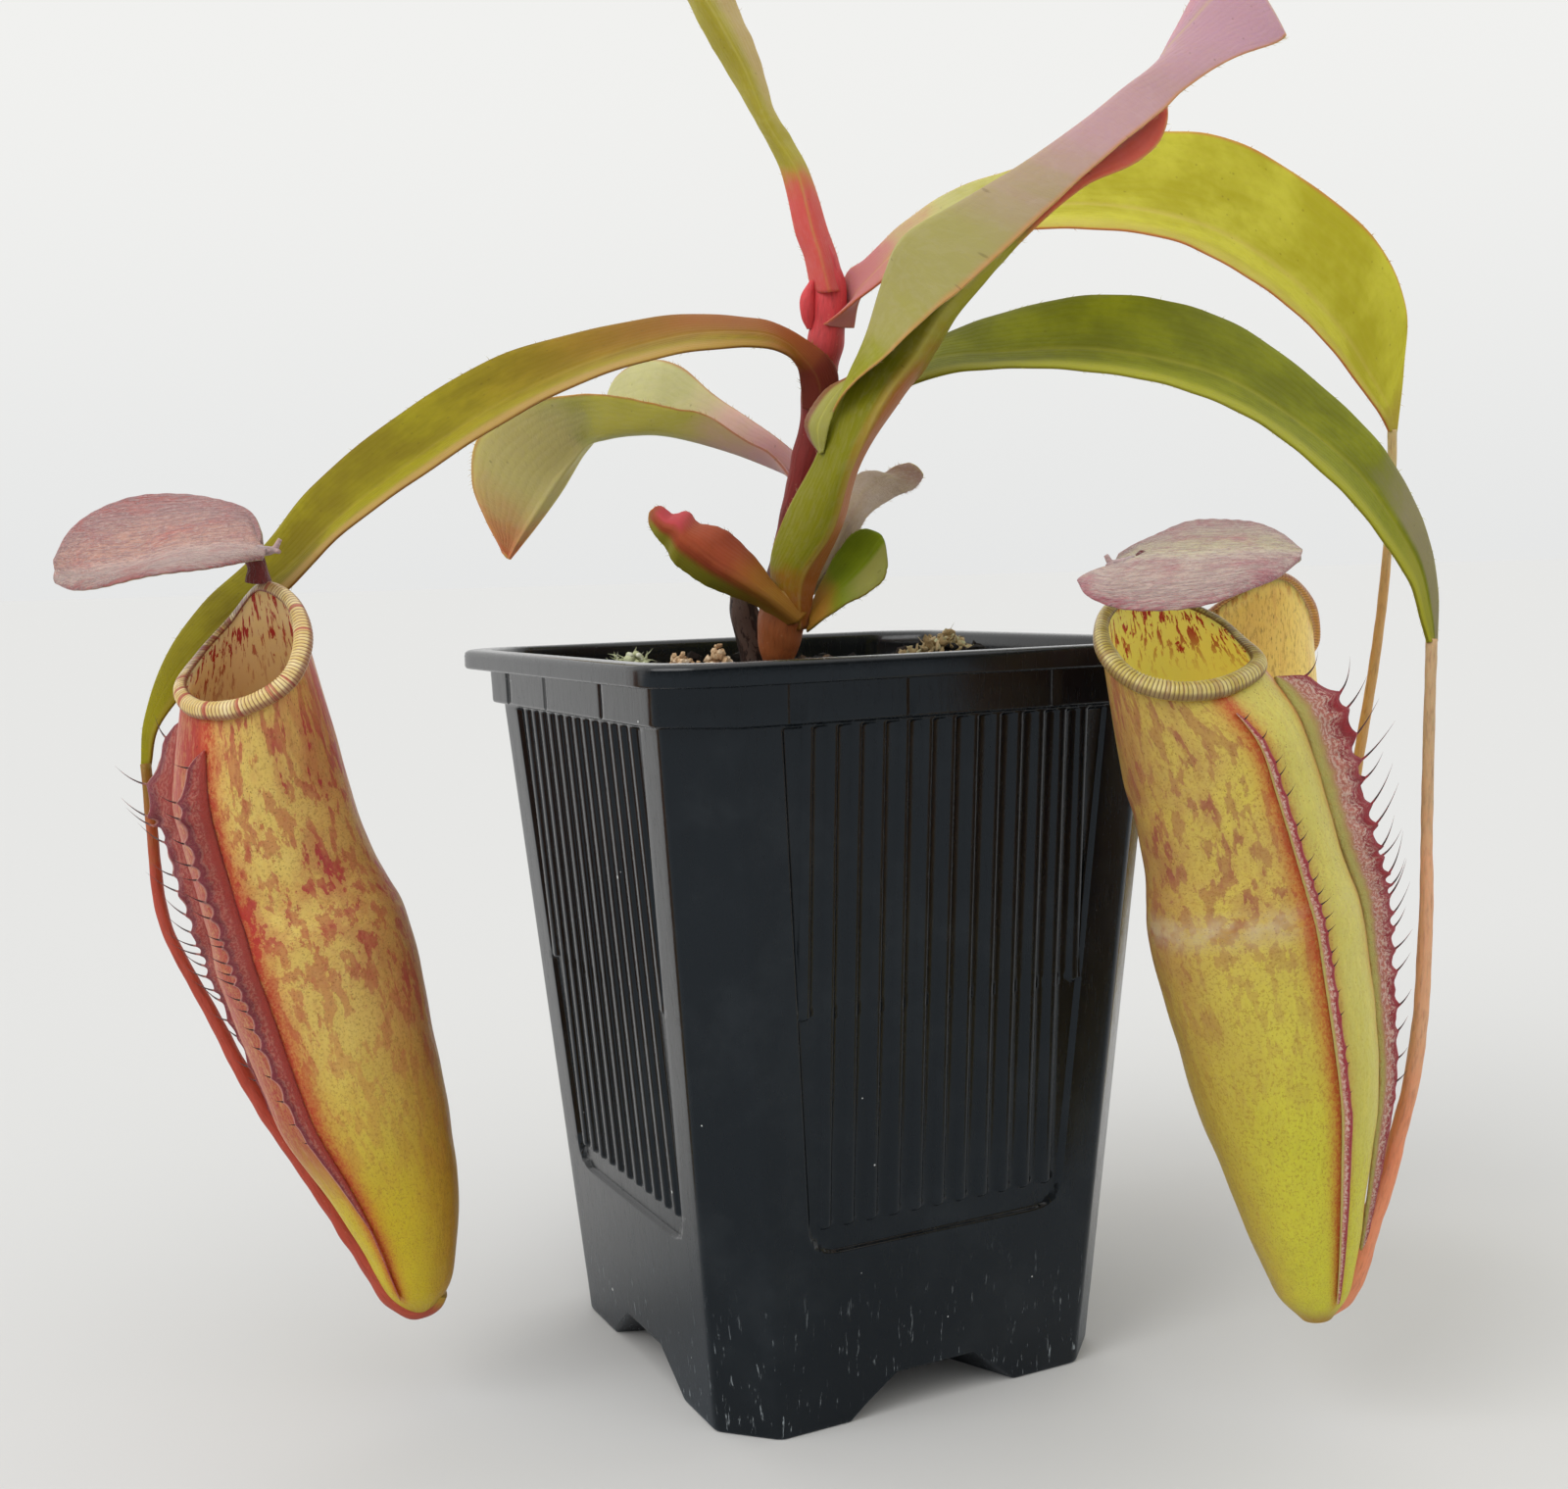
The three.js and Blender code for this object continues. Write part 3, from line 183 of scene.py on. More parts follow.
def loop_skin(rings: Array, marks: dict[str, Array] | None = None) -> Skin:
    """Skin over rings whose last one joins the first, such as a lip round a mouth.

    Args:
        rings: Points as (rings, points of a ring, 3).
        marks: Values on the same grid.

    Returns:
        The closed skin.
    """
    rows, sides = rings.shape[:2]
    i, j = np.meshgrid(np.arange(rows), np.arange(sides), indexing="ij")
    n, k = (i + 1) % rows, (j + 1) % sides
    quads = np.stack([i * sides + j, i * sides + k, n * sides + k, n * sides + j], -1).reshape(-1, 4)
    kept = {
        name: np.broadcast_to(v, (rows, sides, *v.shape[2:])).reshape(rows * sides, *v.shape[2:])
        for name, v in (marks or {}).items()
    }
    return Skin(rings.reshape(-1, 3), quads, np.zeros((0, 3), int), kept).outward()


def sheet_skin(middle: Array, half: Array, marks: dict[str, Array], upper: Array, lower: Array) -> Skin:
    """Skin of a sheet about its middle surface: one ring runs over it and back under it.

    Args:
        middle: Middle surface as (rows, columns, 3).
        half: Half thickness on the grid, none at the two margins.
        marks: Values on the grid; side is added, 1 above and 0 below.
        upper: Extra height of the upper face.
        lower: Extra depth of the lower face.

    Returns:
        The closed skin.
    """
    normals = grid_normals(middle)
    top = middle + normals * (half + upper)[..., None]
    bottom = middle - normals * (half + lower)[..., None]

    def around(above: Array, below: Array) -> Array:
        """Both faces' values in one ring, without the margins' twins."""
        return np.concatenate([above, below[:, -2:0:-1]], axis=1)

    kept = {name: around(v, v) for name, v in marks.items()}
    edge = np.full(middle.shape[:2], 1.0)
    edge[:, [0, -1]] = 0.5
    kept["side"] = around(edge, np.zeros_like(edge))
    return tube_skin(around(top, bottom), kept)


def stalk_skin(rows: Array, sides: int, steps: int, rough: float = 0.0, seed: int = 1) -> Skin:
    """Round stalk along a smooth line: its rings lie across the line, turned as little as can be.

    Args:
        rows: x, y, z and radius at each station.
        sides: Points round it.
        steps: Rings along it.
        rough: Share by which the radius wanders.
        seed: Seed of that wandering.

    Returns:
        The closed skin, with the marks rise and flow.
    """
    rise = np.linspace(0, 1, steps + 1)
    line = spline(rows, rise)
    centre, radius = line[:, :3], line[:, 3]
    ahead = unit(np.gradient(centre, axis=0))
    across = np.empty_like(centre)
    across[0] = unit(np.cross(ahead[0], [0.31, 0.95, 0.05]))
    for k in range(1, len(centre)):
        across[k] = unit(across[k - 1] - ahead[k] * np.dot(ahead[k], across[k - 1]))
    other = np.cross(ahead, across)
    angle = np.linspace(0, 2 * math.pi, sides, endpoint=False)
    ways = across[:, None] * np.cos(angle)[:, None] + other[:, None] * np.sin(angle)[:, None]
    length = np.concatenate([[0], np.cumsum(np.linalg.norm(np.diff(centre, axis=0), axis=1))])
    wander = 1 + rough * swirl(centre[:, None] + ways * 3, 5.0, seed)
    rings = centre[:, None] + ways * (radius[:, None] * wander)[..., None]
    flow = np.stack(np.broadcast_arrays(
        np.cos(angle) * radius[:, None], np.sin(angle) * radius[:, None], length[:, None]), -1)
    return tube_skin(rings, {"rise": rise[:, None], "flow": flow})


def bristles(roots: Array, aims: Array, curls: Array, lengths: Array, radii: Array, joints: int = 5) -> Skin:
    """Tapered hairs: each runs from its root along aim s + curl s squared, times its length.

    Args:
        roots: Where the hairs start.
        aims: Unit directions.
        curls: How far each bends to the side, as a share of its length.
        lengths: Lengths in mm.
        radii: Radii at the root in mm.
        joints: Rings along a hair.

    Returns:
        One skin of all the hairs, with the marks hair and shade.
    """
    sides = 4
    count = len(roots)
    s = np.linspace(0, 1, joints)[:, None]
    centre = roots[:, None] + lengths[:, None, None] * (aims[:, None] * s + curls[:, None] * s**2)
    across = unit(np.cross(aims, np.array([0.21, 0.33, 0.92])))
    other = np.cross(aims, across)
    angle = np.linspace(0, 2 * math.pi, sides, endpoint=False)
    ways = across[:, None] * np.cos(angle)[:, None] + other[:, None] * np.sin(angle)[:, None]
    thick = radii[:, None] * (1 - 0.92 * s[:, 0]) ** 1.2
    rings = centre[:, :, None] + ways[:, None] * thick[..., None, None]
    block = joints * sides
    i, j = np.meshgrid(np.arange(joints - 1), np.arange(sides), indexing="ij")
    k = (j + 1) % sides
    quads = np.stack(
        [i * sides + j, i * sides + k, (i + 1) * sides + k, (i + 1) * sides + j], -1,
    ).reshape(-1, 4)
    ends = np.array([[3, 2, 1, 0], [block - 4, block - 3, block - 2, block - 1]])
    quads = np.concatenate([quads, ends])
    shift = (np.arange(count) * block)[:, None, None]
    shade = np.random.default_rng(count).uniform(size=(count, 1, 1))
    marks = {
        "hair": np.broadcast_to(np.maximum(s, 0.02)[None], (count, joints, sides)).reshape(-1),
        "shade": np.broadcast_to(shade, (count, joints, sides)).reshape(-1),
    }
    return Skin(rings.reshape(-1, 3), (quads[None] + shift).reshape(-1, 4), np.zeros((0, 3), int), marks)


def crumbs(places: Array, sizes: Array, seed: int) -> Skin:
    """Irregular grains: each is an icosahedron whose corners are pushed about, stretched and turned.

    Args:
        places: Centres in mm.
        sizes: Half lengths in mm along each grain's three axes.
        seed: Seed of the shapes and turns.

    Returns:
        One skin of all the grains, with the mark shade.
    """
    source = np.random.default_rng(seed)
    g = (1 + math.sqrt(5)) / 2
    corners = unit(np.array([
        [-1, g, 0], [1, g, 0], [-1, -g, 0], [1, -g, 0], [0, -1, g], [0, 1, g],
        [0, -1, -g], [0, 1, -g], [g, 0, -1], [g, 0, 1], [-g, 0, -1], [-g, 0, 1],
    ], dtype=float))
    faces = np.array([
        [0, 11, 5], [0, 5, 1], [0, 1, 7], [0, 7, 10], [0, 10, 11], [1, 5, 9], [5, 11, 4], [11, 10, 2],
        [10, 7, 6], [7, 1, 8], [3, 9, 4], [3, 4, 2], [3, 2, 6], [3, 6, 8], [3, 8, 9], [4, 9, 5],
        [2, 4, 11], [6, 2, 10], [8, 6, 7], [9, 8, 1],
    ])
    count = len(places)
    shapes = corners[None] * source.uniform(0.72, 1.25, size=(count, 12, 1)) * sizes[:, None]
    first = unit(source.normal(size=(count, 3)))
    second = unit(np.cross(first, source.normal(size=(count, 3))))
    axes = np.stack([first, second, np.cross(first, second)], axis=1)
    points = np.einsum("nki,nij->nkj", shapes, axes) + places[:, None]
    tris = (faces[None] + (np.arange(count) * 12)[:, None, None]).reshape(-1, 3)
    shade = np.broadcast_to(source.uniform(size=(count, 1)), (count, 12)).reshape(-1)
    return Skin(points.reshape(-1, 3), np.zeros((0, 4), int), tris, {"shade": shade})


def make_piece(
    name: str, skins: Sequence[Skin], material: bpy.types.Material, nodes: Sequence[str],
    turn: Turn = Turn.PLANT, smooth: bool = True,
) -> bpy.types.Object:
    """Joins skins into one object in metres, rides it on the body and lets it stand for its nodes.

    Args:
        name: The object's name.
        skins: What it is made of.
        material: Its finish.
        nodes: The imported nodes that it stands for.
        turn: The frame its millimetres are in.
        smooth: Whether its faces are shaded smooth.

    Returns:
        The finished object.
    """
    points = np.concatenate([skin.points for skin in skins])
    c, s = math.cos(turn.value), math.sin(turn.value)
    points = points @ np.array([[c, s, 0], [-s, c, 0], [0, 0, 1]]) * MM
    starts = np.cumsum([0] + [len(skin.points) for skin in skins])
    faces: list[list[int]] = []
    for skin, start in zip(skins, starts):
        faces.extend((skin.quads + start).tolist())
        faces.extend((skin.tris + start).tolist())
    mesh = bpy.data.meshes.new(name)
    mesh.from_pydata(points.tolist(), [], faces)
    for mark in sorted({key for skin in skins for key in skin.marks}):
        wide = mark == "flow"
        blank = [np.zeros((len(skin.points), 3) if wide else len(skin.points)) for skin in skins]
        values = np.concatenate([skin.marks.get(mark, none) for skin, none in zip(skins, blank)])
        layer = mesh.attributes.new(mark, "FLOAT_VECTOR" if wide else "FLOAT", "POINT")
        layer.data.foreach_set("vector" if wide else "value", values.astype(np.float32).ravel())
    mesh.polygons.foreach_set("use_smooth", np.full(len(mesh.polygons), smooth))
    mesh.update()
    mesh.materials.append(material)
    piece = bpy.data.objects.new(name, mesh)
    bpy.context.scene.collection.objects.link(piece)
    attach(piece, BODY)
    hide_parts(*nodes)
    LOG.info("%s: %d faces, stands for %s", name, len(faces), ", ".join(nodes))
    return piece


# ---- shader graphs ---------------------------------------------------------------------------------


def paint(code: str) -> Colour:
    """Linear colour of a six-figure display colour code."""
    parts = [int(code[k : k + 2], 16) / 255 for k in (0, 2, 4)]
    red, green, blue = (p / 12.92 if p <= 0.04045 else ((p + 0.055) / 1.055) ** 2.4 for p in parts)
    return red, green, blue, 1.0


class Graph:
    """Short ways to lay out one tree of shader nodes."""

    def __init__(self, tree: bpy.types.NodeTree) -> None:
        """Keeps the tree that nodes are added to."""
        self.tree = tree

    def add(
        self, kind: str, feeds: dict[str | int, object] | None = None, **settings: object
    ) -> bpy.types.Node:
        """Adds a node.

        Args:
            kind: The node's type, without its ShaderNode prefix.
            feeds: A socket or a value for each input, by name or place.
            settings: The node's own settings.

        Returns:
            The node.
        """
        node = self.tree.nodes.new(f"ShaderNode{kind}")
        for key, value in settings.items():
            setattr(node, key, value)
        for key, value in (feeds or {}).items():
            self.feed(node.inputs[key], value)
        return node

    def feed(self, target: Socket, value: object) -> None:
        """Links a socket to an input, or sets the input's value."""
        if isinstance(value, bpy.types.NodeSocket):
            self.tree.links.new(value, target)
        else:
            target.default_value = value

    def mark(self, name: str) -> Socket:
        """A mark painted on the piece's points."""
        return self.add("Attribute", attribute_name=name).outputs["Fac"]

    def flow(self) -> Socket:
        """The piece's own coordinates along its surface, in mm."""
        return self.add("Attribute", attribute_name="flow").outputs["Vector"]

    def place(self) -> Socket:
        """Object coordinates in mm."""
        where = self.add("TexCoord").outputs["Object"]
        return self.add("VectorMath", {0: where, "Scale": 1 / MM}, operation="SCALE").outputs[0]

    def stretch(self, vector: Socket, sizes: Sequence[float]) -> Socket:
        """A vector times three factors."""
        return self.add("VectorMath", {0: vector, 1: tuple(sizes)}, operation="MULTIPLY").outputs[0]

    def math(self, operation: str, first: object, second: object = 0.0) -> Socket:
        """One sum on two values."""
        return self.add("Math", {0: first, 1: second}, operation=operation).outputs[0]

    def times(self, first: object, second: object) -> Socket:
        """Two values multiplied."""
        return self.math("MULTIPLY", first, second)

    def sway(self, value: object, cloud: Socket, reach: float) -> Socket:
        """A value moved to and fro by a cloud whose mean is one half."""
        return self.math("ADD", value, self.times(self.math("SUBTRACT", cloud, 0.5), reach))

    def ramp(self, value: Socket, low: object, high: object, start: float = 0.0, end: float = 1.0) -> Socket:
        """Smooth step from start to end as value goes from low to high."""
        feeds = {"Value": value, "From Min": low, "From Max": high, "To Min": start, "To Max": end}
        return self.add("MapRange", feeds, interpolation_type="SMOOTHSTEP").outputs["Result"]

    def mix(self, factor: object, first: object, second: object, blend: str = "MIX") -> Socket:
        """Two colours mixed by a factor."""
        return self.add(
            "Mix", {0: factor, 6: first, 7: second}, data_type="RGBA", blend_type=blend,
        ).outputs[2]

    def over(self, colour: Socket, mask: object, code: str) -> Socket:
        """A paint laid over a colour through a mask."""
        return self.mix(mask, colour, paint(code))

    def noise(
        self, vector: Socket, scale: object, detail: float = 3.0, rough: float = 0.55, bend: float = 0.0,
    ) -> Socket:
        """Cloudy noise, around one half."""
        feeds = {"Vector": vector, "Scale": scale, "Detail": detail, "Roughness": rough, "Distortion": bend}
        return self.add("TexNoise", feeds).outputs["Fac"]

    def bump(self, height: Socket, depth: float, normal: Socket | None = None) -> Socket:
        """Normal of a surface raised by a height from 0 to 1 times depth in mm."""
        feeds = {"Height": height, "Distance": depth * MM, "Strength": 1.0}
        if normal is not None:
            feeds["Normal"] = normal
        return self.add("Bump", feeds).outputs["Normal"]

    def effect(self, group: bpy.types.NodeTree, **feeds: object) -> bpy.types.Node:
        """Places a shared effect and feeds its named inputs."""
        node = self.add("Group", node_tree=group)
        for key, value in feeds.items():
            self.feed(node.inputs[key], value)
        return node


def new_group(
    name: str, inputs: dict[str, float | None], outputs: Sequence[str],
    body: Callable[[Graph, bpy.types.Node], Sequence[Socket]],
) -> bpy.types.NodeTree:
    """Builds a shared effect as a node group.

    Args:
        name: The group's name.
        inputs: Default of each number input, or None for a vector.
        outputs: Names of its outputs, all numbers.
        body: Lays out the nodes and returns the output sockets in order.

    Returns:
        The group.
    """
    tree = bpy.data.node_groups.new(name, "ShaderNodeTree")
    for key, value in inputs.items():
        kind = "NodeSocketVector" if value is None else "NodeSocketFloat"
        socket = tree.interface.new_socket(name=key, in_out="INPUT", socket_type=kind)
        if value is not None:
            socket.default_value = value
    for key in outputs:
        tree.interface.new_socket(name=key, in_out="OUTPUT", socket_type="NodeSocketFloat")
    graph = Graph(tree)
    entry = tree.nodes.new("NodeGroupInput")
    ending = tree.nodes.new("NodeGroupOutput")
    for key, socket in zip(outputs, body(graph, entry)):
        tree.links.new(socket, ending.inputs[key])
    return tree


class Effects:
    """Surface effects that more than one finish uses, each built once."""

    def __init__(self) -> None:
        """Builds the groups."""
        self.blotches = new_group(
            "blotches", {"Vector": None, "Scale": 0.3, "Cover": 0.5, "Edge": 0.06}, ["Mask"], self._blotches,
        )
        self.speckles = new_group(
            "speckles", {"Vector": None, "Scale": 1.5, "Size": 0.25, "Share": 0.5}, ["Mask"], self._speckles,
        )
        self.veins = new_group(
            "veins", {"Across": 0.0, "Vector": None, "Number": 7.0}, ["Height", "Mask"], self._veins,
        )
        self.felt = new_group("felt", {"Vector": None, "Scale": 3.0}, ["Height", "Streaks"], self._felt)
        self.dust = new_group("dust", {"Vector": None, "Share": 0.02}, ["Specks", "Film"], self._dust)

    @staticmethod
    def _blotches(graph: Graph, entry: bpy.types.Node) -> list[Socket]:
        """Uneven spots: cloudy noise cut off at 1 - cover, with ragged soft edges."""
        ins = entry.outputs
        cloud = graph.noise(ins["Vector"], ins["Scale"], 5.0, 0.62, 0.3)
        level = graph.math("SUBTRACT", 0.78, graph.times(ins["Cover"], 0.5))
        return [
            graph.ramp(
                cloud, graph.math("SUBTRACT", level, ins["Edge"]), graph.math("ADD", level, ins["Edge"]),
            )
        ]

    @staticmethod
    def _speckles(graph: Graph, entry: bpy.types.Node) -> list[Socket]:
        """Fine dots: cells whose centres are nearer than size, kept in a share of the cells."""
        ins = entry.outputs
        cells = graph.add("TexVoronoi", {"Vector": ins["Vector"], "Scale": ins["Scale"]})
        near = graph.ramp(cells.outputs["Distance"], ins["Size"], graph.times(ins["Size"], 0.45))
        draw = graph.add("SeparateColor", {0: cells.outputs["Color"]}).outputs[0]
        return [graph.times(near, graph.math("LESS_THAN", draw, ins["Share"]))]

    @staticmethod
    def _veins(graph: Graph, entry: bpy.types.Node) -> list[Socket]:
        """Parallel veins: a wave across the blade, bent a little by noise, sharpened to thin lines."""
        ins = entry.outputs
        bent = graph.sway(ins["Across"], graph.noise(ins["Vector"], 0.12, 2.0), 0.25)
        phase = graph.times(bent, graph.times(ins["Number"], math.pi))
        wave = graph.math("ABSOLUTE", graph.math("COSINE", phase))
        return [wave, graph.math("POWER", wave, 14.0)]

    @staticmethod
    def _felt(graph: Graph, entry: bpy.types.Node) -> list[Socket]:
        """Short dense hairs seen from a step away: fine noise, and the same noise drawn out to streaks."""
        ins = entry.outputs
        fine = graph.noise(ins["Vector"], ins["Scale"], 4.0, 0.7)
        drawn = graph.noise(graph.stretch(ins["Vector"], (1.0, 1.0, 0.25)), ins["Scale"], 3.0, 0.65, 0.6)
        return [fine, graph.ramp(drawn, 0.42, 0.66)]

    @staticmethod
    def _dust(graph: Graph, entry: bpy.types.Node) -> list[Socket]:
        """Sparse pale specks in a share of small cells, and a thin cloudy film."""
        ins = entry.outputs
        cells = graph.add("TexVoronoi", {"Vector": ins["Vector"], "Scale": 0.55})
        draw = graph.add("SeparateColor", {0: cells.outputs["Color"]})
        size = graph.times(graph.math("POWER", draw.outputs[1], 4.0), 0.12)
        near = graph.math("LESS_THAN", cells.outputs["Distance"], graph.math("ADD", size, 0.03))
        film = graph.ramp(graph.noise(ins["Vector"], 0.06, 4.0, 0.7), 0.45, 0.75)
        return [graph.times(near, graph.math("LESS_THAN", draw.outputs[0], ins["Share"])), film]


def new_material(name: str, lay: Callable[[Graph], dict[str, object]]) -> bpy.types.Material:
    """A material with one Principled surface.

    Args:
        name: The material's name.
        lay: Lays out the nodes and returns what feeds the surface, by input name.

    Returns:
        The material.
    """
    material = bpy.data.materials.new(name)
    material.use_nodes = True
    graph = Graph(material.node_tree)
    surface = material.node_tree.nodes["Principled BSDF"]
    for key, value in lay(graph).items():
        graph.feed(surface.inputs[key], value)
    return material


class Finish(ABC):
    """A finish: a name, and the nodes that feed one Principled surface."""

    name: str

    @abstractmethod
    def lay(self, graph: Graph, effects: Effects) -> dict[str, object]:
        """Lays out the nodes and returns what feeds the surface, by input name."""

    def build(self, effects: Effects) -> bpy.types.Material:
        """The finish's material."""
        return new_material(self.name, partial(self.lay, effects=effects))


@dataclass(frozen=True)
class PotFinish(Finish):
    """Satin black nursery-pot plastic with dust, scuffs and lime marks near its feet."""

    name: str = "nursery_pot_plastic"
    dark: str = "080b0e"
    light: str = "0f1418"
    mark: str = "9aa2a6"
    roughness: float = 0.2

    def lay(self, graph: Graph, effects: Effects) -> dict[str, object]:
        """Lays out the plastic."""
        place = graph.place()
        colour = graph.mix(graph.noise(place, 0.05, 3.0), paint(self.dark), paint(self.light))
        dust = graph.effect(effects.dust, Vector=place, Share=0.07)
        scuff = graph.noise(graph.stretch(place, (1.0, 1.0, 0.12)), 1.6, 5.0, 0.7, 0.4)
        height = graph.add("SeparateXYZ", {0: place}).outputs["Z"]
        low = graph.ramp(height, 26.0, 1.0)
        lime = graph.times(graph.ramp(scuff, 0.62, 0.68), low)
        colour = graph.over(colour, graph.times(dust.outputs["Film"], 0.02), self.mark)
        colour = graph.over(colour, graph.times(lime, 0.8), self.mark)
        colour = graph.over(colour, dust.outputs["Specks"], "c9ccca")
        rough = graph.math("ADD", self.roughness, graph.times(graph.ramp(scuff, 0.4, 0.75), 0.12))
        grain = graph.noise(place, 2.2, 4.0, 0.6)
        return {
            "Base Color": colour, "Roughness": rough, "Normal": graph.bump(grain, 0.015),
            "Specular IOR Level": 0.5,
        }


@dataclass(frozen=True)
class CrumbFinish(Finish):
    """Bark, fibre or moss whose grains differ in shade."""

    name: str
    dark: str
    middle: str
    light: str

    def lay(self, graph: Graph, effects: Effects) -> dict[str, object]:
        """Lays out the grains' colours."""
        place = graph.place()
        shade = graph.mark("shade")
        fine = graph.noise(place, 2.5, 5.0, 0.7)
        colour = graph.mix(graph.ramp(shade, 0.0, 0.6), paint(self.dark), paint(self.middle))
        colour = graph.over(colour, graph.ramp(shade, 0.55, 1.0), self.light)
        colour = graph.over(colour, graph.ramp(fine, 0.35, 0.7, 0.0, 0.45), self.dark)
        return {
            "Base Color": colour, "Roughness": 0.9, "Normal": graph.bump(fine, 0.25),
            "Specular IOR Level": 0.25,
        }


@dataclass(frozen=True)
class StalkFinish(Finish):
    """A stem, shoot or tendril: a foot, a body and a top colour, lengthwise grain and pores.

    foot_to and top_from are shares of its length. flaky is the strength of flakes on its foot, end an own
    colour of its last part, and pores the strength of its pale dots.
    """

    name: str
    foot: str
    body: str
    top: str
    foot_to: float
    top_from: float
    flaky: float = 0.0
    end: str = ""
    pores: float = 0.35

    def lay(self, graph: Graph, effects: Effects) -> dict[str, object]:
        """Lays out the bark or skin."""
        flow, rise = graph.flow(), graph.mark("rise")
        grain = graph.noise(graph.stretch(flow, (1.0, 1.0, 0.16)), 2.4, 4.0, 0.65)
        cloud = graph.noise(flow, 0.35, 3.0)
        wander = graph.sway(rise, cloud, 0.12)
        colour = graph.mix(
            graph.ramp(wander, self.foot_to - 0.07, self.foot_to + 0.07), paint(self.foot), paint(self.body),
        )
        colour = graph.over(colour, graph.ramp(wander, self.top_from - 0.12, self.top_from + 0.12), self.top)
        if self.end:
            colour = graph.over(colour, graph.ramp(rise, 0.94, 0.985), self.end)
        colour = graph.over(colour, graph.ramp(grain, 0.45, 0.8, 0.0, 0.4), "4a1a14")
        dots = graph.effect(effects.speckles, Vector=flow, Scale=1.3, Size=0.22, Share=0.35)
        colour = graph.over(colour, graph.times(dots.outputs["Mask"], self.pores), "e0b48c")
        if self.flaky:
            flakes = graph.effect(
                effects.blotches, Vector=graph.stretch(flow, (1.0, 1.0, 0.4)), Scale=0.7, Cover=0.55,
                Edge=0.03,
            )
            bark = graph.times(
                flakes.outputs["Mask"], graph.ramp(rise, self.foot_to + 0.05, self.foot_to - 0.1),
            )
            colour = graph.over(colour, graph.times(bark, self.flaky), "6f5a50")
        return {
            "Base Color": colour, "Roughness": 0.5, "Normal": graph.bump(grain, 0.18),
            "Specular IOR Level": 0.3,
            "Subsurface Weight": 0.2, "Subsurface Scale": 0.001,
        }


@dataclass(frozen=True)
class Zone:
    """One colour over part of a blade: a share of it, eased in along the blade and across it."""

    colour: str
    share: float
    along: tuple[float, float] | None = None
    across: tuple[float, float] | None = None

    def mask(self, graph: Graph, along: Socket, across: Socket) -> object:
        """The share at each place."""
        part: object = self.share
        for value, span in ((along, self.along), (across, self.across)):
            if span:
                part = graph.times(graph.ramp(value, *span), part)
        return part


@dataclass(frozen=True)
class LeafFinish(Finish):
    """A leathery blade: its two faces, its midrib and margins, and zones of other colours on it.

    felt is the strength of its down, and stains that of its dark spots.
    """

    name: str
    upper: str
    deep: str
    lower: str
    rib: str
    margin: str
    zones: tuple[Zone, ...] = ()
    margin_width: float = 0.06
    rib_share: float = 0.5
    felt: float = 0.0
    stains: float = 0.0

    def lay(self, graph: Graph, effects: Effects) -> dict[str, object]:
        """Lays out the blade."""
        flow, along, across = graph.flow(), graph.mark("along"), graph.mark("across")
        cloud = graph.noise(flow, 0.09, 4.0, 0.6)
        fine = graph.noise(flow, 0.9, 4.0, 0.6)
        veins = graph.effect(effects.veins, Across=across, Vector=flow, Number=9.0)
        top = graph.mix(graph.ramp(cloud, 0.38, 0.62), paint(self.upper), paint(self.deep))
        under = graph.mix(graph.ramp(cloud, 0.35, 0.68, 0.0, 0.4), paint(self.lower), paint(self.deep))
        colour = graph.mix(graph.mark("side"), under, top)
        colour = graph.over(colour, graph.times(veins.outputs["Mask"], 0.07), self.rib)
        colour = graph.over(colour, graph.ramp(fine, 0.45, 0.7, 0.0, 0.35), self.deep)
        wander = graph.times(graph.math("SUBTRACT", cloud, 0.5), 0.25)
        reach, off = graph.math("ADD", along, wander), graph.math("ADD", across, wander)
        for zone in self.zones:
            colour = graph.over(colour, zone.mask(graph, reach, off), zone.colour)
        colour = graph.over(colour, graph.times(graph.mark("rib"), self.rib_share), self.rib)
        away = graph.math("ADD", graph.math("ABSOLUTE", across), graph.times(wander, 0.2))
        rim = graph.times(
            graph.ramp(away, 1.0 - self.margin_width, 1.0, 0.0, 0.8), graph.ramp(away, 1.12, 1.06),
        )
        colour = graph.over(colour, rim, self.margin)
        dots = graph.effect(effects.speckles, Vector=flow, Scale=0.8, Size=0.16, Share=0.35)
        colour = graph.over(colour, graph.times(dots.outputs["Mask"], 0.3), "4a3412")
        if self.stains:
            spots = graph.effect(
                effects.blotches, Vector=graph.stretch(flow, (1.0, 1.0, 0.6)), Scale=0.13, Cover=0.14,
                Edge=0.03,
            )
            colour = graph.over(colour, graph.times(spots.outputs["Mask"], self.stains), "3c3c10")
        felt = graph.effect(effects.felt, Vector=flow, Scale=2.2)
        normal = graph.bump(veins.outputs["Height"], 0.025)
        normal = graph.bump(felt.outputs["Height"], 0.05 + 0.15 * self.felt, normal)
        if self.felt:
            bloom = graph.times(felt.outputs["Streaks"], self.felt * 0.3)
            colour = graph.over(colour, bloom, "d9c9c4")
        return {
            "Base Color": colour, "Roughness": 0.5, "Normal": normal, "Specular IOR Level": 0.08,
            "Subsurface Weight": 0.6, "Subsurface Scale": 0.001, "Subsurface Radius": (1.0, 1.1, 0.3),
            "Sheen Weight": 0.2 * self.felt, "Sheen Roughness": 0.5,
        }


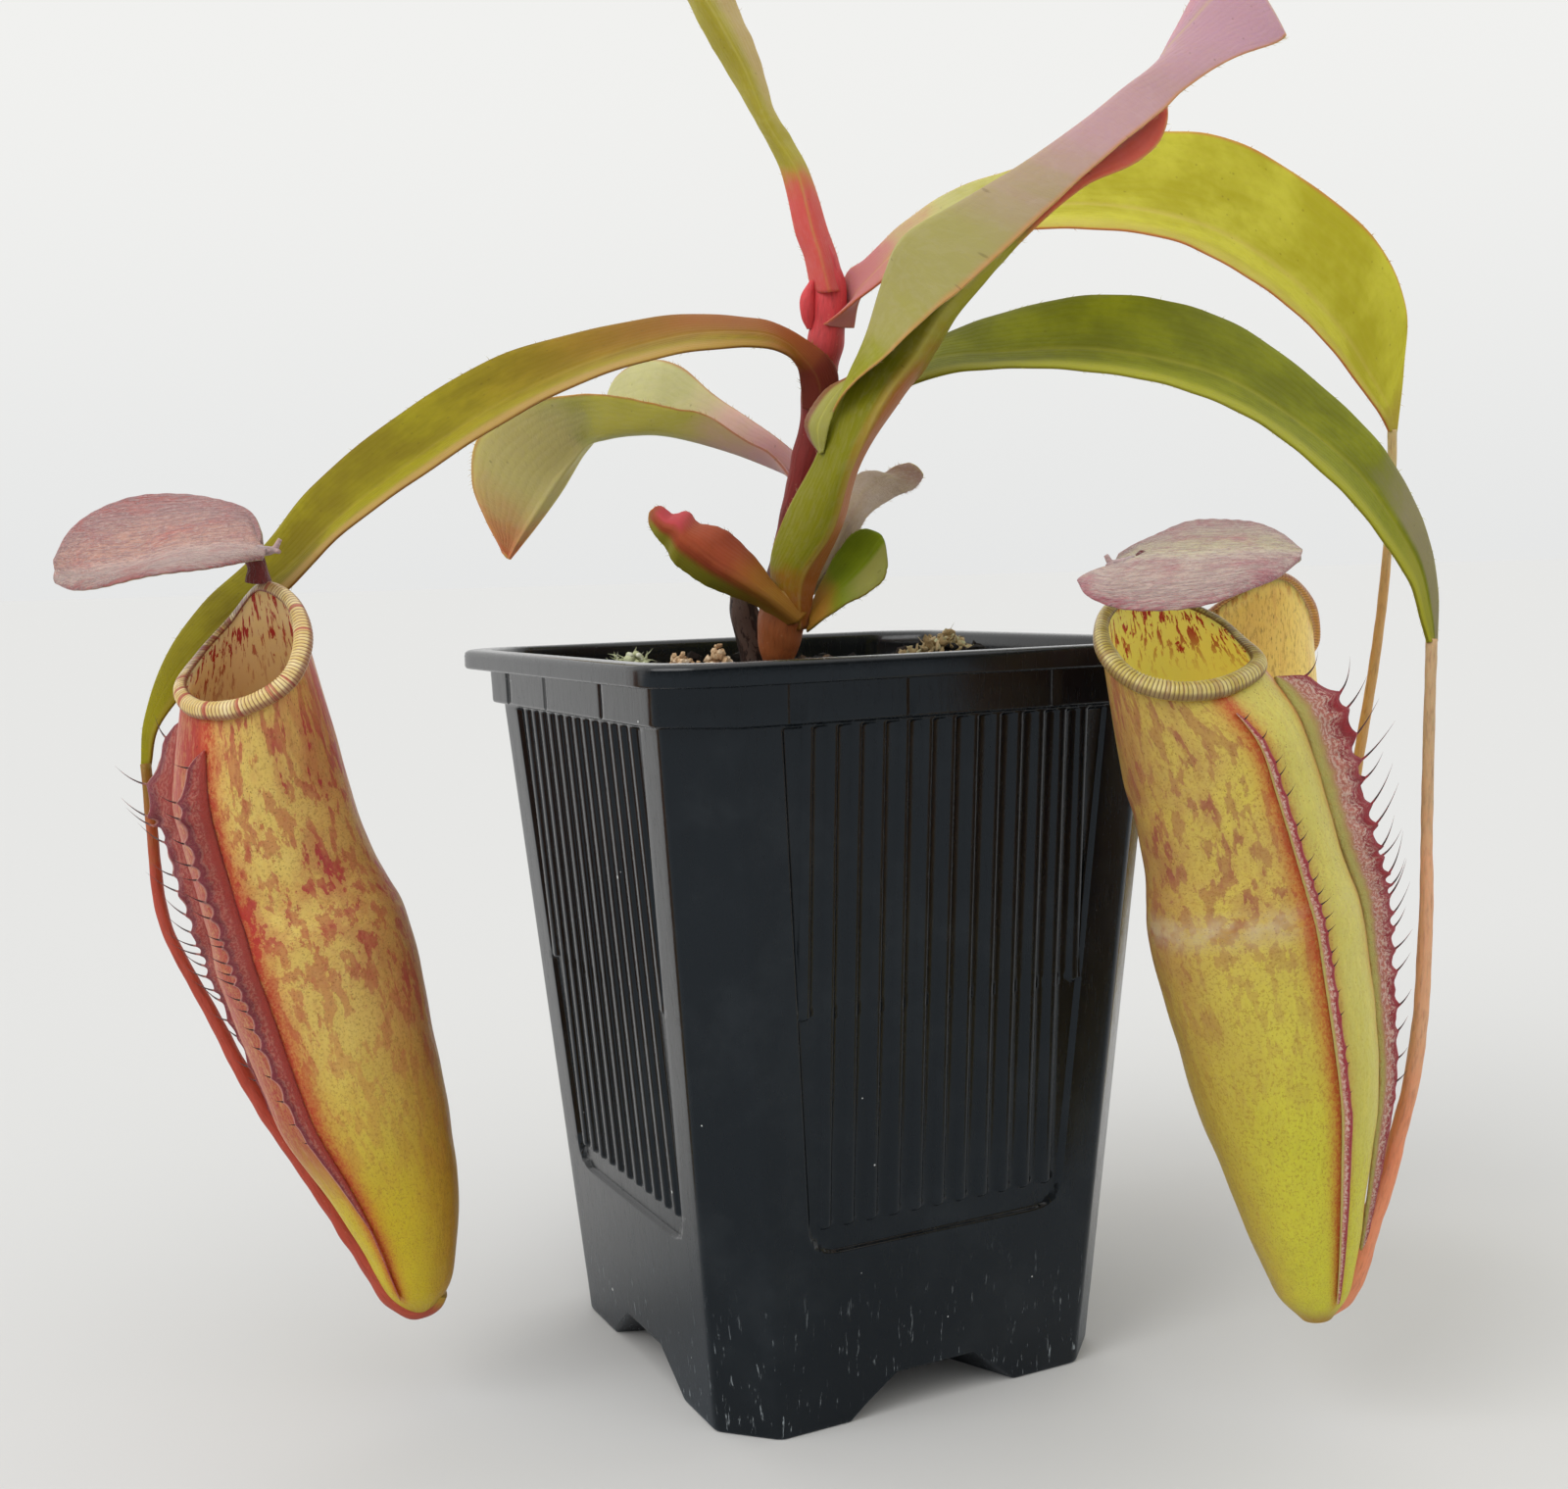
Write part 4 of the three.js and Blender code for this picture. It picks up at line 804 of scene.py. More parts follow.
@dataclass(frozen=True)
class WallFinish(Finish):
    """A pitcher's wall: dabbed and speckled outside, spotted inside, plainer towards its foot.

    cover is how much of it the dabs take, from the height cover_from up, and strong how dark they are.
    back is a painted shade: a darker colour on the side turned away from the pitcher's front.
    band is the strength of a pale ring above its middle, and glow that of a painted light on its inside:
    emission in its own colours that stands in for light let through the wall.
    """

    name: str
    ground: str
    shade: str
    foot: str
    blotch: str
    # painted shade: back darkens the side turned away from the pitcher's front
    back: str
    seam: str
    valley: str
    inside: str
    spot: str
    base: str
    cover: float = 0.4
    cover_from: float = 0.2
    strong: float = 0.8
    band: float = 0.0
    # strength of the painted light inside: emission standing in for light let through the wall
    glow: float = 0.1

    def lay(self, graph: Graph, effects: Effects) -> dict[str, object]:
        """Lays out the wall."""
        flow, rise = graph.flow(), graph.mark("rise")
        front, inner = graph.mark("front"), graph.mark("inner")
        long = graph.stretch(flow, (1.0, 1.0, 0.42))
        cloud = graph.noise(flow, 0.07, 4.0, 0.6)
        grit = graph.noise(flow, 2.4, 5.0, 0.75)
        colour = graph.mix(graph.ramp(cloud, 0.38, 0.66), paint(self.ground), paint(self.shade))
        colour = graph.over(
            colour, graph.ramp(rise, self.cover_from + 0.22, self.cover_from - 0.08), self.foot,
        )
        # painted shade: the side turned away from the pitcher's front goes towards the back colour
        colour = graph.over(colour, graph.ramp(front, 0.3, -0.95, 0.0, 0.55), self.back)
        reach = graph.ramp(rise, self.cover_from - 0.1, self.cover_from + 0.3, 0.1, 1.0)
        broad = graph.ramp(graph.noise(long, 0.2, 5.0, 0.7, 0.1), 0.42, 0.66)
        lowest = 0.625 - 0.25 * self.cover
        dabs = graph.ramp(graph.noise(long, 0.58, 4.0, 0.62, 0.15), lowest, lowest + 0.06)
        dabs = graph.times(dabs, graph.math("ADD", graph.times(broad, 0.5), 0.5))
        mottle = graph.math("MAXIMUM", dabs, graph.times(broad, 0.42))
        colour = graph.over(colour, graph.times(mottle, graph.times(reach, self.strong)), self.blotch)
        colour = graph.over(colour, graph.ramp(grit, 0.5, 0.62, 0.0, 0.42), "8a5a2c")
        if self.band:
            ring = graph.times(graph.ramp(rise, 0.62, 0.665), graph.ramp(rise, 0.72, 0.675))
            pale = graph.times(ring, graph.ramp(graph.noise(flow, 0.3, 5.0, 0.7), 0.3, 0.65))
            colour = graph.over(colour, graph.times(pale, self.band), "c4b492")
        furrow = graph.times(graph.mark("valley"), graph.ramp(grit, 0.62, 0.42, 0.6, 1.0))
        colour = graph.over(colour, furrow, self.valley)
        warts = graph.times(graph.mark("valley"), graph.ramp(graph.noise(long, 0.9, 4.0, 0.7), 0.52, 0.6))
        colour = graph.over(colour, graph.times(warts, 0.2), self.inside)
        rough = graph.ramp(grit, 0.35, 0.6, 0.6, 1.0)
        colour = graph.over(colour, graph.times(graph.mark("seam"), rough), self.seam)
        colour = graph.over(colour, graph.ramp(rise, 0.07, 0.0), self.base)
        dots = graph.effect(effects.speckles, Vector=flow, Scale=2.0, Size=0.26, Share=0.4)
        colour = graph.over(colour, graph.times(dots.outputs["Mask"], graph.times(reach, 0.5)), "4a2a14")
        round_flow = graph.stretch(flow, (1.0, 1.0, 2.0))
        spots = graph.effect(
            effects.blotches, Vector=round_flow, Scale=0.27, Cover=0.28, Edge=0.02,
        ).outputs["Mask"]
        rim = graph.effect(effects.blotches, Vector=flow, Scale=0.9, Cover=0.45, Edge=0.03).outputs["Mask"]
        spots = graph.math("MAXIMUM", spots, graph.times(rim, graph.ramp(rise, 0.95, 0.99)))
        within = graph.mix(spots, paint(self.inside), paint(self.spot))
        within = graph.mix(graph.ramp(rise, 0.8, 0.55), within, paint(self.foot))
        colour = graph.mix(inner, colour, within)
        grain = graph.noise(graph.stretch(flow, (1.0, 1.0, 0.3)), 1.4, 4.0, 0.6)
        normal = graph.bump(graph.noise(flow, 0.16, 3.0), 0.5)
        return {
            "Base Color": colour, "Roughness": 0.42, "Normal": graph.bump(grain, 0.08, normal),
            "Subsurface Weight": 0.85, "Subsurface Scale": 0.0016, "Subsurface Radius": (1.0, 0.8, 0.35),
            # painted light: the inside glows by emission in its own colours, standing in for light let
            # through the wall
            "Specular IOR Level": 0.2, "Emission Color": graph.mix(inner, paint("000000"), within),
            "Emission Strength": self.glow,
        }


@dataclass(frozen=True)
class LipFinish(Finish):
    """A pitcher's ribbed lip: pale ribs, crossed here and there by red stripes, with a dark line of painted
    shadow along its outer edge.
    """

    name: str
    ground: str
    pale: str
    stripe: str
    # line is the dark colour between the ribs, at the inner edge and in the spots, and of the painted shadow
    # along the outer edge
    line: str
    stripes: float = 0.5

    def lay(self, graph: Graph, effects: Effects) -> dict[str, object]:
        """Lays out the lip."""
        flow, out, rib = graph.flow(), graph.mark("out"), graph.mark("rib")
        cloud = graph.noise(flow, 0.35, 3.0)
        colour = graph.mix(graph.ramp(cloud, 0.4, 0.65), paint(self.ground), paint(self.pale))
        colour = graph.over(colour, graph.ramp(rib, 0.32, 0.05, 0.0, 0.75), self.line)
        bands = graph.noise(graph.stretch(flow, (1.0, 1.0, 0.05)), 0.75, 2.0, 0.5)
        colour = graph.over(colour, graph.ramp(bands, 0.57, 0.61, 0.0, self.stripes), self.stripe)
        # painted shadow: a dark line along the lip's outer edge
        colour = graph.over(colour, graph.ramp(out, 0.88, 1.0, 0.0, 0.7), self.line)
        colour = graph.over(colour, graph.ramp(out, 0.12, 0.0, 0.0, 0.8), self.line)
        spots = graph.effect(effects.blotches, Vector=flow, Scale=0.9, Cover=0.6, Edge=0.04).outputs["Mask"]
        colour = graph.over(colour, graph.times(graph.mark("slim"), graph.times(spots, 0.9)), self.line)
        return {
            "Base Color": colour, "Roughness": 0.32, "Subsurface Weight": 0.25, "Subsurface Scale": 0.001,
            "Subsurface Radius": (1.0, 0.8, 0.4), "Coat Weight": 0.15, "Coat Roughness": 0.2,
            "Normal": graph.bump(graph.noise(flow, 1.5), 0.05),
        }


@dataclass(frozen=True)
class WingFinish(Finish):
    """A pitcher's wing: orange-red at its root, mottled pale in the middle, crimson at its fringe."""

    name: str
    root: str
    middle: str
    pale: str
    edge: str
    trim: str
    hair: str = "33201f"
    mottle: float = 0.5
    edge_from: float = 0.5
    trim_share: float = 0.7

    def lay(self, graph: Graph, effects: Effects) -> dict[str, object]:
        """Lays out the wing."""
        flow, out, hair = graph.flow(), graph.mark("out"), graph.mark("hair")
        colour = graph.mix(graph.ramp(out, 0.05, 0.4), paint(self.root), paint(self.middle))
        rough = graph.noise(flow, 2.2, 4.0, 0.7)
        inside = graph.times(graph.ramp(out, 0.2, 0.35), graph.ramp(out, 0.9, 0.6))
        pale = graph.times(graph.ramp(rough, 0.46, 0.56), inside)
        wander = graph.sway(out, rough, 0.5)
        colour = graph.over(colour, graph.ramp(wander, self.edge_from, self.edge_from + 0.12), self.edge)
        colour = graph.over(colour, graph.times(pale, self.mottle), self.pale)
        colour = graph.over(colour, graph.ramp(out, 0.9, 0.97, 0.0, self.trim_share), self.trim)
        colour = graph.over(colour, graph.ramp(hair, 0.0, 0.22), self.hair)
        return {
            "Base Color": colour, "Roughness": 0.5, "Normal": graph.bump(rough, 0.9),
            "Subsurface Weight": 0.3, "Subsurface Scale": 0.001, "Sheen Weight": 0.1,
        }


@dataclass(frozen=True)
class LidFinish(Finish):
    """A pitcher's lid: felted, dusty pink, paler along its keel, with a thin painted highlight on its crease
    and fine streaks.

    heart lies along the keel, near on the half towards the photo's camera, and flush in patches.
    """

    name: str
    ground: str
    heart: str
    near: str
    margin: str
    flush: str
    under: str
    neck: str = "6e1f1c"

    def lay(self, graph: Graph, effects: Effects) -> dict[str, object]:
        """Lays out the lid."""
        flow, across = graph.flow(), graph.mark("across")
        side, neck = graph.mark("side"), graph.mark("neck")
        away = graph.math("ABSOLUTE", across)
        cloud = graph.noise(flow, 0.14, 4.0, 0.65)
        felt = graph.effect(effects.felt, Vector=flow, Scale=1.7)
        edge = graph.sway(away, cloud, 0.9)
        colour = graph.mix(graph.ramp(edge, 0.25, 0.75), paint(self.heart), paint(self.ground))
        bent = graph.sway(across, cloud, 0.3)
        colour = graph.over(colour, graph.ramp(bent, 0.02, 0.16, 0.0, 0.85), self.near)
        colour = graph.over(colour, graph.ramp(edge, 0.8, 1.05), self.margin)
        colour = graph.over(colour, graph.ramp(cloud, 0.48, 0.68, 0.0, 0.75), self.flush)
        colour = graph.over(colour, graph.times(felt.outputs["Streaks"], 0.5), "8d5a60")
        colour = graph.over(colour, graph.ramp(felt.outputs["Height"], 0.48, 0.7, 0.0, 0.4), "d0bab2")
        # painted highlight: a thin pale line on the crease along the keel
        painted_crease_highlight = graph.times(graph.ramp(bent, -0.15, 0.0), graph.ramp(bent, 0.2, 0.03))
        colour = graph.over(colour, graph.times(painted_crease_highlight, 0.2), "d8c8c0")
        grit = graph.noise(flow, 1.3, 5.0, 0.75)
        colour = graph.over(colour, graph.ramp(grit, 0.48, 0.62, 0.0, 0.55), self.margin)
        blush = graph.times(graph.ramp(edge, 0.55, 1.0), graph.ramp(grit, 0.42, 0.6))
        colour = graph.over(colour, graph.times(blush, 0.55), self.flush)
        colour = graph.over(colour, graph.ramp(side, 0.5, 0.1), self.under)
        colour = graph.over(colour, neck, self.neck)
        colour = graph.over(colour, graph.mark("spur"), "b79a98")
        fine = graph.bump(felt.outputs["Height"], 0.3)
        return {
            "Base Color": colour, "Roughness": 0.75,
            "Normal": graph.bump(felt.outputs["Streaks"], 0.15, fine),
            "Subsurface Weight": 0.12, "Subsurface Scale": 0.001, "Sheen Weight": 0.35,
            "Sheen Roughness": 0.4,
        }


# ---- pot -------------------------------------------------------------------------------------------


UNDERSIDE_SHARES = (0.02, 0.1, 0.13, 0.17, 0.25, 0.35, 0.46, 0.5, 0.52, 0.6, 0.7, 0.78, 0.81, 0.83, 0.9, 0.96)
WALL_HEIGHTS = np.concatenate([
    [8, 10, 13, 17, 21, 24, 25.6], np.arange(26.0, 27.0, 0.15), [27.5, 28.2, 29.0],
    np.arange(29.5, 30.9, 0.17),
    [31.5, 33, 36, 40, 45, 50, 55, 58.5], np.arange(59.8, 61.3, 0.18),
    [62, 65, 70, 75, 80, 85, 90, 95, 98.5, 99.8, 100.0, 100.15, 100.3, 100.45],
])
# half width, height and arc of each ring, from the wall's top over the band and the rim to the inner wall;
# all these rings keep the places across a face that the wall has at COLUMNS_TOP
BAND_RINGS = (
    (40.25, 100.7, 0.2), (41.3, 100.85, 0.25), (41.6, 101.0, 0.3), (41.7, 101.35, 0.3), (41.75, 103.5, 0.3),
    (41.85, 106.0, 0.3),
)
RIM_RINGS = (
    (41.95, 106.2, 0.5), (44.4, 106.3, 0.8), (44.8, 106.4, 0.8), (45.0, 106.75, 0.8), (45.0, 108.5, 0.8),
    (44.9, 108.95, 0.8), (44.6, 109.25, 0.8), (44.2, 109.38, 0.8), (43.0, 109.4, 0.75), (41.7, 109.35, 0.7),
    (41.2, 109.1, 0.7), (40.9, 108.6, 0.6), (40.5, 107.0, 0.5), (40.4, 101.3, 0.4), (38.6, 99.4, 0.2),
)
INNER_MIDDLE = 80.0
COLUMNS_TOP = 100.0


@dataclass
class NurseryPot:
    """The ribbed square pot, as one skin from the middle of its underside over its rim to its floor."""

    height: float = 109.4
    band_low: float = 100.9
    top_half: float = 40.2
    foot_half: float = 31.9
    wall: float = 1.4
    floor: float = 7.5
    panel_top_half: float = 25.8
    panel_foot_half: float = 20.6
    panel_foot: float = 26.3
    panel_corner: float = 4.0
    panel_depth: float = 0.7
    ribs: int = 13
    rib_pitch: float = 3.67
    rib_half: float = 0.95
    rib_proud: float = 0.66
    rib_foot: float = 29.6
    outer_rib_foot: float = 60.0
    notch_foot_half: float = 14.8
    notch_top_half: float = 6.8
    notch_height: float = 5.9
    seams: tuple[float, ...] = (-25.3, -7.34, 15.73)
    seam_depth: float = 0.35
    seam_half: float = 0.3
    foot_bevel: float = 7.3
    bevel_growth: float = 0.8
    rim_bevel: float = 8.4
    floor_bevel: float = 6.8
    wall_arc: float = 0.15

    def half_at(self, z: Array | float) -> Array | float:
        """Half width of the tapered wall at a height."""
        return self.foot_half + (self.top_half - self.foot_half) * z / self.band_low

    def panel_edge(self, z: Array | float) -> Array | float:
        """Half width of the sunken panel at a height: straight sides, a quarter circle at its foot."""
        top = self.band_low - 0.6
        share = np.clip((z - self.panel_foot) / (top - self.panel_foot), 0.0, 1.0)
        straight = self.panel_foot_half + (self.panel_top_half - self.panel_foot_half) * share
        drop = np.clip((self.panel_foot + self.panel_corner - z) / self.panel_corner, 0.0, 1.0)
        return straight - self.panel_corner * (1 - np.sqrt(1 - drop**2))

    def columns(self, z: float, straight: float) -> Array:
        """Places across one face: rib flanks, gaps between ribs, the panel's edge and the rest.

        Args:
            z: Height that sets where the panel's edge is.
            straight: Half length of the face's straight part.

        Returns:
            Places from left to right in mm.
        """
        middle = (self.ribs - 1) // 2
        flanks = np.array([-1.1, -0.9, -0.6, 0.0, 0.6, 0.9, 1.1])
        right = [flanks[3:]]
        for k in range(1, middle + 1):
            right.append(np.array([(k - 0.5) * self.rib_pitch]))
            right.append(k * self.rib_pitch + flanks)
        ribs = np.concatenate(right)
        edge = min(float(self.panel_edge(max(z, self.panel_foot + self.panel_corner))), straight - 1.5)
        borders = edge + np.array([-0.5, -0.2, 0.1, 0.4])
        room = borders[0] - 0.03 * np.arange(len(ribs), 0, -1)
        ribs = np.minimum(ribs, room)
        rest = np.linspace(borders[-1], straight, 5)[1:]
        half = np.concatenate([ribs, borders, rest])
        return np.concatenate([-half[:0:-1], half])

    def outline(self, z: float, half: float, corner: float, arc: float, fillet: float = 0.5) -> Array:
        """One ring: four faces and four corners, each between a filleted bevel and an arc.

        Args:
            z: Height that sets the places across a face.
            half: Half width of the square.
            corner: Size of the bevel.
            arc: 0 for the bevel, 1 for the arc.
            fillet: How far the bevel's two edges are rounded.

        Returns:
            Points of the ring as x and y.
        """
        radius = corner + fillet
        straight = half - radius
        x = self.columns(z, straight)
        face = np.stack([x, np.full_like(x, -half)], -1)
        start, end = np.array([straight, -half]), np.array([half, -straight])
        first, second = np.array([half - corner, -half]), np.array([half, corner - half])
        step = fillet * math.sqrt(0.5)
        after, before = first + [step, step], second - [step, step]
        t = np.array([1 / 3, 2 / 3])[:, None]

        def bend(a: Array, b: Array, c: Array) -> Array:
            """A parabola from a to c that aims at b."""
            return (1 - t) ** 2 * a + 2 * t * (1 - t) * b + t**2 * c

        bevel = np.concatenate(
            [bend(start, first, after), [after, (after + before) / 2, before], bend(before, second, end)]
        )
        angle = np.linspace(0, math.pi / 2, 9)[1:-1]
        curve = np.stack([straight + radius * np.sin(angle), -straight - radius * np.cos(angle)], -1)
        side = np.concatenate([face, bevel * (1 - arc) + curve * arc])
        turns = [np.linalg.matrix_power(np.array([[0, 1], [-1, 0]]), k) for k in range(4)]
        return np.concatenate([side @ turn for turn in turns])

    def notch(self, xy: Array) -> Array:
        """Height of the underside: four wedges cut in from the sides leave an X of ridges.

        Args:
            xy: Places under the pot.

        Returns:
            How high the underside is over the ground at each place.
        """
        near = np.abs(xy).min(axis=-1)
        far = np.abs(xy).max(axis=-1)
        share = np.clip((far - 4.0) / (self.foot_half - 2.0), 0.0, 1.2)
        wide = 1.6 + (self.notch_foot_half - 1.6) * share
        narrow = 1.0 + (self.notch_top_half - 1.0) * share
        rise = np.clip((wide - near) / (wide - narrow), 0.0, 1.0) * ease(far, 3.0, 6.0)
        slot = ease(1.9 - near, 0.0, 0.3) * ease(far, 16.0, 16.6) * ease(-far, -26.0, -25.4)
        return rise * self.notch_height + slot * 1.3

    def relief(self, across: Array, z: Array) -> Array:
        """How far the wall stands out: the panel is sunk, and each rib's crest is a fourth-power arch.

        Args:
            across: Places across the face.
            z: Their heights.

        Returns:
            Distance outwards, less than 0 in the panel.
        """
        inside = ease(self.panel_edge(z) - np.abs(across), -0.2, 0.25)
        inside = inside * ease(z, self.panel_foot - 0.2, self.panel_foot + 0.25)
        inside = inside * ease(-z, 0.45 - self.band_low, 0.85 - self.band_low)
        number = np.clip(np.round(across / self.rib_pitch), -6, 6)
        off = np.abs(across - number * self.rib_pitch)
        foot = np.where(np.abs(number) > 5.5, self.outer_rib_foot, self.rib_foot)
        half = np.clip(0.25 + z - foot, 0.05, self.rib_half)
        crest = np.sqrt(np.clip(1 - (off / half) ** 4, 0.0, 1.0)) * ease(z - foot, 0.0, 0.5)
        return inside * (crest * self.rib_proud - self.panel_depth)

    def rings(self) -> Array:
        """All rings of the skin in order."""
        rows: list[Array] = []

        def ring(xy: Array, z: Array | float) -> None:
            """Adds a ring at a height."""
            rows.append(np.column_stack([xy, np.broadcast_to(z, len(xy))]))

        foot = self.outline(0.0, self.foot_half, self.foot_bevel, self.wall_arc)
        for share in UNDERSIDE_SHARES:
            ring(foot * share, self.notch(foot * share))
        edge = self.notch(foot)
        ring(foot * 0.985, edge)
        for inset, lift in ((0.25, 0.04), (0.08, 0.18)):
            ring(foot * (1 - inset / self.foot_half), edge + lift)
        for t in (0.06, 0.14, 0.3, 0.55, 0.8):
            z = edge + (WALL_HEIGHTS[0] - edge) * t
            grow = self.half_at(z) / self.foot_half
            ring(foot * grow[:, None], z)
        for z in WALL_HEIGHTS:
            half = float(self.half_at(z))
            xy = self.outline(
                float(z), half, self.foot_bevel + self.bevel_growth * z / self.band_low, self.wall_arc,
            )
            nearest = np.abs(xy).argmax(axis=1)
            rows_here = np.arange(len(xy))
            flat = np.abs(np.abs(xy[rows_here, nearest]) - half) < 1e-6
            side = np.where(nearest == 1, -np.sign(xy[rows_here, 1]), np.sign(xy[rows_here, 0]))
            across = xy[rows_here, 1 - nearest] * side
            out = np.where(flat, self.relief(across, np.full(len(xy), z)), 0.0)
            xy[rows_here, nearest] += np.sign(xy[rows_here, nearest]) * out
            ring(xy, z)
        for half, z, arc in BAND_RINGS:
            xy = self.outline(COLUMNS_TOP, half, self.rim_bevel, arc)
            ring(self.cut_seams(xy, half) if z > self.band_low + 0.1 else xy, z)
        for half, z, arc in RIM_RINGS:
            ring(self.outline(COLUMNS_TOP, half, self.rim_bevel, arc), z)
        inner = float(self.half_at(INNER_MIDDLE)) - self.wall
        ring(self.outline(COLUMNS_TOP, inner, self.rim_bevel, self.wall_arc), INNER_MIDDLE)
        inner = float(self.half_at(self.floor)) - self.wall
        ring(self.outline(0.0, inner, self.floor_bevel, self.wall_arc), self.floor)
        ring(foot * 0.03, self.floor)
        return np.stack(rows)

    def cut_seams(self, xy: Array, half: float) -> Array:
        """Presses thin upright seams into the band: a bell curve across each.

        Args:
            xy: Points of one ring.
            half: Half width of the band there.

        Returns:
            The ring with its seams.
        """
        out = xy.copy()
        for axis in (0, 1):
            on = np.abs(np.abs(xy[:, axis]) - half) < 1e-6
            across = xy[:, 1 - axis] * (np.sign(xy[:, axis]) if axis == 0 else -np.sign(xy[:, axis]))
            depth = sum(
                self.seam_depth * np.exp(-(((across - seam) / self.seam_half) ** 2)) for seam in self.seams
            )
            out[:, axis] -= np.where(on, np.sign(xy[:, axis]) * depth, 0.0)
        return out

    def build(self, effects: Effects) -> None:
        """Makes the pot."""
        piece = make_piece(
            "plastic_pot", [tube_skin(self.rings())], PotFinish().build(effects), ["pot"],
            Turn.POT,
        )
        shade = piece.modifiers.new("even_shading", "WEIGHTED_NORMAL")
        shade.weight = 60


@dataclass
class PottingSurface:
    """The potting mix in the pot, its loose crumbs and the two cushions of moss on it."""

    level: float = 104.0
    mounds: tuple[tuple[float, float, float, float], ...] = (
        (-23, -3, 3.2, 9), (-34, -1, 2.4, 7), (28, 6, 3, 10), (6, 24, 1.6, 12), (10, -22, 1.2, 10))
    half_top: float = 38.0
    half_foot: float = 30.8

    def height(self, x: Array, y: Array) -> Array:
        """Height of the mix: ripples on a level, and a bell-shaped mound at each place."""
        z = self.level + 0.5 * np.sin(0.9 * x + 0.4) * np.cos(0.7 * y) + 0.4 * np.sin(0.37 * x - 0.61 * y)
        for mx, my, rise, radius in self.mounds:
            z = z + rise * np.exp(-((x - mx) ** 2 + (y - my) ** 2) / radius**2)
        return z

    def block(self) -> Skin:
        """The mix as one closed body: rings up its side, then inwards over its bumpy top."""
        angle = np.linspace(0, 2 * math.pi, 160, endpoint=False)
        power = 14.0
        reach = (np.abs(np.cos(angle)) ** power + np.abs(np.sin(angle)) ** power) ** (-1 / power)
        reach = np.minimum(reach, 1.30)
        outline = np.stack([np.cos(angle) * reach, np.sin(angle) * reach], -1)
        rows = [
            np.column_stack([outline * self.half_foot, np.full(160, 7.9)]),
            np.column_stack([outline * self.half_top, np.full(160, 96.0)]),
        ]
        for share in np.linspace(1.0, 0.02, 44):
            xy = outline * self.half_top * share
            z = self.height(xy[:, 0], xy[:, 1]) + 0.45 * swirl(xy, 2.3, 5) + 0.25 * swirl(xy, 1.1, 8)
            rows.append(np.column_stack([xy, z - (1.0 if share > 0.98 else 0.0)]))
        rings = np.stack(rows)
        return tube_skin(rings, {"shade": 0.25 + 0.2 * swirl(rings, 6.0, 3)})

    def loose(self, count: int, seed: int) -> tuple[Array, Array]:
        """Loose chips over the whole top: count of them, drawn by seed, as places and half lengths."""
        source = np.random.default_rng(seed)
        xy = source.uniform(-36, 36, size=(count, 2))
        sizes = source.uniform(0.5, 1.9, size=(count, 1)) * source.uniform(0.4, 1.0, size=(count, 3))
        return np.column_stack([xy, self.height(xy[:, 0], xy[:, 1]) + 0.3 * sizes[:, 0]]), sizes

    def heap(
        self, centre: tuple[float, float], spread: float, count: int, size: float, tall: float, seed: int,
    ) -> tuple[Array, Array]:
        """Crumbs heaped round a place.

        Args:
            centre: The heap's middle.
            spread: How far it reaches.
            count: How many crumbs.
            size: Their middle half length in mm.
            tall: Height of the heap's middle.
            seed: Seed of their places and sizes.

        Returns:
            Their places, and their half lengths along three axes.
        """
        source = np.random.default_rng(seed)
        off = source.normal(size=(count, 2)) * spread
        xy = np.array(centre) + off
        stack = np.exp(-((off / spread) ** 2).sum(axis=1) / 2)
        z = self.height(xy[:, 0], xy[:, 1]) + source.uniform(0.0, tall, count) * stack
        sizes = size * source.uniform(0.6, 1.2, size=(count, 1)) * source.uniform(0.7, 1.1, size=(count, 3))
        return np.column_stack([xy, z]), sizes

    def strands(
        self, centre: tuple[float, float], spread: float, count: int, length: float, seed: int,
    ) -> Skin:
        """Moss: curved tapering strands that rise and lean out from a cushion's middle.

        Args:
            centre: The cushion's middle.
            spread: How far its strands' roots reach.
            count: How many strands.
            length: Their middle length in mm.
            seed: Seed of their places and leans.

        Returns:
            One skin of all the strands.
        """
        source = np.random.default_rng(seed)
        off = source.normal(size=(count, 2)) * spread * 0.55
        xy = np.array(centre) + off
        roots = np.column_stack([xy, self.height(xy[:, 0], xy[:, 1]) + source.uniform(-0.4, 1.8, count)])
        lean = np.column_stack([off / spread, source.uniform(0.1, 1.0, count)])
        lean = lean + source.normal(size=(count, 3)) * 0.45
        curls = source.normal(size=(count, 3)) * 0.4 + [0, 0, -0.15]
        return bristles(
            roots, unit(lean), curls, length * source.uniform(0.5, 1.3, count),
            source.uniform(0.14, 0.34, count),
        )

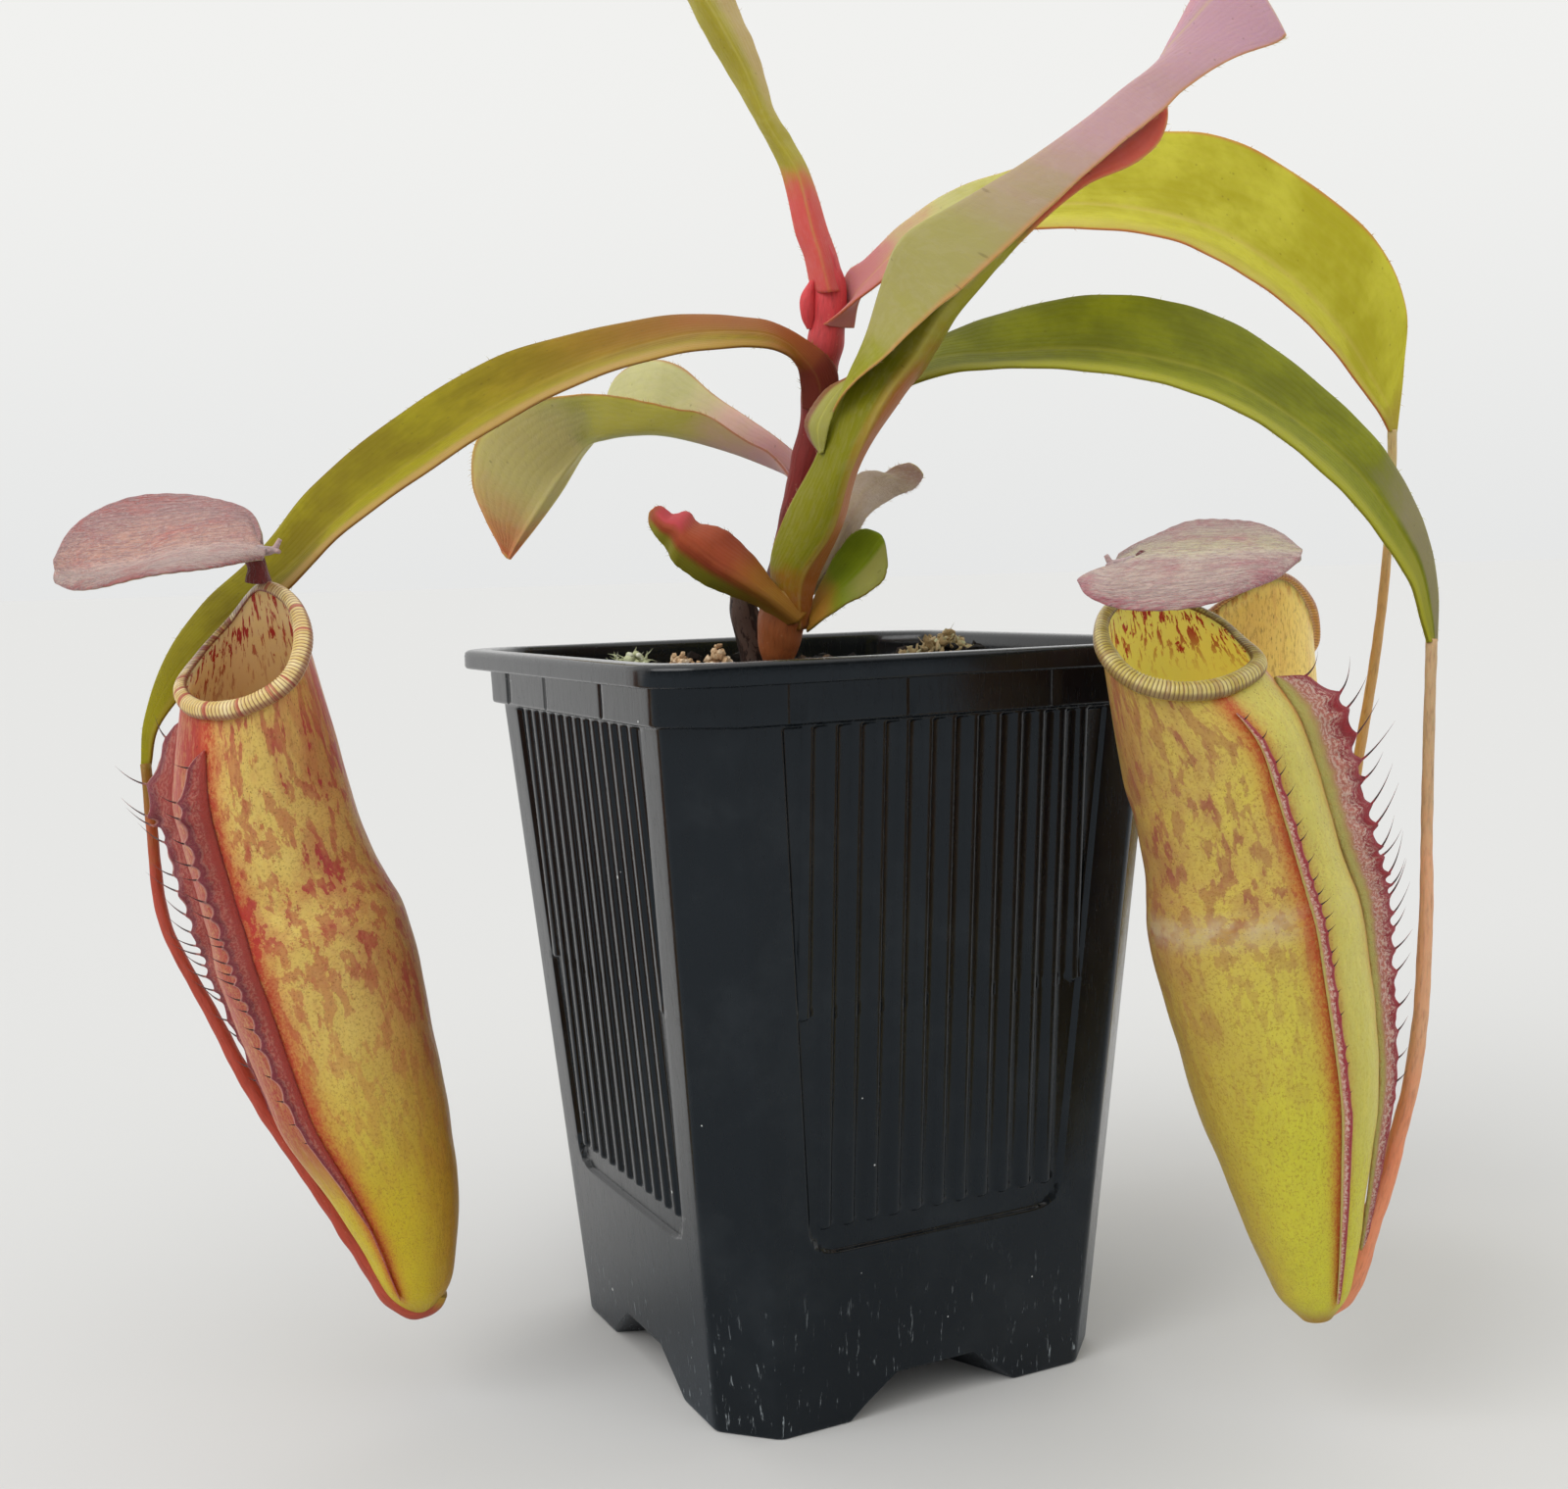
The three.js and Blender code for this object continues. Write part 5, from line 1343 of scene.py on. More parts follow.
    def build(self, effects: Effects) -> None:
        """Makes the mix and the moss."""
        bark = CrumbFinish("bark_mix", "110d0a", "261c16", "6a523c").build(effects)
        crumb = CrumbFinish("pale_crumbs", "b08c68", "dcbc94", "f0dcc0").build(effects)
        green = CrumbFinish("dry_moss", "9ca070", "ccd0a8", "e8e8d4").build(effects)
        straw = CrumbFinish("straw_moss", "b0966c", "dcc498", "d8dcb4").build(effects)
        top = [self.block(), crumbs(*self.loose(520, 4), 11)]
        make_piece("bark_mix", top, bark, ["potting_mix"], Turn.POT, False)
        grains = [
            crumbs(*self.heap((-18.5, -4.5), 1.2, 90, 0.6, 4.0, 21), 22),
            crumbs(*self.heap((-25.5, -6.0), 1.3, 60, 0.5, 2.4, 23), 24),
        ]
        make_piece("pale_crumbs", grains, crumb, ["potting_mix"], Turn.POT, False)
        left = [
            self.strands((-33, -4), 3.2, 90, 1.6, 31),
            crumbs(*self.heap((-32.5, -5), 1.5, 150, 0.6, 3.6, 33), 34),
        ]
        make_piece("moss_cushion_left", left, green, ["moss_left"], Turn.POT)
        chips, sizes = self.heap((23.0, 5.0), 2.2, 46, 1.0, 3.4, 58)
        right = [
            self.strands((29, 8), 4.0, 110, 1.7, 57),
            crumbs(*self.heap((29, 8), 2.2, 170, 0.6, 3.6, 61), 62),
            crumbs(chips, sizes * [2.2, 0.7, 0.4], 59),
        ]
        make_piece("moss_cushion_right", right, straw, ["moss_right"], Turn.POT)


# ---- stems and leaves ------------------------------------------------------------------------------


@dataclass
class Blade:
    """A leaf through stations from its foot to its tip, each across from margin to margin.

    wave and ripple are how far its margins sway in mm, in waves long waves and many short ones. thick is
    its thickness, rib the midrib's height and rib_at its place across, from -1 to 1. fuzz counts the
    short hairs of its margins, and more holds the stations of a second fold on the same piece.
    """

    name: str
    node: str
    slot: str
    stations: Sequence[Sequence[Sequence[float]]]
    finish: LeafFinish
    wave: float = 0.15
    waves: float = 5.0
    ripple: float = 0.05
    thick: float = 0.8
    rib: float = 0.7
    rows: int = 150
    fuzz: int = 160
    fuzz_length: float = 0.8
    rib_at: float = 0.0
    more: Sequence[Sequence[Sequence[float]]] = ()

    def across(self) -> Array:
        """Shares across the blade, closer at the margins and the midrib."""
        even = np.linspace(0, 1, 25)
        close = np.array([0.008, 0.02, 0.98, 0.992, 0.465, 0.48, 0.49, 0.51, 0.52, 0.535])
        return np.sort(np.concatenate([even, close]))

    def skin(self) -> tuple[Skin, Array]:
        """The blade's skin and its middle surface.

        The margins wave by wave v squared sin(2 pi waves t), v from -1 to 1 across; the half
        thickness is the root of 1 - v to the eighth; the midrib is a bell curve under the blade.

        Returns:
            The skin, and the middle surface as (rows, columns, 3).
        """
        t = np.linspace(0, 1, self.rows + 1)
        u = self.across()
        lanes = spline(np.array(self.stations, dtype=float), t)
        middle = np.moveaxis(spline(np.moveaxis(lanes, 1, 0), u), 0, 1)
        v = 2 * u - 1
        taper = np.sin(math.pi * t)[:, None]
        phase = np.where(v > 0, 1.3, 0.0)
        lift = self.wave * v**2 * taper * np.sin(self.waves * 2 * math.pi * t[:, None] + phase)
        lift = lift + self.ripple * v**4 * taper * np.sin(17 * 2 * math.pi * t[:, None] + 2 * phase)
        normals = grid_normals(middle)
        middle = middle + normals * lift[..., None]
        half = self.thick / 2 * np.sqrt(np.clip(1 - v**8, 0, 1)) * np.ones_like(taper)
        ridge = self.rib * (0.4 + 0.6 * taper) * np.exp(-(((v - self.rib_at) / 0.09) ** 2))
        groove = -0.12 * taper * np.exp(-(((v - self.rib_at) / 0.06) ** 2))
        under_first = normals[..., 2].sum() < 0
        upper, lower = (ridge, groove) if under_first else (groove, ridge)
        width = np.linalg.norm(middle[:, -1] - middle[:, 0], axis=1)[:, None]
        length = np.linalg.norm(np.diff(middle[:, len(u) // 2], axis=0), axis=1).sum()
        flow = np.stack(np.broadcast_arrays(v * width / 2, np.zeros_like(v), t[:, None] * length), -1)
        marks = {
            "along": np.broadcast_to(t[:, None], half.shape), "across": np.broadcast_to(v, half.shape),
            "flow": flow,
        }
        marks["rib"] = np.exp(-(((v - self.rib_at) / 0.05) ** 2)) * (0.3 + 0.7 * taper)
        skin = sheet_skin(middle, half, marks, upper, lower)
        if under_first:
            skin.marks["side"] = 1 - skin.marks["side"]
        return skin, middle

    def margin_fuzz(self, middle: Array) -> Skin:
        """Short hairs along both margins of the middle surface, pointing out and a little forward."""
        source = np.random.default_rng(len(self.name))
        rows = source.integers(4, self.rows - 2, self.fuzz)
        edge = source.integers(0, 2, self.fuzz) * (middle.shape[1] - 1)
        inner = np.where(edge == 0, 3, middle.shape[1] - 4)
        roots = middle[rows, edge]
        out = unit(roots - middle[rows, inner])
        ahead = unit(middle[rows + 1, edge] - middle[rows, edge])
        aims = unit(out + 0.5 * ahead + source.normal(size=out.shape) * 0.35)
        lengths = self.fuzz_length * source.uniform(0.5, 1.2, self.fuzz)
        return bristles(roots - out * 0.1, aims, ahead * 0.3, lengths, np.full(self.fuzz, 0.045), 3)

    def build(self, effects: Effects) -> None:
        """Makes the leaf."""
        skin, middle = self.skin()
        skins = [skin]
        if self.fuzz:
            fuzz = self.margin_fuzz(middle)
            fuzz.marks["across"] = np.ones(len(fuzz.points))
            fuzz.marks["along"] = np.full(len(fuzz.points), 0.5)
            skins.append(fuzz)
        if self.more:
            fold, _ = replace(self, stations=self.more, rows=60, wave=0.0, rib=0.0, thick=0.5).skin()
            fold.marks["across"] = -2.2 - fold.marks["across"]
            skins.append(fold)
        make_piece(self.name, skins, self.finish.build(effects), [self.node])


@dataclass
class Stalk:
    """A round stem: x, y, z and radius at each station."""

    name: str
    node: str
    slot: str
    rows: Sequence[Sequence[float]]
    finish: StalkFinish
    sides: int = 28
    steps: int = 150
    rough: float = 0.06
    extra: Sequence[Sequence[Sequence[float]]] = ()

    def build(self, effects: Effects) -> None:
        """Makes the stem; an extra stalk low on it has its foot's colour, one high on it its top's."""
        lines = [np.array(rows, dtype=float) for rows in (self.rows, *self.extra)]
        skins = [stalk_skin(line, self.sides, self.steps, self.rough, len(self.name)) for line in lines]
        for skin, line in zip(skins[1:], lines[1:]):
            skin.marks["rise"] = np.full(len(skin.points), 0.1 if line[-1, 2] < 130 else 0.9)
        make_piece(self.name, skins, self.finish.build(effects), [self.node])


STEM = (
    (-8, 2, 84, 1.9), (-8, 2, 100, 1.9), (-7.4, 2, 111, 1.8), (-4.2, 1, 124, 1.9), (-0.9, 0, 136, 2.3),
    (0.9, 0, 143, 2.4), (1.75, 0, 149.5, 2.6), (3, 0, 156, 2.75), (3.75, 0, 162, 2.65),
    (3.2, 0.3, 166.5, 2.3), (2.2, 0.5, 170, 1.7), (1.4, 0.8, 174, 1),
)
STUB = (
    (-9, 1, 98, 2), (-9.4, 1, 107, 2.2), (-10, 0.5, 111, 2.2), (-10.9, 0, 115, 2.2),
    (-11.4, -0.5, 117.6, 1.5),
)
AURICLE = ((0.6, -1, 157.5, 0.5), (0.3, -1, 159.5, 1.1), (0.4, -0.8, 162, 1.2), (1.2, -0.8, 164.6, 0.5))
SHOOT = (
    (-5.4, -6, 96, 1.8), (-5.6, -6, 105, 2), (-5.6, -6.6, 109, 3), (-5.2, -7.4, 112.5, 3.6),
    (-4.6, -8, 115.5, 3.2), (-4.2, -8.4, 118, 1.8),
)
LEAF_LEFT = (
    ((4.4, -1.2, 146.5), (1.6, -3.1, 145), (-0.9, -1.6, 145.5)),
    ((4.6, -1.6, 150.6), (1.7, -3.5, 148.5), (-1.1, -2.2, 148.8)),
    ((2.6, -3, 153.6), (0.2, -4.2, 151.6), (-1.8, -4.2, 151.8)),
    ((-3.4, -2.6, 157.6), (-4, -5.5, 155.2), (-4.6, -8, 153.4)),
    ((-9.5, -1, 159.4), (-9.5, -7, 156.2), (-10.2, -11, 153.8)),
    ((-20, 1, 160.5), (-19.5, -6, 156), (-20, -14, 152.5)),
    ((-33.5, 2, 158.5), (-33.5, -5, 152.5), (-33.5, -15, 148.5)),
    ((-49, 2, 154.5), (-47.5, -5, 146.5), (-46.5, -15, 142.5)),
    ((-64, 1, 146), (-60.5, -5, 138.5), (-59.5, -14, 134.5)),
    ((-76.5, 0, 136), (-71.5, -6, 130.5), (-70.5, -13, 127)),
    ((-85.5, 1, 126.5), (-80.5, -4, 123), (-78.5, -9, 120.5)),
    ((-94.5, 0, 118.5), (-89, -4, 116.5), (-87, -7, 114)),
    ((-100, -3, 110), (-97, -5.5, 108.5), (-94.5, -7, 106.5)),
    ((-102.3, -7, 101), (-101, -8, 100.5), (-99.5, -9, 100)),
    ((-102.3, -9.5, 94), (-101.5, -10, 94), (-100.7, -10.4, 94)),
)
LEAF_RIGHT_LOW = (
    ((1.5, 0.5, 144), (2.5, -2, 142), (3, -3.5, 140.5)),
    ((8.5, 0, 150.5), (9, -5, 147.5), (9, -8, 145)),
    ((20.5, 1, 156), (19, -7, 151.5), (19, -14, 148.5)),
    ((30, 2, 159.5), (28.5, -9, 152), (27.5, -17, 149)),
    ((42, 1, 161.5), (40, -11, 152), (38, -20, 148)),
    ((53.5, -2, 160.5), (50.5, -14, 150), (48, -24, 146)),
    ((63.5, -5, 156.5), (60, -17, 146.5), (57, -27, 142)),
    ((73.5, -10, 148), (68.5, -20, 140.5), (65, -29, 137)),
    ((81, -16, 139), (76, -24, 133), (72, -31, 130)),
    ((84.5, -21, 131), (80.5, -27, 125.5), (77.5, -32, 123)),
    ((86.5, -25, 123.5), (83.5, -29, 119), (81.5, -32, 117)),
    ((86.8, -28, 116), (84.5, -30.5, 113), (83, -32, 112)),
    ((86, -30, 108.5), (85, -31, 108.5), (84.2, -31.8, 108.5)),
)
LEAF_RIGHT_HIGH = (
    ((5, 2.8, 160), (6.7, -0.5, 157.6), (2.6, -3.2, 157.8)),
    ((6.4, 2.6, 166), (7.6, -1, 161.8), (5.4, -3.9, 159.4)),
    ((9.8, 3.2, 168.6), (10.2, -1, 164.8), (8.9, -4.6, 161.9)),
    ((15.5, 6, 174.2), (15.5, 0, 169.6), (15.8, -5, 166.4)),
    ((23.5, 9, 179.5), (23.5, 2, 173.5), (24, -5, 169.5)),
    ((34, 13, 183.5), (33.5, 5, 175.5), (33, -4, 171)),
    ((45.5, 17, 188), (45.5, 8, 176.5), (44, -2, 171)),
    ((60, 21, 190.5), (58.5, 11, 175), (56.5, 1, 169.5)),
    ((72.5, 23, 189), (69.5, 14, 171.5), (66.5, 5, 166)),
    ((85.5, 24, 181.5), (79.5, 16, 165), (76, 9, 160.5)),
    ((95.5, 24, 172.5), (87.5, 18, 157.5), (84.5, 13, 154)),
    ((100, 23, 162), (93, 19, 149.5), (91, 16, 147)),
    ((99, 21, 151.5), (96, 19.5, 144.5), (94.2, 18, 143.5)),
    ((97.5, 20, 141), (96.7, 19.6, 141), (96, 19.2, 141)),
)
LEAF_FRONT = (
    ((-4.5, -7, 112), (-3.5, -9, 112), (-2.5, -9.5, 112), (-1, -8, 112)),
    ((-6.5, -7, 121), (-4.5, -10, 120), (-2, -11, 119.5), (0.5, -8, 119)),
    ((-4.5, -8, 128), (-1, -12, 127.5), (2.5, -13, 127), (4.5, -9, 127.5)),
    ((0.5, -9, 137), (3, -13, 136.5), (5.5, -15, 136), (7.5, -10, 136.5)),
    ((4.5, -15, 145.5), (6, -12, 147.5), (11, -16, 145.5), (13.5, -12, 145.5)),
    ((10.5, -21, 150.5), (9, -13, 155), (15.5, -18, 151), (17.5, -13, 150.5)),
    ((16.5, -24, 155.5), (11.5, -15, 163), (19.5, -20, 157), (21.5, -15, 156.5)),
    ((22, -25, 159.5), (14.5, -17, 168), (24.5, -21, 162.5), (26, -17, 162)),
    ((31, -25.5, 167.5), (23, -19, 172.5), (29.5, -19.5, 170), (32.5, -21, 168)),
    ((37.5, -27, 173), (31.5, -21, 177), (36, -21, 175.8), (39, -23.5, 173)),
    ((44, -28.5, 178), (39.5, -23, 182), (43, -22, 180.8), (46.5, -25, 176)),
    ((48.5, -29, 181.5), (45, -24, 186), (47.5, -22.5, 184.8), (50, -25.5, 180.5)),
    ((52, -29, 184.5), (49, -26, 188), (49.5, -23.5, 189.5), (50.5, -22, 190)),
    ((58, -29, 188), (55.5, -26.5, 191.5), (54, -24, 194.5), (53, -21.5, 196)),
    ((64, -29, 190), (60.5, -27, 194.5), (57.5, -24.5, 198), (55.5, -21.5, 200)),
    ((65.5, -29, 191), (63.5, -27, 196), (61.5, -25, 200), (59.5, -22, 202.5)),
)
LEAF_BACK = (
    ((-1.3, 3.5, 138.4), (-2.1, 2, 135.3), (-2.5, 0.5, 134.4)),
    ((-4.7, 9, 141.8), (-5.3, 6.5, 137.4), (-6, 4, 139.1)),
    ((-9.4, 16, 145.8), (-11.4, 12, 140.4), (-10.4, 8, 141.9)),
    ((-15.2, 22, 150.3), (-18.1, 17, 143), (-16.4, 12, 146.2)),
    ((-21.2, 28, 156), (-24.2, 22, 144.7), (-21.2, 15, 147.6)),
    ((-27.6, 33, 157.4), (-28.9, 25, 145.1), (-26, 18, 148.9)),
    ((-33.4, 37, 154), (-33.6, 29, 145), (-31.3, 21, 150.5)),
    ((-36.6, 38.5, 145.1), (-37.6, 33, 144.2), (-37.6, 25, 151.2)),
    ((-38.8, 39, 143), (-41, 35.5, 140.9), (-47.6, 29, 150.2)),
    ((-41.8, 39, 138.6), (-44.9, 36.5, 135.8), (-56.2, 33, 145.4)),
    ((-45.2, 38.5, 133.9), (-48.3, 37, 131), (-58.1, 35, 138)),
    ((-48.8, 38, 129), (-51, 37.3, 127.2), (-56.3, 36, 131.5)),
    ((-52, 37.4, 125.2), (-52.7, 37, 124.3), (-53.6, 36.6, 125.7)),
)
LEAF_TOP = (
    ((1, 0.5, 163), (3.6, -3, 162.5), (6.4, 0.5, 163)),
    ((0, 1, 168.6), (2.4, -2.3, 168), (5, 1, 168.6)),
    ((-1.2, 1.5, 172.3), (1.3, -1.4, 172), (3.8, 1.5, 172.3)),
    ((-3, 2.5, 181), (-0.8, 0.4, 181), (1.4, 3, 181)),
    ((-5.4, 3.2, 187), (-4, 1, 186.6), (-1.6, 3.6, 187)),
    ((-7.5, 3.5, 191), (-6, 1, 190.5), (-3.8, 4.5, 191)),
    ((-11, 4, 197), (-8.5, 1, 196.7), (-5.3, 7, 197)),
    ((-14, 4, 202.5), (-11.5, 1, 202.5), (-7, 9, 203)),
    ((-16.5, 4, 207.5), (-14.5, 1, 207.8), (-9, 11, 208.5)),
    ((-19, 5, 213.5), (-17.5, 2, 214), (-11, 12, 215.5)),
    ((-21.5, 5, 219.5), (-19.5, 3, 220), (-13.5, 12, 222)),
    ((-23, 6, 225.5), (-21.5, 4, 226), (-16.5, 11, 228)),
    ((-24, 6, 230.5), (-22.7, 5, 231), (-20.3, 9, 232.5)),
    ((-23.8, 7, 234.5), (-23.2, 7, 235), (-22.4, 7.7, 235.2)),
)
LEAF_FRONT_FOLD = (
    ((5.7, -11.5, 148.9), (5.8, -12.5, 148.2), (6, -13.2, 147.5)),
    ((2.7, -9.5, 147.6), (3.8, -12, 146.7), (5, -13.4, 146.4)),
    ((0.5, -8, 145.2), (2, -11.5, 144.5), (3.9, -13.4, 144.5)),
    ((-0.7, -7.5, 142.9), (0.7, -11, 142.2), (2.8, -13.3, 141.9)),
    ((-0.3, -8, 140.8), (0.8, -11, 140.1), (2.3, -12.8, 139.9)),
    ((0.6, -9.5, 139.2), (1.2, -11, 138.8), (2, -12.2, 138.6)),
    ((1.5, -11.5, 138.1), (1.6, -11.8, 137.9), (1.8, -12.1, 138)),
)
SHOOT_LEAF_LEFT = (
    ((-1, -8.6, 114.5), (-2.8, -11, 113.2), (-6.1, -9, 112.7)),
    ((-3, -8.6, 116.6), (-4.9, -12.5, 115.1), (-7.3, -9.5, 114.7)),
    ((-6.1, -9, 119.1), (-7.7, -14.5, 117.5), (-9.9, -10.5, 116.4)),
    ((-8.7, -9, 122.9), (-11.1, -16, 120), (-12.8, -11, 117.4)),
    ((-11.8, -10, 126.2), (-14.6, -16.5, 122.4), (-15.9, -12, 118.9)),
    ((-14.6, -10.5, 127.7), (-17.1, -17, 124.4), (-18.9, -12.5, 120.8)),
    ((-17.1, -11, 128.3), (-19, -17, 125.8), (-20.6, -13, 122.4)),
    ((-18.5, -11.5, 129.9), (-20.2, -16.5, 127.3), (-21.7, -13.5, 124.4)),
    ((-20.6, -12.5, 129.5), (-21.8, -16, 127.9), (-23.1, -14, 126.4)),
    ((-22.2, -13.5, 130.7), (-23.1, -15, 129.2), (-24, -14.3, 128)),
    ((-23.2, -14.2, 130.5), (-23.5, -14.6, 130.1), (-23.9, -14.4, 129.4)),
)
SHOOT_LEAF_RIGHT = (
    ((-0.8, -6.5, 114.7), (-0.6, -9, 113.1), (-1.2, -9.4, 111.5)),
    ((1.1, -6, 118.6), (2.4, -9, 116.8), (1.9, -11, 113.8)),
    ((3, -5.5, 122.2), (5, -9, 119.2), (5.2, -12, 115.8)),
    ((5.1, -5, 125.1), (7.8, -8.5, 122.1), (8.4, -12.5, 117.4)),
    ((7, -5, 126.6), (9.9, -8.5, 124.7), (10.6, -12, 119.5)),
    ((8.8, -5.5, 126.4), (10.3, -8, 125.2), (10.8, -10.5, 121.8)),
    ((10, -7, 125.5), (10.3, -8, 124.9), (10.6, -9, 123.8)),
)
SHOOT_LEAF_BACK = (
    ((-4.2, 0.6, 117.5), (-3.6, -1, 115.6), (-3.4, 1, 114.6)),
    ((-3.4, 0.6, 125), (1, -1.5, 120), (3, 0.5, 119.5)),
    ((-1.6, 0.6, 131), (3.9, -2, 125.9), (6.6, 0, 125.1)),
    ((3.7, -0.5, 131), (6.2, -3, 129.1), (8.3, -0.5, 128.4)),
    ((5.9, 1.5, 133.4), (8.4, -1, 132.1), (10.9, 2, 130.5)),
    ((7.7, 3, 135.5), (10.2, 1, 133.8), (13, 3.5, 131.7)),
    ((9.7, 4, 136), (11.8, 2.5, 134.8), (14.9, 4.5, 132.5)),
    ((11.2, 5, 135.4), (13.8, 4, 134.8), (16.6, 6, 133.2)),
    ((13.4, 6, 136.7), (15.6, 5.5, 135.6), (17.6, 7, 134.3)),
    ((15.6, 7, 137.2), (17.1, 6.5, 136.4), (18.1, 7, 135.3)),
)


class Foliage:
    """The stems and the nine leaves."""

    def stalks(self) -> list[Stalk]:
        """The two stems: the main one with its old stub and a sheath's ear, and the side shoot."""
        return [
            Stalk("stem_bark", "main_stem", "woody_stem", STEM, StalkFinish(
                "stem_bark", "34241e", "8c2c28", "cc4044", 0.27, 0.6, flaky=0.7, pores=0.12),
                extra=(STUB, AURICLE)),
            Stalk("shoot_bark", "side_shoot", "young_shoot", SHOOT, StalkFinish(
                "shoot_bark", "34241a", "a05a30", "a07830", 0.3, 0.9, flaky=0.2, pores=0.15)),
        ]

    def blades(self) -> list[Blade]:
        """The leaves, each with its own finish."""
        return [
            Blade("blade_left", "leaf_left", "leaf_olive", LEAF_LEFT, LeafFinish(
                "leaf_olive", "90860e", "7a6c08", "9c8c30", "a08a3c", "6c4418", (
                    Zone("a88448", 0.8, across=(0.4, 0.8)),
                    Zone("8c4c28", 0.85, along=(0.56, 0.3), across=(1.0, -0.6)),
                    Zone("8c4424", 0.7, along=(0.3, 0.16)),
                    Zone("6e2a24", 0.9, along=(0.2, 0.08)), Zone("8c8404", 0.7, along=(0.8, 0.9))),
                rib_share=0.2, stains=0.25)),
            Blade("blade_right_low", "leaf_right_low", "leaf_green", LEAF_RIGHT_LOW, LeafFinish(
                "leaf_green", "787c0c", "626604", "8c8830", "8c8828", "6c6418", (
                    Zone("9c9a2c", 0.8, across=(0.45, 0.85)),
                    Zone("867c60", 0.8, along=(0.68, 0.8), across=(-0.1, -0.3)),
                    Zone("98942c", 0.6, along=(0.7, 0.85), across=(-0.1, 0.1))), stains=0.6)),
            Blade("blade_right_high", "leaf_right_high", "leaf_lime", LEAF_RIGHT_HIGH, LeafFinish(
                "leaf_lime", "beb83c", "a8a024", "bcb248", "c0ac58", "b0583c", (
                    Zone("bca858", 0.5, across=(0.3, 0.9)),
                    Zone("b8b48c", 0.6, along=(0.42, 0.3), across=(0.2, -0.4)),
                    Zone("b86c74", 0.9, along=(0.3, 0.16)), Zone("a8943c", 0.8, along=(0.88, 0.97))))),
            Blade("blade_front", "leaf_front", "leaf_green", LEAF_FRONT, LeafFinish(
                "leaf_front", "8c8c14", "7c7c0c", "7c7a12", "c4bc60", "c08858", (
                    Zone("a49e38", 0.8, along=(0.3, 0.42)),
                    Zone("b86438", 0.8, along=(0.4, 0.28), across=(0.15, 0.5)),
                    Zone("98581c", 0.85, along=(0.1, 0.03)),
                    Zone("9c945c", 0.9, along=(0.3, 0.4), across=(0.2, 0.0)),
                    Zone("b48e94", 0.92, along=(0.48, 0.68)),
                    Zone("e87460", 0.9, along=(0.5, 0.56), across=(0.5, 0.75)),
                    Zone("b8909c", 0.9, along=(0.8, 0.88)), Zone("7c4030", 0.85, across=(-1.12, -1.2)),
                    Zone("9c9c4c", 0.9, across=(-1.6, -2.0))),
                rib_share=0.5, felt=0.15), rib_at=0.34, more=LEAF_FRONT_FOLD),
            Blade("blade_back", "leaf_back", "leaf_blush", LEAF_BACK, LeafFinish(
                "leaf_back", "bcb884", "b0ac78", "acac60", "d0c888", "a0583c", (
                    Zone("bcb44c", 0.9, along=(0.62, 0.52), across=(0.05, 0.2)),
                    Zone("d0a0a4", 0.9, along=(0.32, 0.1)),
                    Zone("d4c888", 0.85, along=(0.55, 0.65)), Zone("cc6c4c", 0.85, along=(0.76, 0.98))),
                rib_share=0.3, felt=0.2)),
            Blade("blade_top", "leaf_top", "leaf_lime", LEAF_TOP, LeafFinish(
                "leaf_top", "a89c3c", "9c9030", "a89848", "b8ac50", "a0703c", (
                    Zone("b49468", 0.6, along=(0.3, 0.5), across=(0.1, 0.6)),
                    Zone("9aa030", 0.7, along=(0.7, 0.9)),
                    Zone("c84a50", 0.92, along=(0.26, 0.16))), felt=0.15), wave=0.1),
            Blade("shoot_blade_left", "shoot_leaf_left", "young_leaf", SHOOT_LEAF_LEFT, LeafFinish(
                "young_leaf_red", "a04c30", "8c4028", "a0703c", "b06a40", "6c3428", (
                    Zone("8c8c2c", 0.9, across=(0.2, 0.55)), Zone("98702c", 0.85, along=(0.4, 0.15)),
                    Zone("c04a54", 0.8, along=(0.55, 0.7), across=(0.1, -0.2)),
                    Zone("a06048", 0.7, along=(0.86, 0.95))),
                rib_share=0.1), wave=0.1, rows=90, fuzz=60),
            Blade("shoot_blade_right", "shoot_leaf_right", "leaf_green", SHOOT_LEAF_RIGHT, LeafFinish(
                "young_leaf_green", "748410", "64740c", "949060", "808420", "80702c", (
                    Zone("8c8848", 0.85, along=(0.2, 0.5), across=(0.15, 0.35)),
                    Zone("a0682c", 0.8, along=(0.3, 0.1))),
                rib_share=0.2), wave=0.1, rows=70, fuzz=60),
            Blade("shoot_blade_back", "shoot_leaf_back", "leaf_blush", SHOOT_LEAF_BACK, LeafFinish(
                "young_leaf_blush", "ccb8a4", "c0a890", "ccbca8", "c4ac98", "c89c94", (
                    Zone("8c8048", 0.7, along=(0.3, 0.05)), Zone("b08478", 0.7, along=(0.7, 0.9))), felt=1.0),
                wave=0.1, rows=80, fuzz=200),
        ]

    def build(self, effects: Effects) -> None:
        """Makes the stems and leaves."""
        for piece in [*self.stalks(), *self.blades()]:
            piece.build(effects)


# ---- pitchers --------------------------------------------------------------------------------------

GIRTH = (
    (0.012, 0.15), (0.05, 0.33), (0.09, 0.42), (0.14, 0.51), (0.2, 0.61), (0.28, 0.725), (0.38, 0.865),
    (0.48, 0.93), (0.58, 0.98), (0.65, 1), (0.7, 0.95), (0.76, 0.9), (0.85, 0.875), (0.93, 0.85),
)
LIP = (
    (-0.7, -0.1), (-1.05, 0.35), (-1.15, 1.0), (-0.75, 1.5), (-0.1, 1.65), (0.5, 1.5), (1.0, 1.05),
    (1.28, 0.4), (1.15, -0.25), (0.75, -0.2), (0.3, 0.0), (-0.25, -0.1),
)


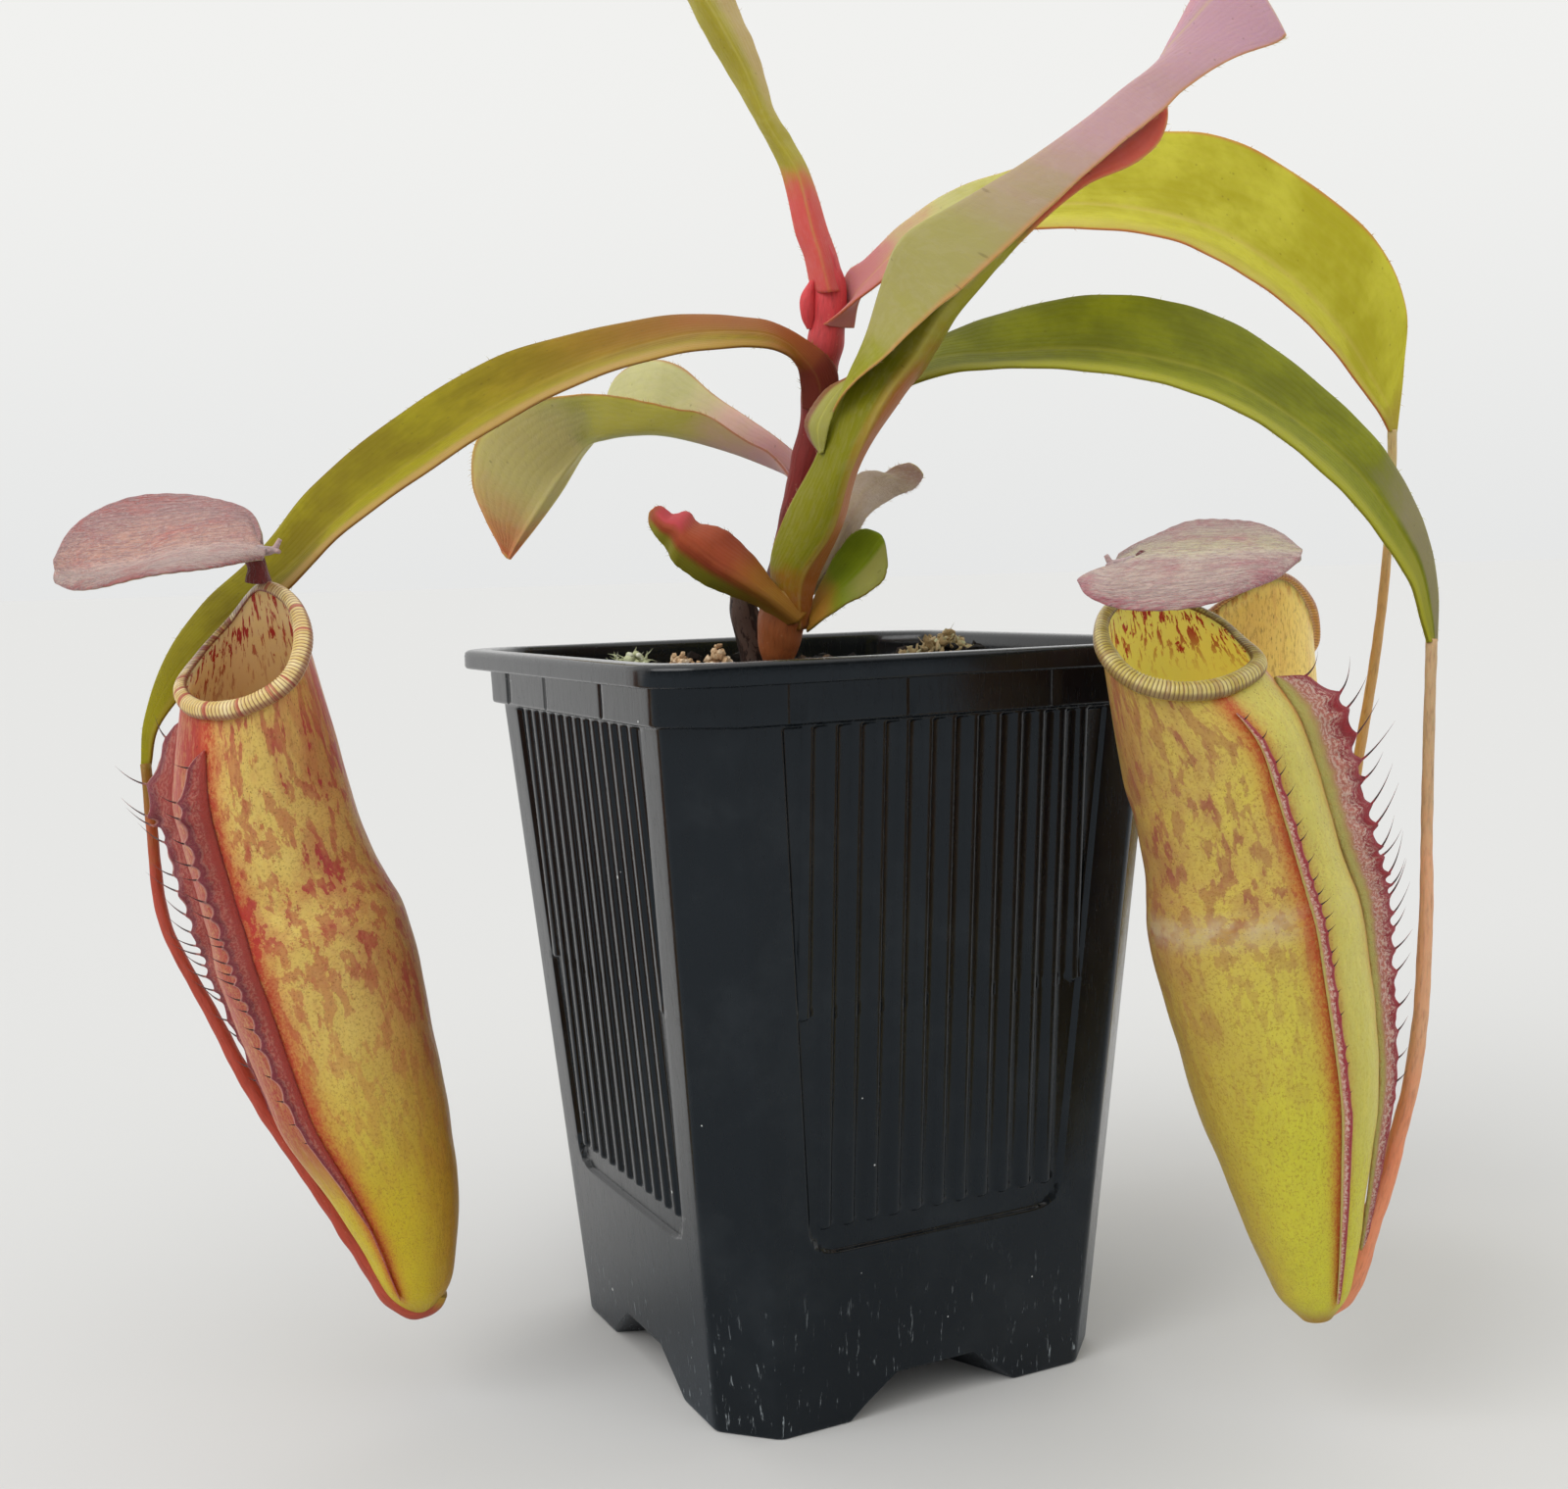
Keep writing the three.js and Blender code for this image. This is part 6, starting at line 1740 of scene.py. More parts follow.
@dataclass(frozen=True)
class Wing:
    """A pitcher's wing: its root's share of a turn from the front, its lean and its width in mm.

    The lean is away from the other wing, or over the furrow between them when less than 0. The widths
    stand at shares of the pitcher's height.
    """

    spread: float
    flare: float
    widths: Sequence[tuple[float, float]]
    hair: float = 1.0


@dataclass(frozen=True)
class PitcherPlan:
    """Stations of one pitcher and its finishes.

    hip is its radius at its widest, front the bearing of its front in degrees, and lip_shares the lip's
    size round the mouth. rim holds the mouth's edge, starting at the front.
    """

    name: str
    axis: Sequence[Sequence[float]]
    hip: float
    front: float
    rim: Sequence[Sequence[float]]
    lip_shares: Sequence[float]
    wings: tuple[Wing, Wing]
    lid: Sequence[Sequence[Sequence[float]]]
    neck: Sequence[Sequence[float]]
    spur: Sequence[Sequence[float]]
    tendril: Sequence[Sequence[float]]
    wall_finish: WallFinish
    lip_finish: LipFinish
    wing_finish: WingFinish
    lid_finish: LidFinish
    tendril_finish: StalkFinish


@dataclass
class Pitcher:
    """One hanging pitcher with its ribbed lip, two fringed wings, lid and tendril."""

    plan: PitcherPlan
    wall: float = 1.1
    inside_foot: float = 0.12
    wing_low: float = 0.08
    wing_high: float = 0.97
    ribs: int = 122
    rib_points: int = 6
    hairs: int = 21
    hair_radius: float = 0.17
    wing_half: float = 0.3
    wing_steps: int = 260
    wall_flow: float = 104.0
    wing_flow: float = 90.0
    lip_flow: float = 12.0

    def across(self, share: Array) -> tuple[Array, Array, Array]:
        """The axis at shares of its height.

        Args:
            share: Shares of the way from the foot to the mouth.

        Returns:
            Its centre, and the directions forward and sideways.
        """
        axis = np.array(self.plan.axis, dtype=float)
        centre = spline(axis, share)
        up = unit(spline(axis, np.minimum(share + 1e-4, 1)) - spline(axis, np.maximum(share - 1e-4, 0)))
        turn = math.radians(self.plan.front)
        facing = np.array([math.sin(turn), -math.cos(turn), 0.0])
        front = unit(facing - up * (up @ facing)[:, None])
        return centre, front, np.cross(up, front)

    def mouth(self, turn: Array) -> tuple[Array, Array, Array]:
        """The mouth's edge.

        Args:
            turn: Shares of a turn from the front.

        Returns:
            Its points, the way out across the lip at each, and the mouth's own normal.
        """
        loop = np.array(self.plan.rim, dtype=float)
        spokes = loop - loop.mean(axis=0)
        normal = unit(np.cross(spokes, np.roll(spokes, -1, axis=0)).sum(axis=0))
        step = 1e-4
        tangent = spline(loop, turn + step, closed=True) - spline(loop, turn - step, closed=True)
        return spline(loop, turn, closed=True), unit(np.cross(tangent, normal)), normal

    def surface(self, turn: Array, rise: Array, inset: float = 0.0, start: float = 0.0) -> Array:
        """Wall points: at each height a circle of the girth about the axis, carried to the mouth.

        Args:
            turn: Shares of a turn from the front.
            rise: Shares of the way from the foot to the mouth.
            inset: How far inside the outer face.
            start: Height share where the stations begin.

        Returns:
            Points as (rises, turns, 3).
        """
        girth = np.array([row for row in GIRTH if row[0] >= start])
        centre, front, side = self.across(girth[:, 0])
        radius = (self.plan.hip * girth[:, 1] - inset)[:, None, None]
        angle = (2 * math.pi * turn)[:, None]
        rows = centre[:, None] + radius * (front[:, None] * np.cos(angle) + side[:, None] * np.sin(angle))
        point, out, _ = self.mouth(turn)
        rows = np.concatenate([rows, (point - out * inset)[None]])
        return spline(rows, rise)

    def flow(self, turn: Array, rise: Array) -> Array:
        """Coordinates along the wall: round it at the hip's radius, and up it, in mm."""
        radius = self.plan.hip * 0.9
        angle = 2 * math.pi * turn
        climb = rise[:, None] * self.wall_flow
        return np.stack(np.broadcast_arrays(radius * np.cos(angle), radius * np.sin(angle), climb), -1)

    def body(self) -> Skin:
        """Outer wall up to the mouth, and the inner wall down to the bottom of the hollow."""
        turn = np.linspace(0, 1, 112, endpoint=False)
        rise, deep = np.linspace(0, 1, 130), np.linspace(1, 0, 60)
        outer = self.surface(turn, rise)
        normals = grid_normals(np.concatenate([outer, outer[:, :1]], axis=1))[:, :-1]
        ends = (ease(rise, 0, 0.1) * ease(-rise, -1, -0.9))[:, None]
        outer = outer + normals * (0.14 * swirl(outer, 9.0, 3) * ends)[..., None]
        inner = self.surface(turn, deep, self.wall, self.inside_foot)
        rings = np.concatenate([outer, inner])
        low = self.inside_foot
        climb = np.concatenate([rise, low + (1 - low) * deep])
        front = np.broadcast_to(np.cos(2 * math.pi * turn), (len(climb), len(turn)))
        near, far = self.plan.wings
        turned = (turn + 0.5) % 1.0 - 0.5
        apart = np.minimum(np.abs(turned - near.spread) / 1.4, np.abs(turned + far.spread))
        furrow = ease(turned, -far.spread, 0.02 - far.spread)
        furrow = furrow * ease(-turned, -near.spread, 0.02 - near.spread)
        marks = {
            "rise": climb[:, None], "front": front, "flow": self.flow(turn, climb),
            "inner": np.concatenate([np.zeros(len(rise)), np.ones(len(deep))])[:, None],
            "seam": np.exp(-((apart / 0.022) ** 2)) * ease(climb, 0.02, 0.12)[:, None],
            "valley": furrow * ease(climb, 0.3, 0.45)[:, None],
        }
        marks["inner"][len(rise) - 1] = 0.5
        return tube_skin(rings, marks)

    def lip(self) -> Skin:
        """The lip: a smooth section carried round the mouth, swelling and sinking with each rib."""
        turn = np.linspace(0, 1, self.ribs * self.rib_points, endpoint=False)
        circle = np.stack([np.cos(2 * math.pi * turn), np.sin(2 * math.pi * turn)], -1)
        point, out, normal = self.mouth(turn)
        section = spline(np.array(LIP), np.linspace(0, 1, 22, endpoint=False), closed=True)
        crest = 0.5 + 0.5 * np.cos(2 * math.pi * self.ribs * turn)
        upper = ease(section[:, 1], 0.0, 0.8)
        slim = 1 - spline(np.array(self.plan.lip_shares, dtype=float), turn, closed=True)[:, None]
        grow = 1 + 0.12 * (crest[:, None] ** 0.7 - 0.6) * (0.4 + 0.6 * upper) * (1 - slim)
        wide = 1 + 0.08 * swirl(circle * 8, 7.0, 4)
        across = np.where(section[:, 0] > 0, section[:, 0] * (1 - slim), section[:, 0]) * wide[:, None] * grow
        rings = point[:, None] + out[:, None] * across[..., None]
        rings = rings + normal * (section[:, 1] * grow * (1 - slim))[..., None]
        span = (section[:, 0] - section[:, 0].min()) / np.ptp(section[:, 0])
        marks = {
            "out": np.broadcast_to(span, rings.shape[:2]),
            "rib": np.broadcast_to(crest[:, None], rings.shape[:2]), "slim": slim,
            "flow": np.stack(np.broadcast_arrays(*(self.lip_flow * circle.T[:, :, None]), span), -1),
        }
        return loop_skin(rings, marks)

    def wing_lines(self, side: int, share: Array) -> tuple[Array, Array, Array, Array]:
        """A wing's own lines.

        Args:
            side: 1 for the first wing, -1 for the other.
            share: Shares of its length from its foot.

        Returns:
            Its root, its way out, its way along and its width.
        """
        wing = self.plan.wings[0 if side > 0 else 1]
        up = self.wing_low + (self.wing_high - self.wing_low) * share
        turns = np.array([side * wing.spread, side * wing.spread + 0.5, side * (wing.spread + 0.02)])
        lines = self.surface(turns, up, -0.3)
        root, opposite, beside = lines[:, 0], lines[:, 1], lines[:, 2]
        lean = unit(unit(root - opposite) + unit(beside - root) * wing.flare)
        rises, widths = np.array(wing.widths, dtype=float).T
        end = np.sqrt(np.clip(1 - (np.clip(share - 0.95, 0, 1) / 0.05) ** 2, 0.0, 1.0))
        width = np.interp(up, rises, widths) * end
        return root, lean, unit(np.gradient(root, axis=0)), np.maximum(width, 0.12)

    def wing(self, side: int) -> list[Skin]:
        """A wing: a thin crumpled sheet whose edge hangs in scallops between long curved hairs."""
        share = np.linspace(0, 1, self.wing_steps + 1)
        root, lean, along, width = self.wing_lines(side, share)
        source = np.random.default_rng(5 + side)
        at = np.linspace(0.38, 0.985, self.hairs) + source.uniform(-0.007, 0.007, self.hairs)
        gap = np.abs((np.interp(share, at, np.arange(self.hairs)) % 1.0) - 0.5) * 2
        scallop = 1 - 0.2 * (1 - gap**2.4) * ease(share, 0.36, 0.45)
        out = np.concatenate([[-0.12], np.linspace(0, 1, 13)])
        middle = root[:, None] + lean[:, None] * (width * scallop)[:, None, None] * out[:, None]
        bend = np.cross(lean, along)
        crumple = width[:, None] * (0.1 * swirl(middle, 6.0, 7 + side) + 0.08 * swirl(middle, 2.2, 9 + side))
        middle = middle + bend[:, None] * (crumple * np.clip(out, 0, 1) ** 1.2)[..., None]
        edge = np.clip(1 - np.abs(2 * np.linspace(0, 1, len(out)) - 1) ** 6, 0, 1)
        half = self.wing_half * np.sqrt(edge) * np.ones((len(share), 1))
        climb = share[:, None] * self.wing_flow
        flow = np.stack(np.broadcast_arrays(out * width[:, None], np.zeros_like(half), climb), -1)
        marks = {"out": np.broadcast_to(np.clip(out, 0, 1), half.shape), "flow": flow}
        sheet = sheet_skin(middle, half, marks, np.zeros_like(half), np.zeros_like(half))
        root, lean, along, width = self.wing_lines(side, at)
        rows = np.clip(np.round(at * self.wing_steps).astype(int), 0, self.wing_steps)
        base = middle[rows, -1] - lean * 0.4
        aims = unit(lean + along * 0.35 + source.normal(size=base.shape) * 0.12)
        long = self.plan.wings[0 if side > 0 else 1].hair
        grown = 1.6 + 3.4 * ease(at, 0.3, 0.8)
        length = self.plan.hip / 14 * long * grown * source.uniform(0.8, 1.15, self.hairs)
        curls = along * 0.4 + source.normal(size=base.shape) * 0.06
        hairs = bristles(base, aims, curls, length, np.full(self.hairs, self.hair_radius), 8)
        hairs.marks["out"] = np.ones(len(hairs.points))
        return [sheet, hairs]

    def lid(self) -> list[Skin]:
        """The lid folded along its keel, its neck behind the mouth and its forked spur."""
        plan = self.plan
        leaf = Blade(
            "", "", "", plan.lid, LeafFinish("", *["000000"] * 5), wave=0.2, waves=2, ripple=0.05, thick=0.9,
            rib=0.3, rows=90,
        )
        sheet, _ = leaf.skin()
        neck = stalk_skin(np.array(plan.neck, dtype=float), 20, 16, 0.1, 4)
        neck.marks["neck"] = np.ones(len(neck.points))
        spur_rows = np.array(plan.spur, dtype=float)
        spur = stalk_skin(spur_rows, 10, 10, 0.1, 6)
        fork = spur_rows.copy()
        fork[-1, :3] = spur_rows[1, :3] + (spur_rows[-1, :3] - spur_rows[1, :3]) * [1, 1, -0.2] + [0, -0.8, 0]
        other = stalk_skin(fork, 8, 8, 0.1, 8)
        for skin in (spur, other):
            skin.marks["spur"] = np.ones(len(skin.points))
        return [sheet, neck, spur, other]

    def build(self, effects: Effects) -> None:
        """Makes the pitcher's pieces."""
        plan, name = self.plan, self.plan.name
        Stalk(
            f"tendril_skin_{name}", f"tendril_{name}", "tendril", plan.tendril, plan.tendril_finish,
            sides=18, steps=220, rough=0.07,
        ).build(effects)
        make_piece(
            f"pitcher_wall_{name}", [self.body()], plan.wall_finish.build(effects),
            [f"pitcher_{name}"],
        )
        make_piece(
            f"pitcher_lip_{name}", [self.lip()], plan.lip_finish.build(effects),
            [f"peristome_{name}"],
        )
        wing = plan.wing_finish.build(effects)
        make_piece(f"fringe_{name}_a", self.wing(1), wing, [f"wing_{name}_a"])
        make_piece(f"fringe_{name}_b", self.wing(-1), wing, [f"wing_{name}_b"])
        make_piece(
            f"lid_leaf_{name}", self.lid(), plan.lid_finish.build(effects), [f"lid_{name}"],
        )


LEFT = PitcherPlan(
    name="left",
    axis=(
        (-60.2, -25, 13.4), (-62.7, -25, 30.7), (-68.4, -25, 48), (-72.6, -25, 65.4), (-77.8, -25.5, 82.7),
        (-80.6, -27, 100),
    ),
    hip=13.9,
    front=-65,
    rim=(
        (-88.4, -31, 106.6), (-84.5, -35.2, 103.8), (-77.4, -38, 104.2), (-71.6, -37.2, 107.5),
        (-70.3, -33.4, 112.8), (-73.2, -27.6, 118.1), (-78.8, -23.4, 120.6), (-84.6, -19.8, 115.8),
        (-88.2, -23, 111),
    ),
    lip_shares=(0.75, 1, 1, 1, 0.95, 0.8, 0.35, 0.3, 0.4),
    wings=(
        Wing(
            0.125, -1.1,
            (
                (0.08, 0.1), (0.28, 0.2), (0.4, 1.4), (0.5, 2.8), (0.6, 3.2), (0.75, 3.6), (0.9, 4.2),
                (0.97, 3.6),
            ),
            0.5,
        ),
        Wing(
            0.085, 0.3,
            (
                (0.08, 0.1), (0.28, 0.2), (0.42, 1.2), (0.55, 2.4), (0.65, 3.3), (0.75, 4), (0.85, 5),
                (0.92, 6.6), (0.97, 5.6),
            ),
        ),
    ),
    lid=(
        (
            (-79.2, -21, 128.6), (-78.7, -22.8, 126.8), (-77.5, -25, 125.5), (-77, -27, 124.9),
            (-76.7, -29, 124.3),
        ),
        ((-81.8, -16, 131.4), (-81, -19, 128.8), (-80, -25, 126.1), (-78.7, -31, 124.9), (-78, -34, 123.9)),
        ((-87, -11, 133.4), (-86, -16.5, 130.2), (-84.4, -25, 126.3), (-82.3, -33, 124.7), (-81, -38, 123.3)),
        ((-93.7, -8, 134.8), (-92, -15, 130.6), (-90, -25, 125.7), (-87.3, -34, 124), (-85.6, -40, 122.6)),
        ((-101, -8, 134.5), (-99.1, -15, 129.6), (-95.8, -25, 124.3), (-93.1, -33, 123), (-91.6, -38, 121.8)),
        (
            (-106.9, -10, 132.3), (-104.7, -16, 128.3), (-101.8, -24, 123.7), (-99.6, -30, 122.2),
            (-98.1, -34, 121),
        ),
        (
            (-109.3, -14, 129.4), (-107.9, -18, 126.4), (-105.8, -23, 123.2), (-104.3, -27, 122.1),
            (-103.2, -30, 120.8),
        ),
        (
            (-109.9, -18, 125.3), (-109.4, -19.5, 124.4), (-108.7, -21, 123.4), (-108.2, -22.5, 122.6),
            (-107.5, -24, 121.6),
        ),
    ),
    neck=((-79, -23.9, 121.3, 1.8), (-78.9, -24.4, 123.4, 1.3), (-79.6, -25, 125.6, 1.5)),
    spur=((-78.6, -25, 125.6, 0.8), (-76.4, -25, 125.6, 0.5), (-75.3, -25, 127.1, 0.3)),
    tendril=(
        (-101.4, -10.3, 94.4, 0.8), (-100.3, -12.4, 84, 0.85), (-99.1, -14.5, 74.4, 0.9),
        (-97.1, -16.5, 69.1, 0.9), (-94.1, -18, 63.8, 0.95), (-90.4, -19.5, 57.6, 1),
        (-86, -21.5, 49.8, 1.15), (-81, -23, 42, 1.3), (-76.8, -24, 36.2, 1.4), (-72.7, -25, 30, 1.35),
        (-69.9, -25.3, 25.7, 1.6), (-67.2, -25.3, 21.7, 2), (-65.1, -25.2, 18.7, 2.4),
        (-62.9, -25, 16.3, 2.6), (-60, -25, 15.8, 2.5), (-58.1, -25, 17.6, 2),
    ),
    wall_finish=WallFinish(
        "pitcher_wall_left", "dcc470", "d0b464", "c8b42c", "ac3440", "b8643c", "b83c2c", "a03c34", "d8bc84",
        "a82c24", "b8982c", cover=0.53, cover_from=0.36, strong=0.95, glow=0.05),
    lip_finish=LipFinish("pitcher_lip_left", "dcc07c", "ecd8a4", "b0443c", "7c3024", stripes=0.8),
    wing_finish=WingFinish(
        "pitcher_wing_left", "b43c2c", "b04038", "dc9c84", "8c2c38", "d09484", mottle=0.4, edge_from=0.55),
    lid_finish=LidFinish("pitcher_lid_left", "a07874", "b48474", "b09488", "845c60", "b05448", "a08a58"),
    tendril_finish=StalkFinish(
        "tendril_left", "8c6c20", "ac4430", "b04c34", 0.05, 0.8, end="b48c2c", pores=0.1,
    ),
)

RIGHT = PitcherPlan(
    name="right",
    axis=(
        (66.6, -40, 15), (64.2, -40, 32.6), (61.8, -40, 50.2), (58.5, -40, 67.8), (55, -40, 85.4),
        (49.5, -41, 103),
    ),
    hip=14.2,
    front=62,
    rim=(
        (57.5, -43.5, 106.4), (57, -37, 109.8), (54.5, -32, 112.8), (49.1, -30, 115.2), (42.6, -33, 116),
        (38, -39, 113.4), (36.6, -46, 109.4), (39.2, -50.6, 105.4), (44.8, -52, 103.7), (51.8, -49, 104),
    ),
    lip_shares=(0.9, 0.4, 0.35, 0.35, 0.4, 0.6, 0.85, 1, 1, 1),
    wings=(
        Wing(
            0.05, 0.5,
            (
                (0.08, 0.2), (0.3, 1.6), (0.45, 3.2), (0.55, 4.4), (0.7, 5.6), (0.85, 6.8), (0.95, 7),
                (0.97, 5.6),
            ),
        ),
        Wing(0.118, -0.8, ((0.08, 0.4), (0.3, 1), (0.5, 1.5), (0.7, 1.5), (0.9, 1.2), (0.97, 0.7)), 0.35),
    ),
    lid=(
        (
            (40.7, -36, 121.7), (41.3, -37.5, 121.1), (40.6, -41, 120.4), (36.5, -44, 119.5),
            (33.4, -46, 118.4),
        ),
        ((43.8, -33, 123.2), (43.6, -36, 122.1), (42.2, -41, 121), (36.8, -49, 118.1), (33.8, -52, 116.4)),
        ((47.7, -30, 124.5), (46.9, -35, 122.8), (45.3, -41, 121.3), (40.4, -50, 117.5), (37.7, -54, 114.6)),
        ((52.5, -28, 126), (51, -34.5, 123.6), (49.5, -41, 121.4), (45.6, -50, 117.6), (43.3, -55, 114.5)),
        (
            (57.2, -28, 126.3), (55.5, -34.5, 123.7), (53.9, -41, 121.5), (51.1, -49, 118.2),
            (49.2, -54, 115.3),
        ),
        ((61, -29, 125.7), (59.5, -35, 123.5), (57.9, -41, 121.5), (55.9, -47, 119.1), (54.5, -51, 116.6)),
        (
            (63.8, -32.5, 123.8), (62.7, -36.5, 122.5), (61.6, -40.5, 121.3), (60.3, -44, 119.8),
            (59.2, -47, 118),
        ),
        ((64.8, -38, 121.5), (64.6, -39, 121.2), (64.3, -40, 120.9), (64, -41, 120.7), (63.5, -42, 120.3)),
    ),
    neck=((40.4, -36, 116.7, 1.8), (41.6, -38, 119, 1.3), (43.4, -40.6, 120.8, 1.5)),
    spur=((41.8, -41, 120.7, 0.8), (39, -41.4, 120.4, 0.5), (38, -41.6, 121.6, 0.3)),
    tendril=(
        (85, -31, 108.9, 0.75), (84.2, -32.4, 97, 0.78), (83.4, -34, 82.2, 0.8), (83.2, -34.5, 77.9, 0.85),
        (83, -35, 71.4, 0.95), (82.4, -36, 65, 1), (81.9, -36.5, 58.6, 1.05), (81, -37, 52.1, 1.1),
        (79.9, -37.5, 46.5, 1.1), (78.4, -38, 41.4, 1.15), (77, -38.6, 36.7, 1.25), (75.1, -39.2, 32.1, 1.4),
        (73.4, -39.6, 27.8, 1.6), (71.8, -40, 23.5, 1.9), (69.8, -40, 20, 2.2), (67.2, -40, 18.1, 2.2),
        (65.1, -40, 18.9, 2),
    ),
    wall_finish=WallFinish(
        "pitcher_wall_right", "ccbc58", "c4ac5c", "c8c440", "985048", "a87048", "b84c2c", "c4bc60", "e0d468",
        "a83024", "a88434", cover=0.5, cover_from=0.45, strong=0.9, band=0.65, glow=0.2),
    lip_finish=LipFinish("pitcher_lip_right", "c0ac58", "d4c484", "946040", "6a4428", stripes=0.35),
    wing_finish=WingFinish(
        "pitcher_wing_right", "ccc468", "c87868", "e8ccbc", "a82c38", "a03038",
        mottle=0.85, edge_from=0.5, trim_share=0.0),
    lid_finish=LidFinish("pitcher_lid_right", "b0988c", "b8ac84", "b49a90", "946c6c", "a8505c", "a09460"),
    tendril_finish=StalkFinish(
        "tendril_right", "c0a078", "d8a47c", "e49068", 0.12, 0.5, end="b88c50", pores=0.2,
    ),
)

BACK = PitcherPlan(
    name="back",
    axis=(
        (80.4, 31, 15), (80.5, 30, 31.6), (79.5, 29, 48.2), (78, 28, 64.8), (
            76.5, 27.5, 81.4,
        ), (75.2, 28, 98),
    ),
    hip=13.2,
    front=190,
    rim=(
        (73, 39.3, 98.8), (65.8, 34.5, 101), (63.9, 26, 107), (68.4, 18.8, 113.2), (77, 16.7, 117.3),
        (83.2, 21.6, 112.6), (86.1, 29.6, 105.4), (81.6, 37.2, 100.6),
    ),
    lip_shares=(1, 1, 0.8, 0.6, 0.8, 1, 1, 1),
    wings=(Wing(0.085, 0.3, ((0.08, 0.2), (0.3, 0.8), (0.55, 2), (0.85, 3.8), (0.97, 3.4))),) * 2,
    lid=(
        ((79, 16.5, 121.2), (78, 17.8, 121), (76.2, 19.4, 120.8), (73.6, 17.2, 121), (72, 15.4, 121.4)),
        ((80.4, 21, 121.4), (78.4, 21.6, 121.2), (75.4, 22.4, 120.9), (71, 20.4, 121.4), (66.6, 18.4, 122)),
        ((81, 27, 121.6), (78, 27, 121.3), (74.2, 27, 121), (69, 26, 121.6), (64, 25, 122.4)),
        ((80, 32.6, 121.8), (77, 32.4, 121.5), (73.4, 32, 121.2), (68.6, 31.2, 121.8), (64, 30.4, 122.4)),
        ((77.6, 37.8, 121.8), (75.4, 37.4, 121.6), (72.6, 37, 121.4), (69.4, 36.4, 121.8), (66, 35.6, 122.2)),
        ((73.4, 41.2, 121.7), (72.8, 41.2, 121.6), (72, 41.1, 121.6), (71.2, 41, 121.7), (70.5, 40.9, 121.8)),
    ),
    neck=((76.8, 17.2, 118.2, 1.7), (76.4, 18.4, 119.8, 1.3), (75.8, 21, 120.8, 1.5)),
    spur=((76, 20.4, 120.8, 0.8), (76.2, 17.8, 120.9, 0.5), (76.2, 16.6, 121.8, 0.3)),
    tendril=(
        (96.7, 19.7, 141.4, 0.75), (96.9, 20.6, 132, 0.75), (96.8, 22, 122.4, 0.75), (96.4, 24, 110.8, 0.8),
        (95.6, 27, 97.8, 0.85), (94.6, 30, 85.7, 0.9), (93.8, 33, 73, 1), (92.2, 37, 56, 1.2),
        (90, 40.4, 39, 1.5), (86, 38.6, 22, 1.8), (81, 32.4, 16.6, 1.6),
    ),
    wall_finish=WallFinish(
        "pitcher_wall_back", "f0dc7c", "e8d070", "dccc50", "c89058", "e8cc74", "c87848", "ecdc80", "f0e08c",
        "b8603c", "b8944c", cover=0.3, cover_from=0.4, strong=0.4, glow=0.15),
    lip_finish=LipFinish("pitcher_lip_back", "d4a060", "dcb070", "b06038", "8a4a2c", stripes=0.4),
    wing_finish=WingFinish("pitcher_wing_back", "b8683c", "b05848", "d8b8a0", "9a3a3c", "9a3a3c", mottle=0.6),
    lid_finish=LidFinish("pitcher_lid_back", "b08c84", "b8a08c", "b08c90", "986c74", "a07a78", "a09460"),
    tendril_finish=StalkFinish("tendril_back", "c4ac74", "c89c60", "b07044", 0.2, 0.7, pores=0.1),
)


# ---- room, light and camera ------------------------------------------------------------------------


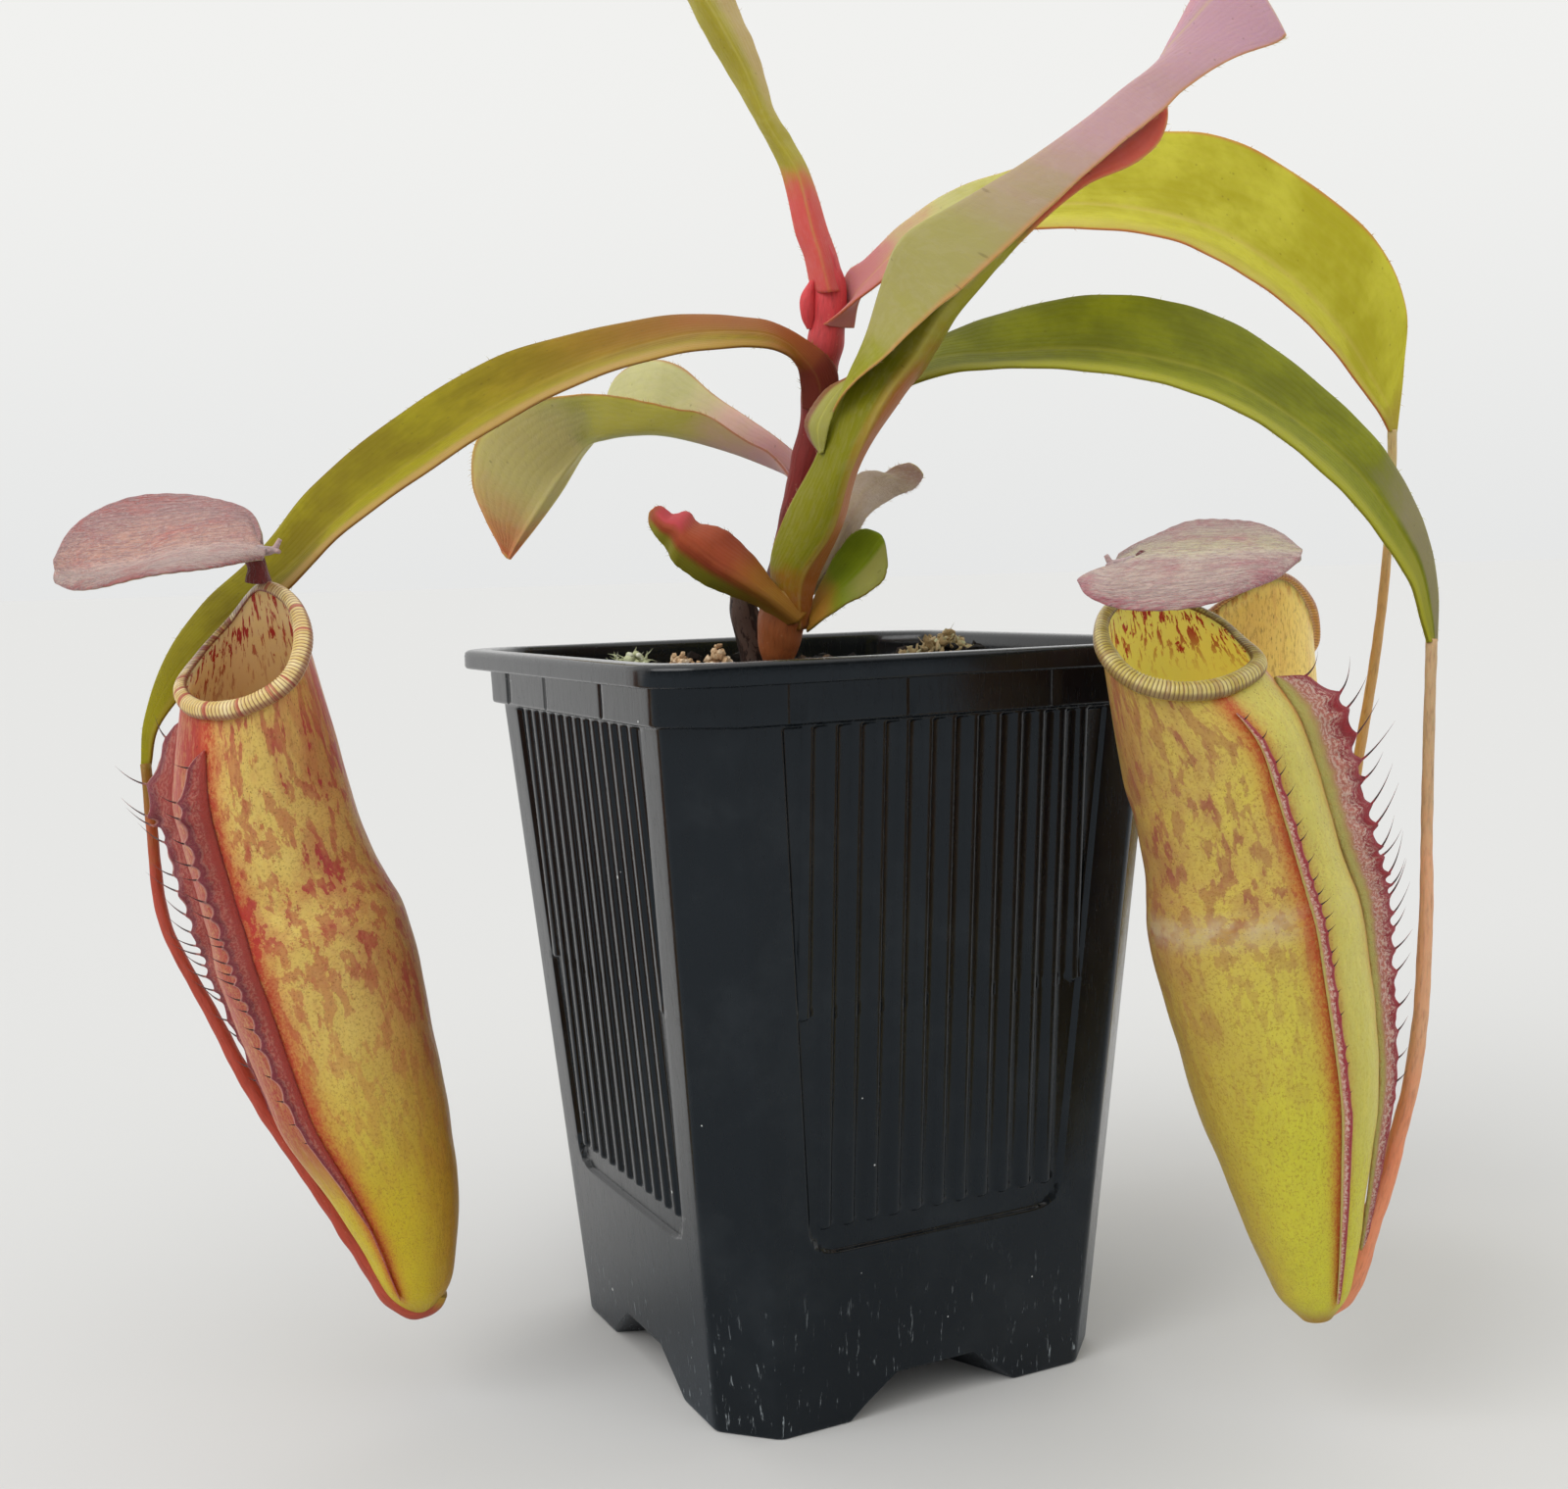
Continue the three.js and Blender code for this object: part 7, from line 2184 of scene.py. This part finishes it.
@dataclass
class Studio:
    """A pale floor, soft light and the camera at the photograph's place."""

    eye: tuple[float, float, float] = (-0.1292, -0.2472, 0.12)
    right: tuple[float, float, float] = (0.89313, -0.44898, -0.02699)
    down: tuple[float, float, float] = (-0.06608, -0.07163, -0.99524)
    ahead: tuple[float, float, float] = (0.44491, 0.89067, -0.09365)
    lens: float = 41.07
    key_from: tuple[float, float, float] = (-0.7, -0.55, 0.75)
    key_strength: float = 1.1
    key_spread: float = 40
    floor_reach: float = 60.0
    floor_thick: float = 0.02

    def toward(self) -> tuple[float, float, float]:
        """Level direction from the plant to the camera's side."""
        return math.sin(PLANT_TURN), -math.cos(PLANT_TURN), 0.0

    def camera(self) -> None:
        """Places the camera."""
        data = bpy.data.cameras.new("camera")
        data.lens, data.sensor_width, data.clip_start = self.lens, 36.0, 0.01
        data.sensor_fit = "HORIZONTAL"
        camera = bpy.data.objects.new("camera", data)
        rows = [[r, -d, -a, e] for r, d, a, e in zip(self.right, self.down, self.ahead, self.eye)]
        camera.matrix_world = Matrix([*rows, [0, 0, 0, 1]])
        bpy.context.scene.collection.objects.link(camera)
        bpy.context.scene.camera = camera

    def sun(self, name: str, place: Sequence[float], strength: float, spread: float) -> None:
        """An even soft light from a direction in the plant's frame, spread over some degrees."""
        data = bpy.data.lights.new(name, "SUN")
        data.energy, data.angle = strength, math.radians(spread)
        lamp = bpy.data.objects.new(name, data)
        spot = Matrix.Rotation(PLANT_TURN, 3, "Z") @ Vector(place)
        lamp.matrix_world = Matrix.Translation(spot) @ (-spot).to_track_quat("-Z", "Y").to_matrix().to_4x4()
        bpy.context.scene.collection.objects.link(lamp)

    def floor(self) -> None:
        """A wide round slab of paper."""
        angle = np.linspace(0, 2 * math.pi, 96, endpoint=False)
        rim = np.stack([np.cos(angle), np.sin(angle), np.zeros(96)], -1)
        half, under = self.floor_reach / 2, -self.floor_thick
        section = ((half, under), (self.floor_reach, under), (self.floor_reach, 0.0), (half, 0.0))
        skin = tube_skin(np.stack([rim * [reach, reach, 0] + [0, 0, z] for reach, z in section]))
        mesh = bpy.data.meshes.new("floor")
        mesh.from_pydata(skin.points.tolist(), [], skin.quads.tolist() + skin.tris.tolist())

        def lay(graph: Graph) -> dict[str, object]:
            """Lays out the paper: pale, and darker in reflections of its part before the plant."""
            ends = {0: graph.place(), 1: self.toward()}
            near = graph.add("VectorMath", ends, operation="DOT_PRODUCT").outputs["Value"]
            mirrored = graph.mix(graph.ramp(near, -60.0, 60.0), paint("e4e4e4"), paint("949da6"))
            colour = graph.mix(graph.add("LightPath").outputs["Is Glossy Ray"], paint("d0d0cf"), mirrored)
            return {"Base Color": colour, "Roughness": 1.0, "Specular IOR Level": 0.0}

        mesh.materials.append(new_material("floor_paper", lay))
        floor = bpy.data.objects.new("floor", mesh)
        bpy.context.scene.collection.objects.link(floor)

    def room(self) -> None:
        """Even light around, darker on the camera's side, and a plain backdrop."""
        world = bpy.data.worlds.new("soft_room")
        world.use_nodes = True
        graph = Graph(world.node_tree)
        path = graph.add("LightPath").outputs
        way = graph.add("TexCoord").outputs["Generated"]
        facing = graph.add("VectorMath", {0: way, 1: self.toward()}, operation="DOT_PRODUCT").outputs["Value"]
        high = graph.add("SeparateXYZ", {0: way}).outputs["Z"]
        front = graph.ramp(facing, 0.45, -0.15, 0.04, 1.0)
        mirrored = graph.math("MAXIMUM", front, graph.ramp(high, 0.45, 0.8))
        even = graph.math("MAXIMUM", graph.ramp(facing, 0.75, 0.1, 0.7, 1.0), graph.ramp(high, 0.3, 0.65))
        level = graph.mix(path["Is Glossy Ray"], even, mirrored)
        glow = graph.mix(level, paint("000000"), (1.08, 1.08, 1.07, 1.0))
        backdrop = graph.mix(graph.ramp(high, -0.1, 0.3), paint("e4e5e5"), paint("f1f1ef"))
        graph.feed(
            world.node_tree.nodes["Background"].inputs["Color"],
            graph.mix(path["Is Camera Ray"], glow, backdrop),
        )
        bpy.context.scene.world = world

    def build(self) -> None:
        """Sets the stage."""
        self.camera()
        self.floor()
        self.room()
        self.sun("key_light", self.key_from, self.key_strength, self.key_spread)
        bpy.context.scene.view_settings.view_transform = "Standard"


def main() -> None:
    """Builds the pieces in order."""
    logging.basicConfig(level=logging.INFO, format="%(message)s")
    effects = Effects()
    Studio().build()
    NurseryPot().build(effects)
    PottingSurface().build(effects)
    Foliage().build(effects)
    for plan in (LEFT, RIGHT, BACK):
        Pitcher(plan).build(effects)


if __name__ == "__main__":
    main()
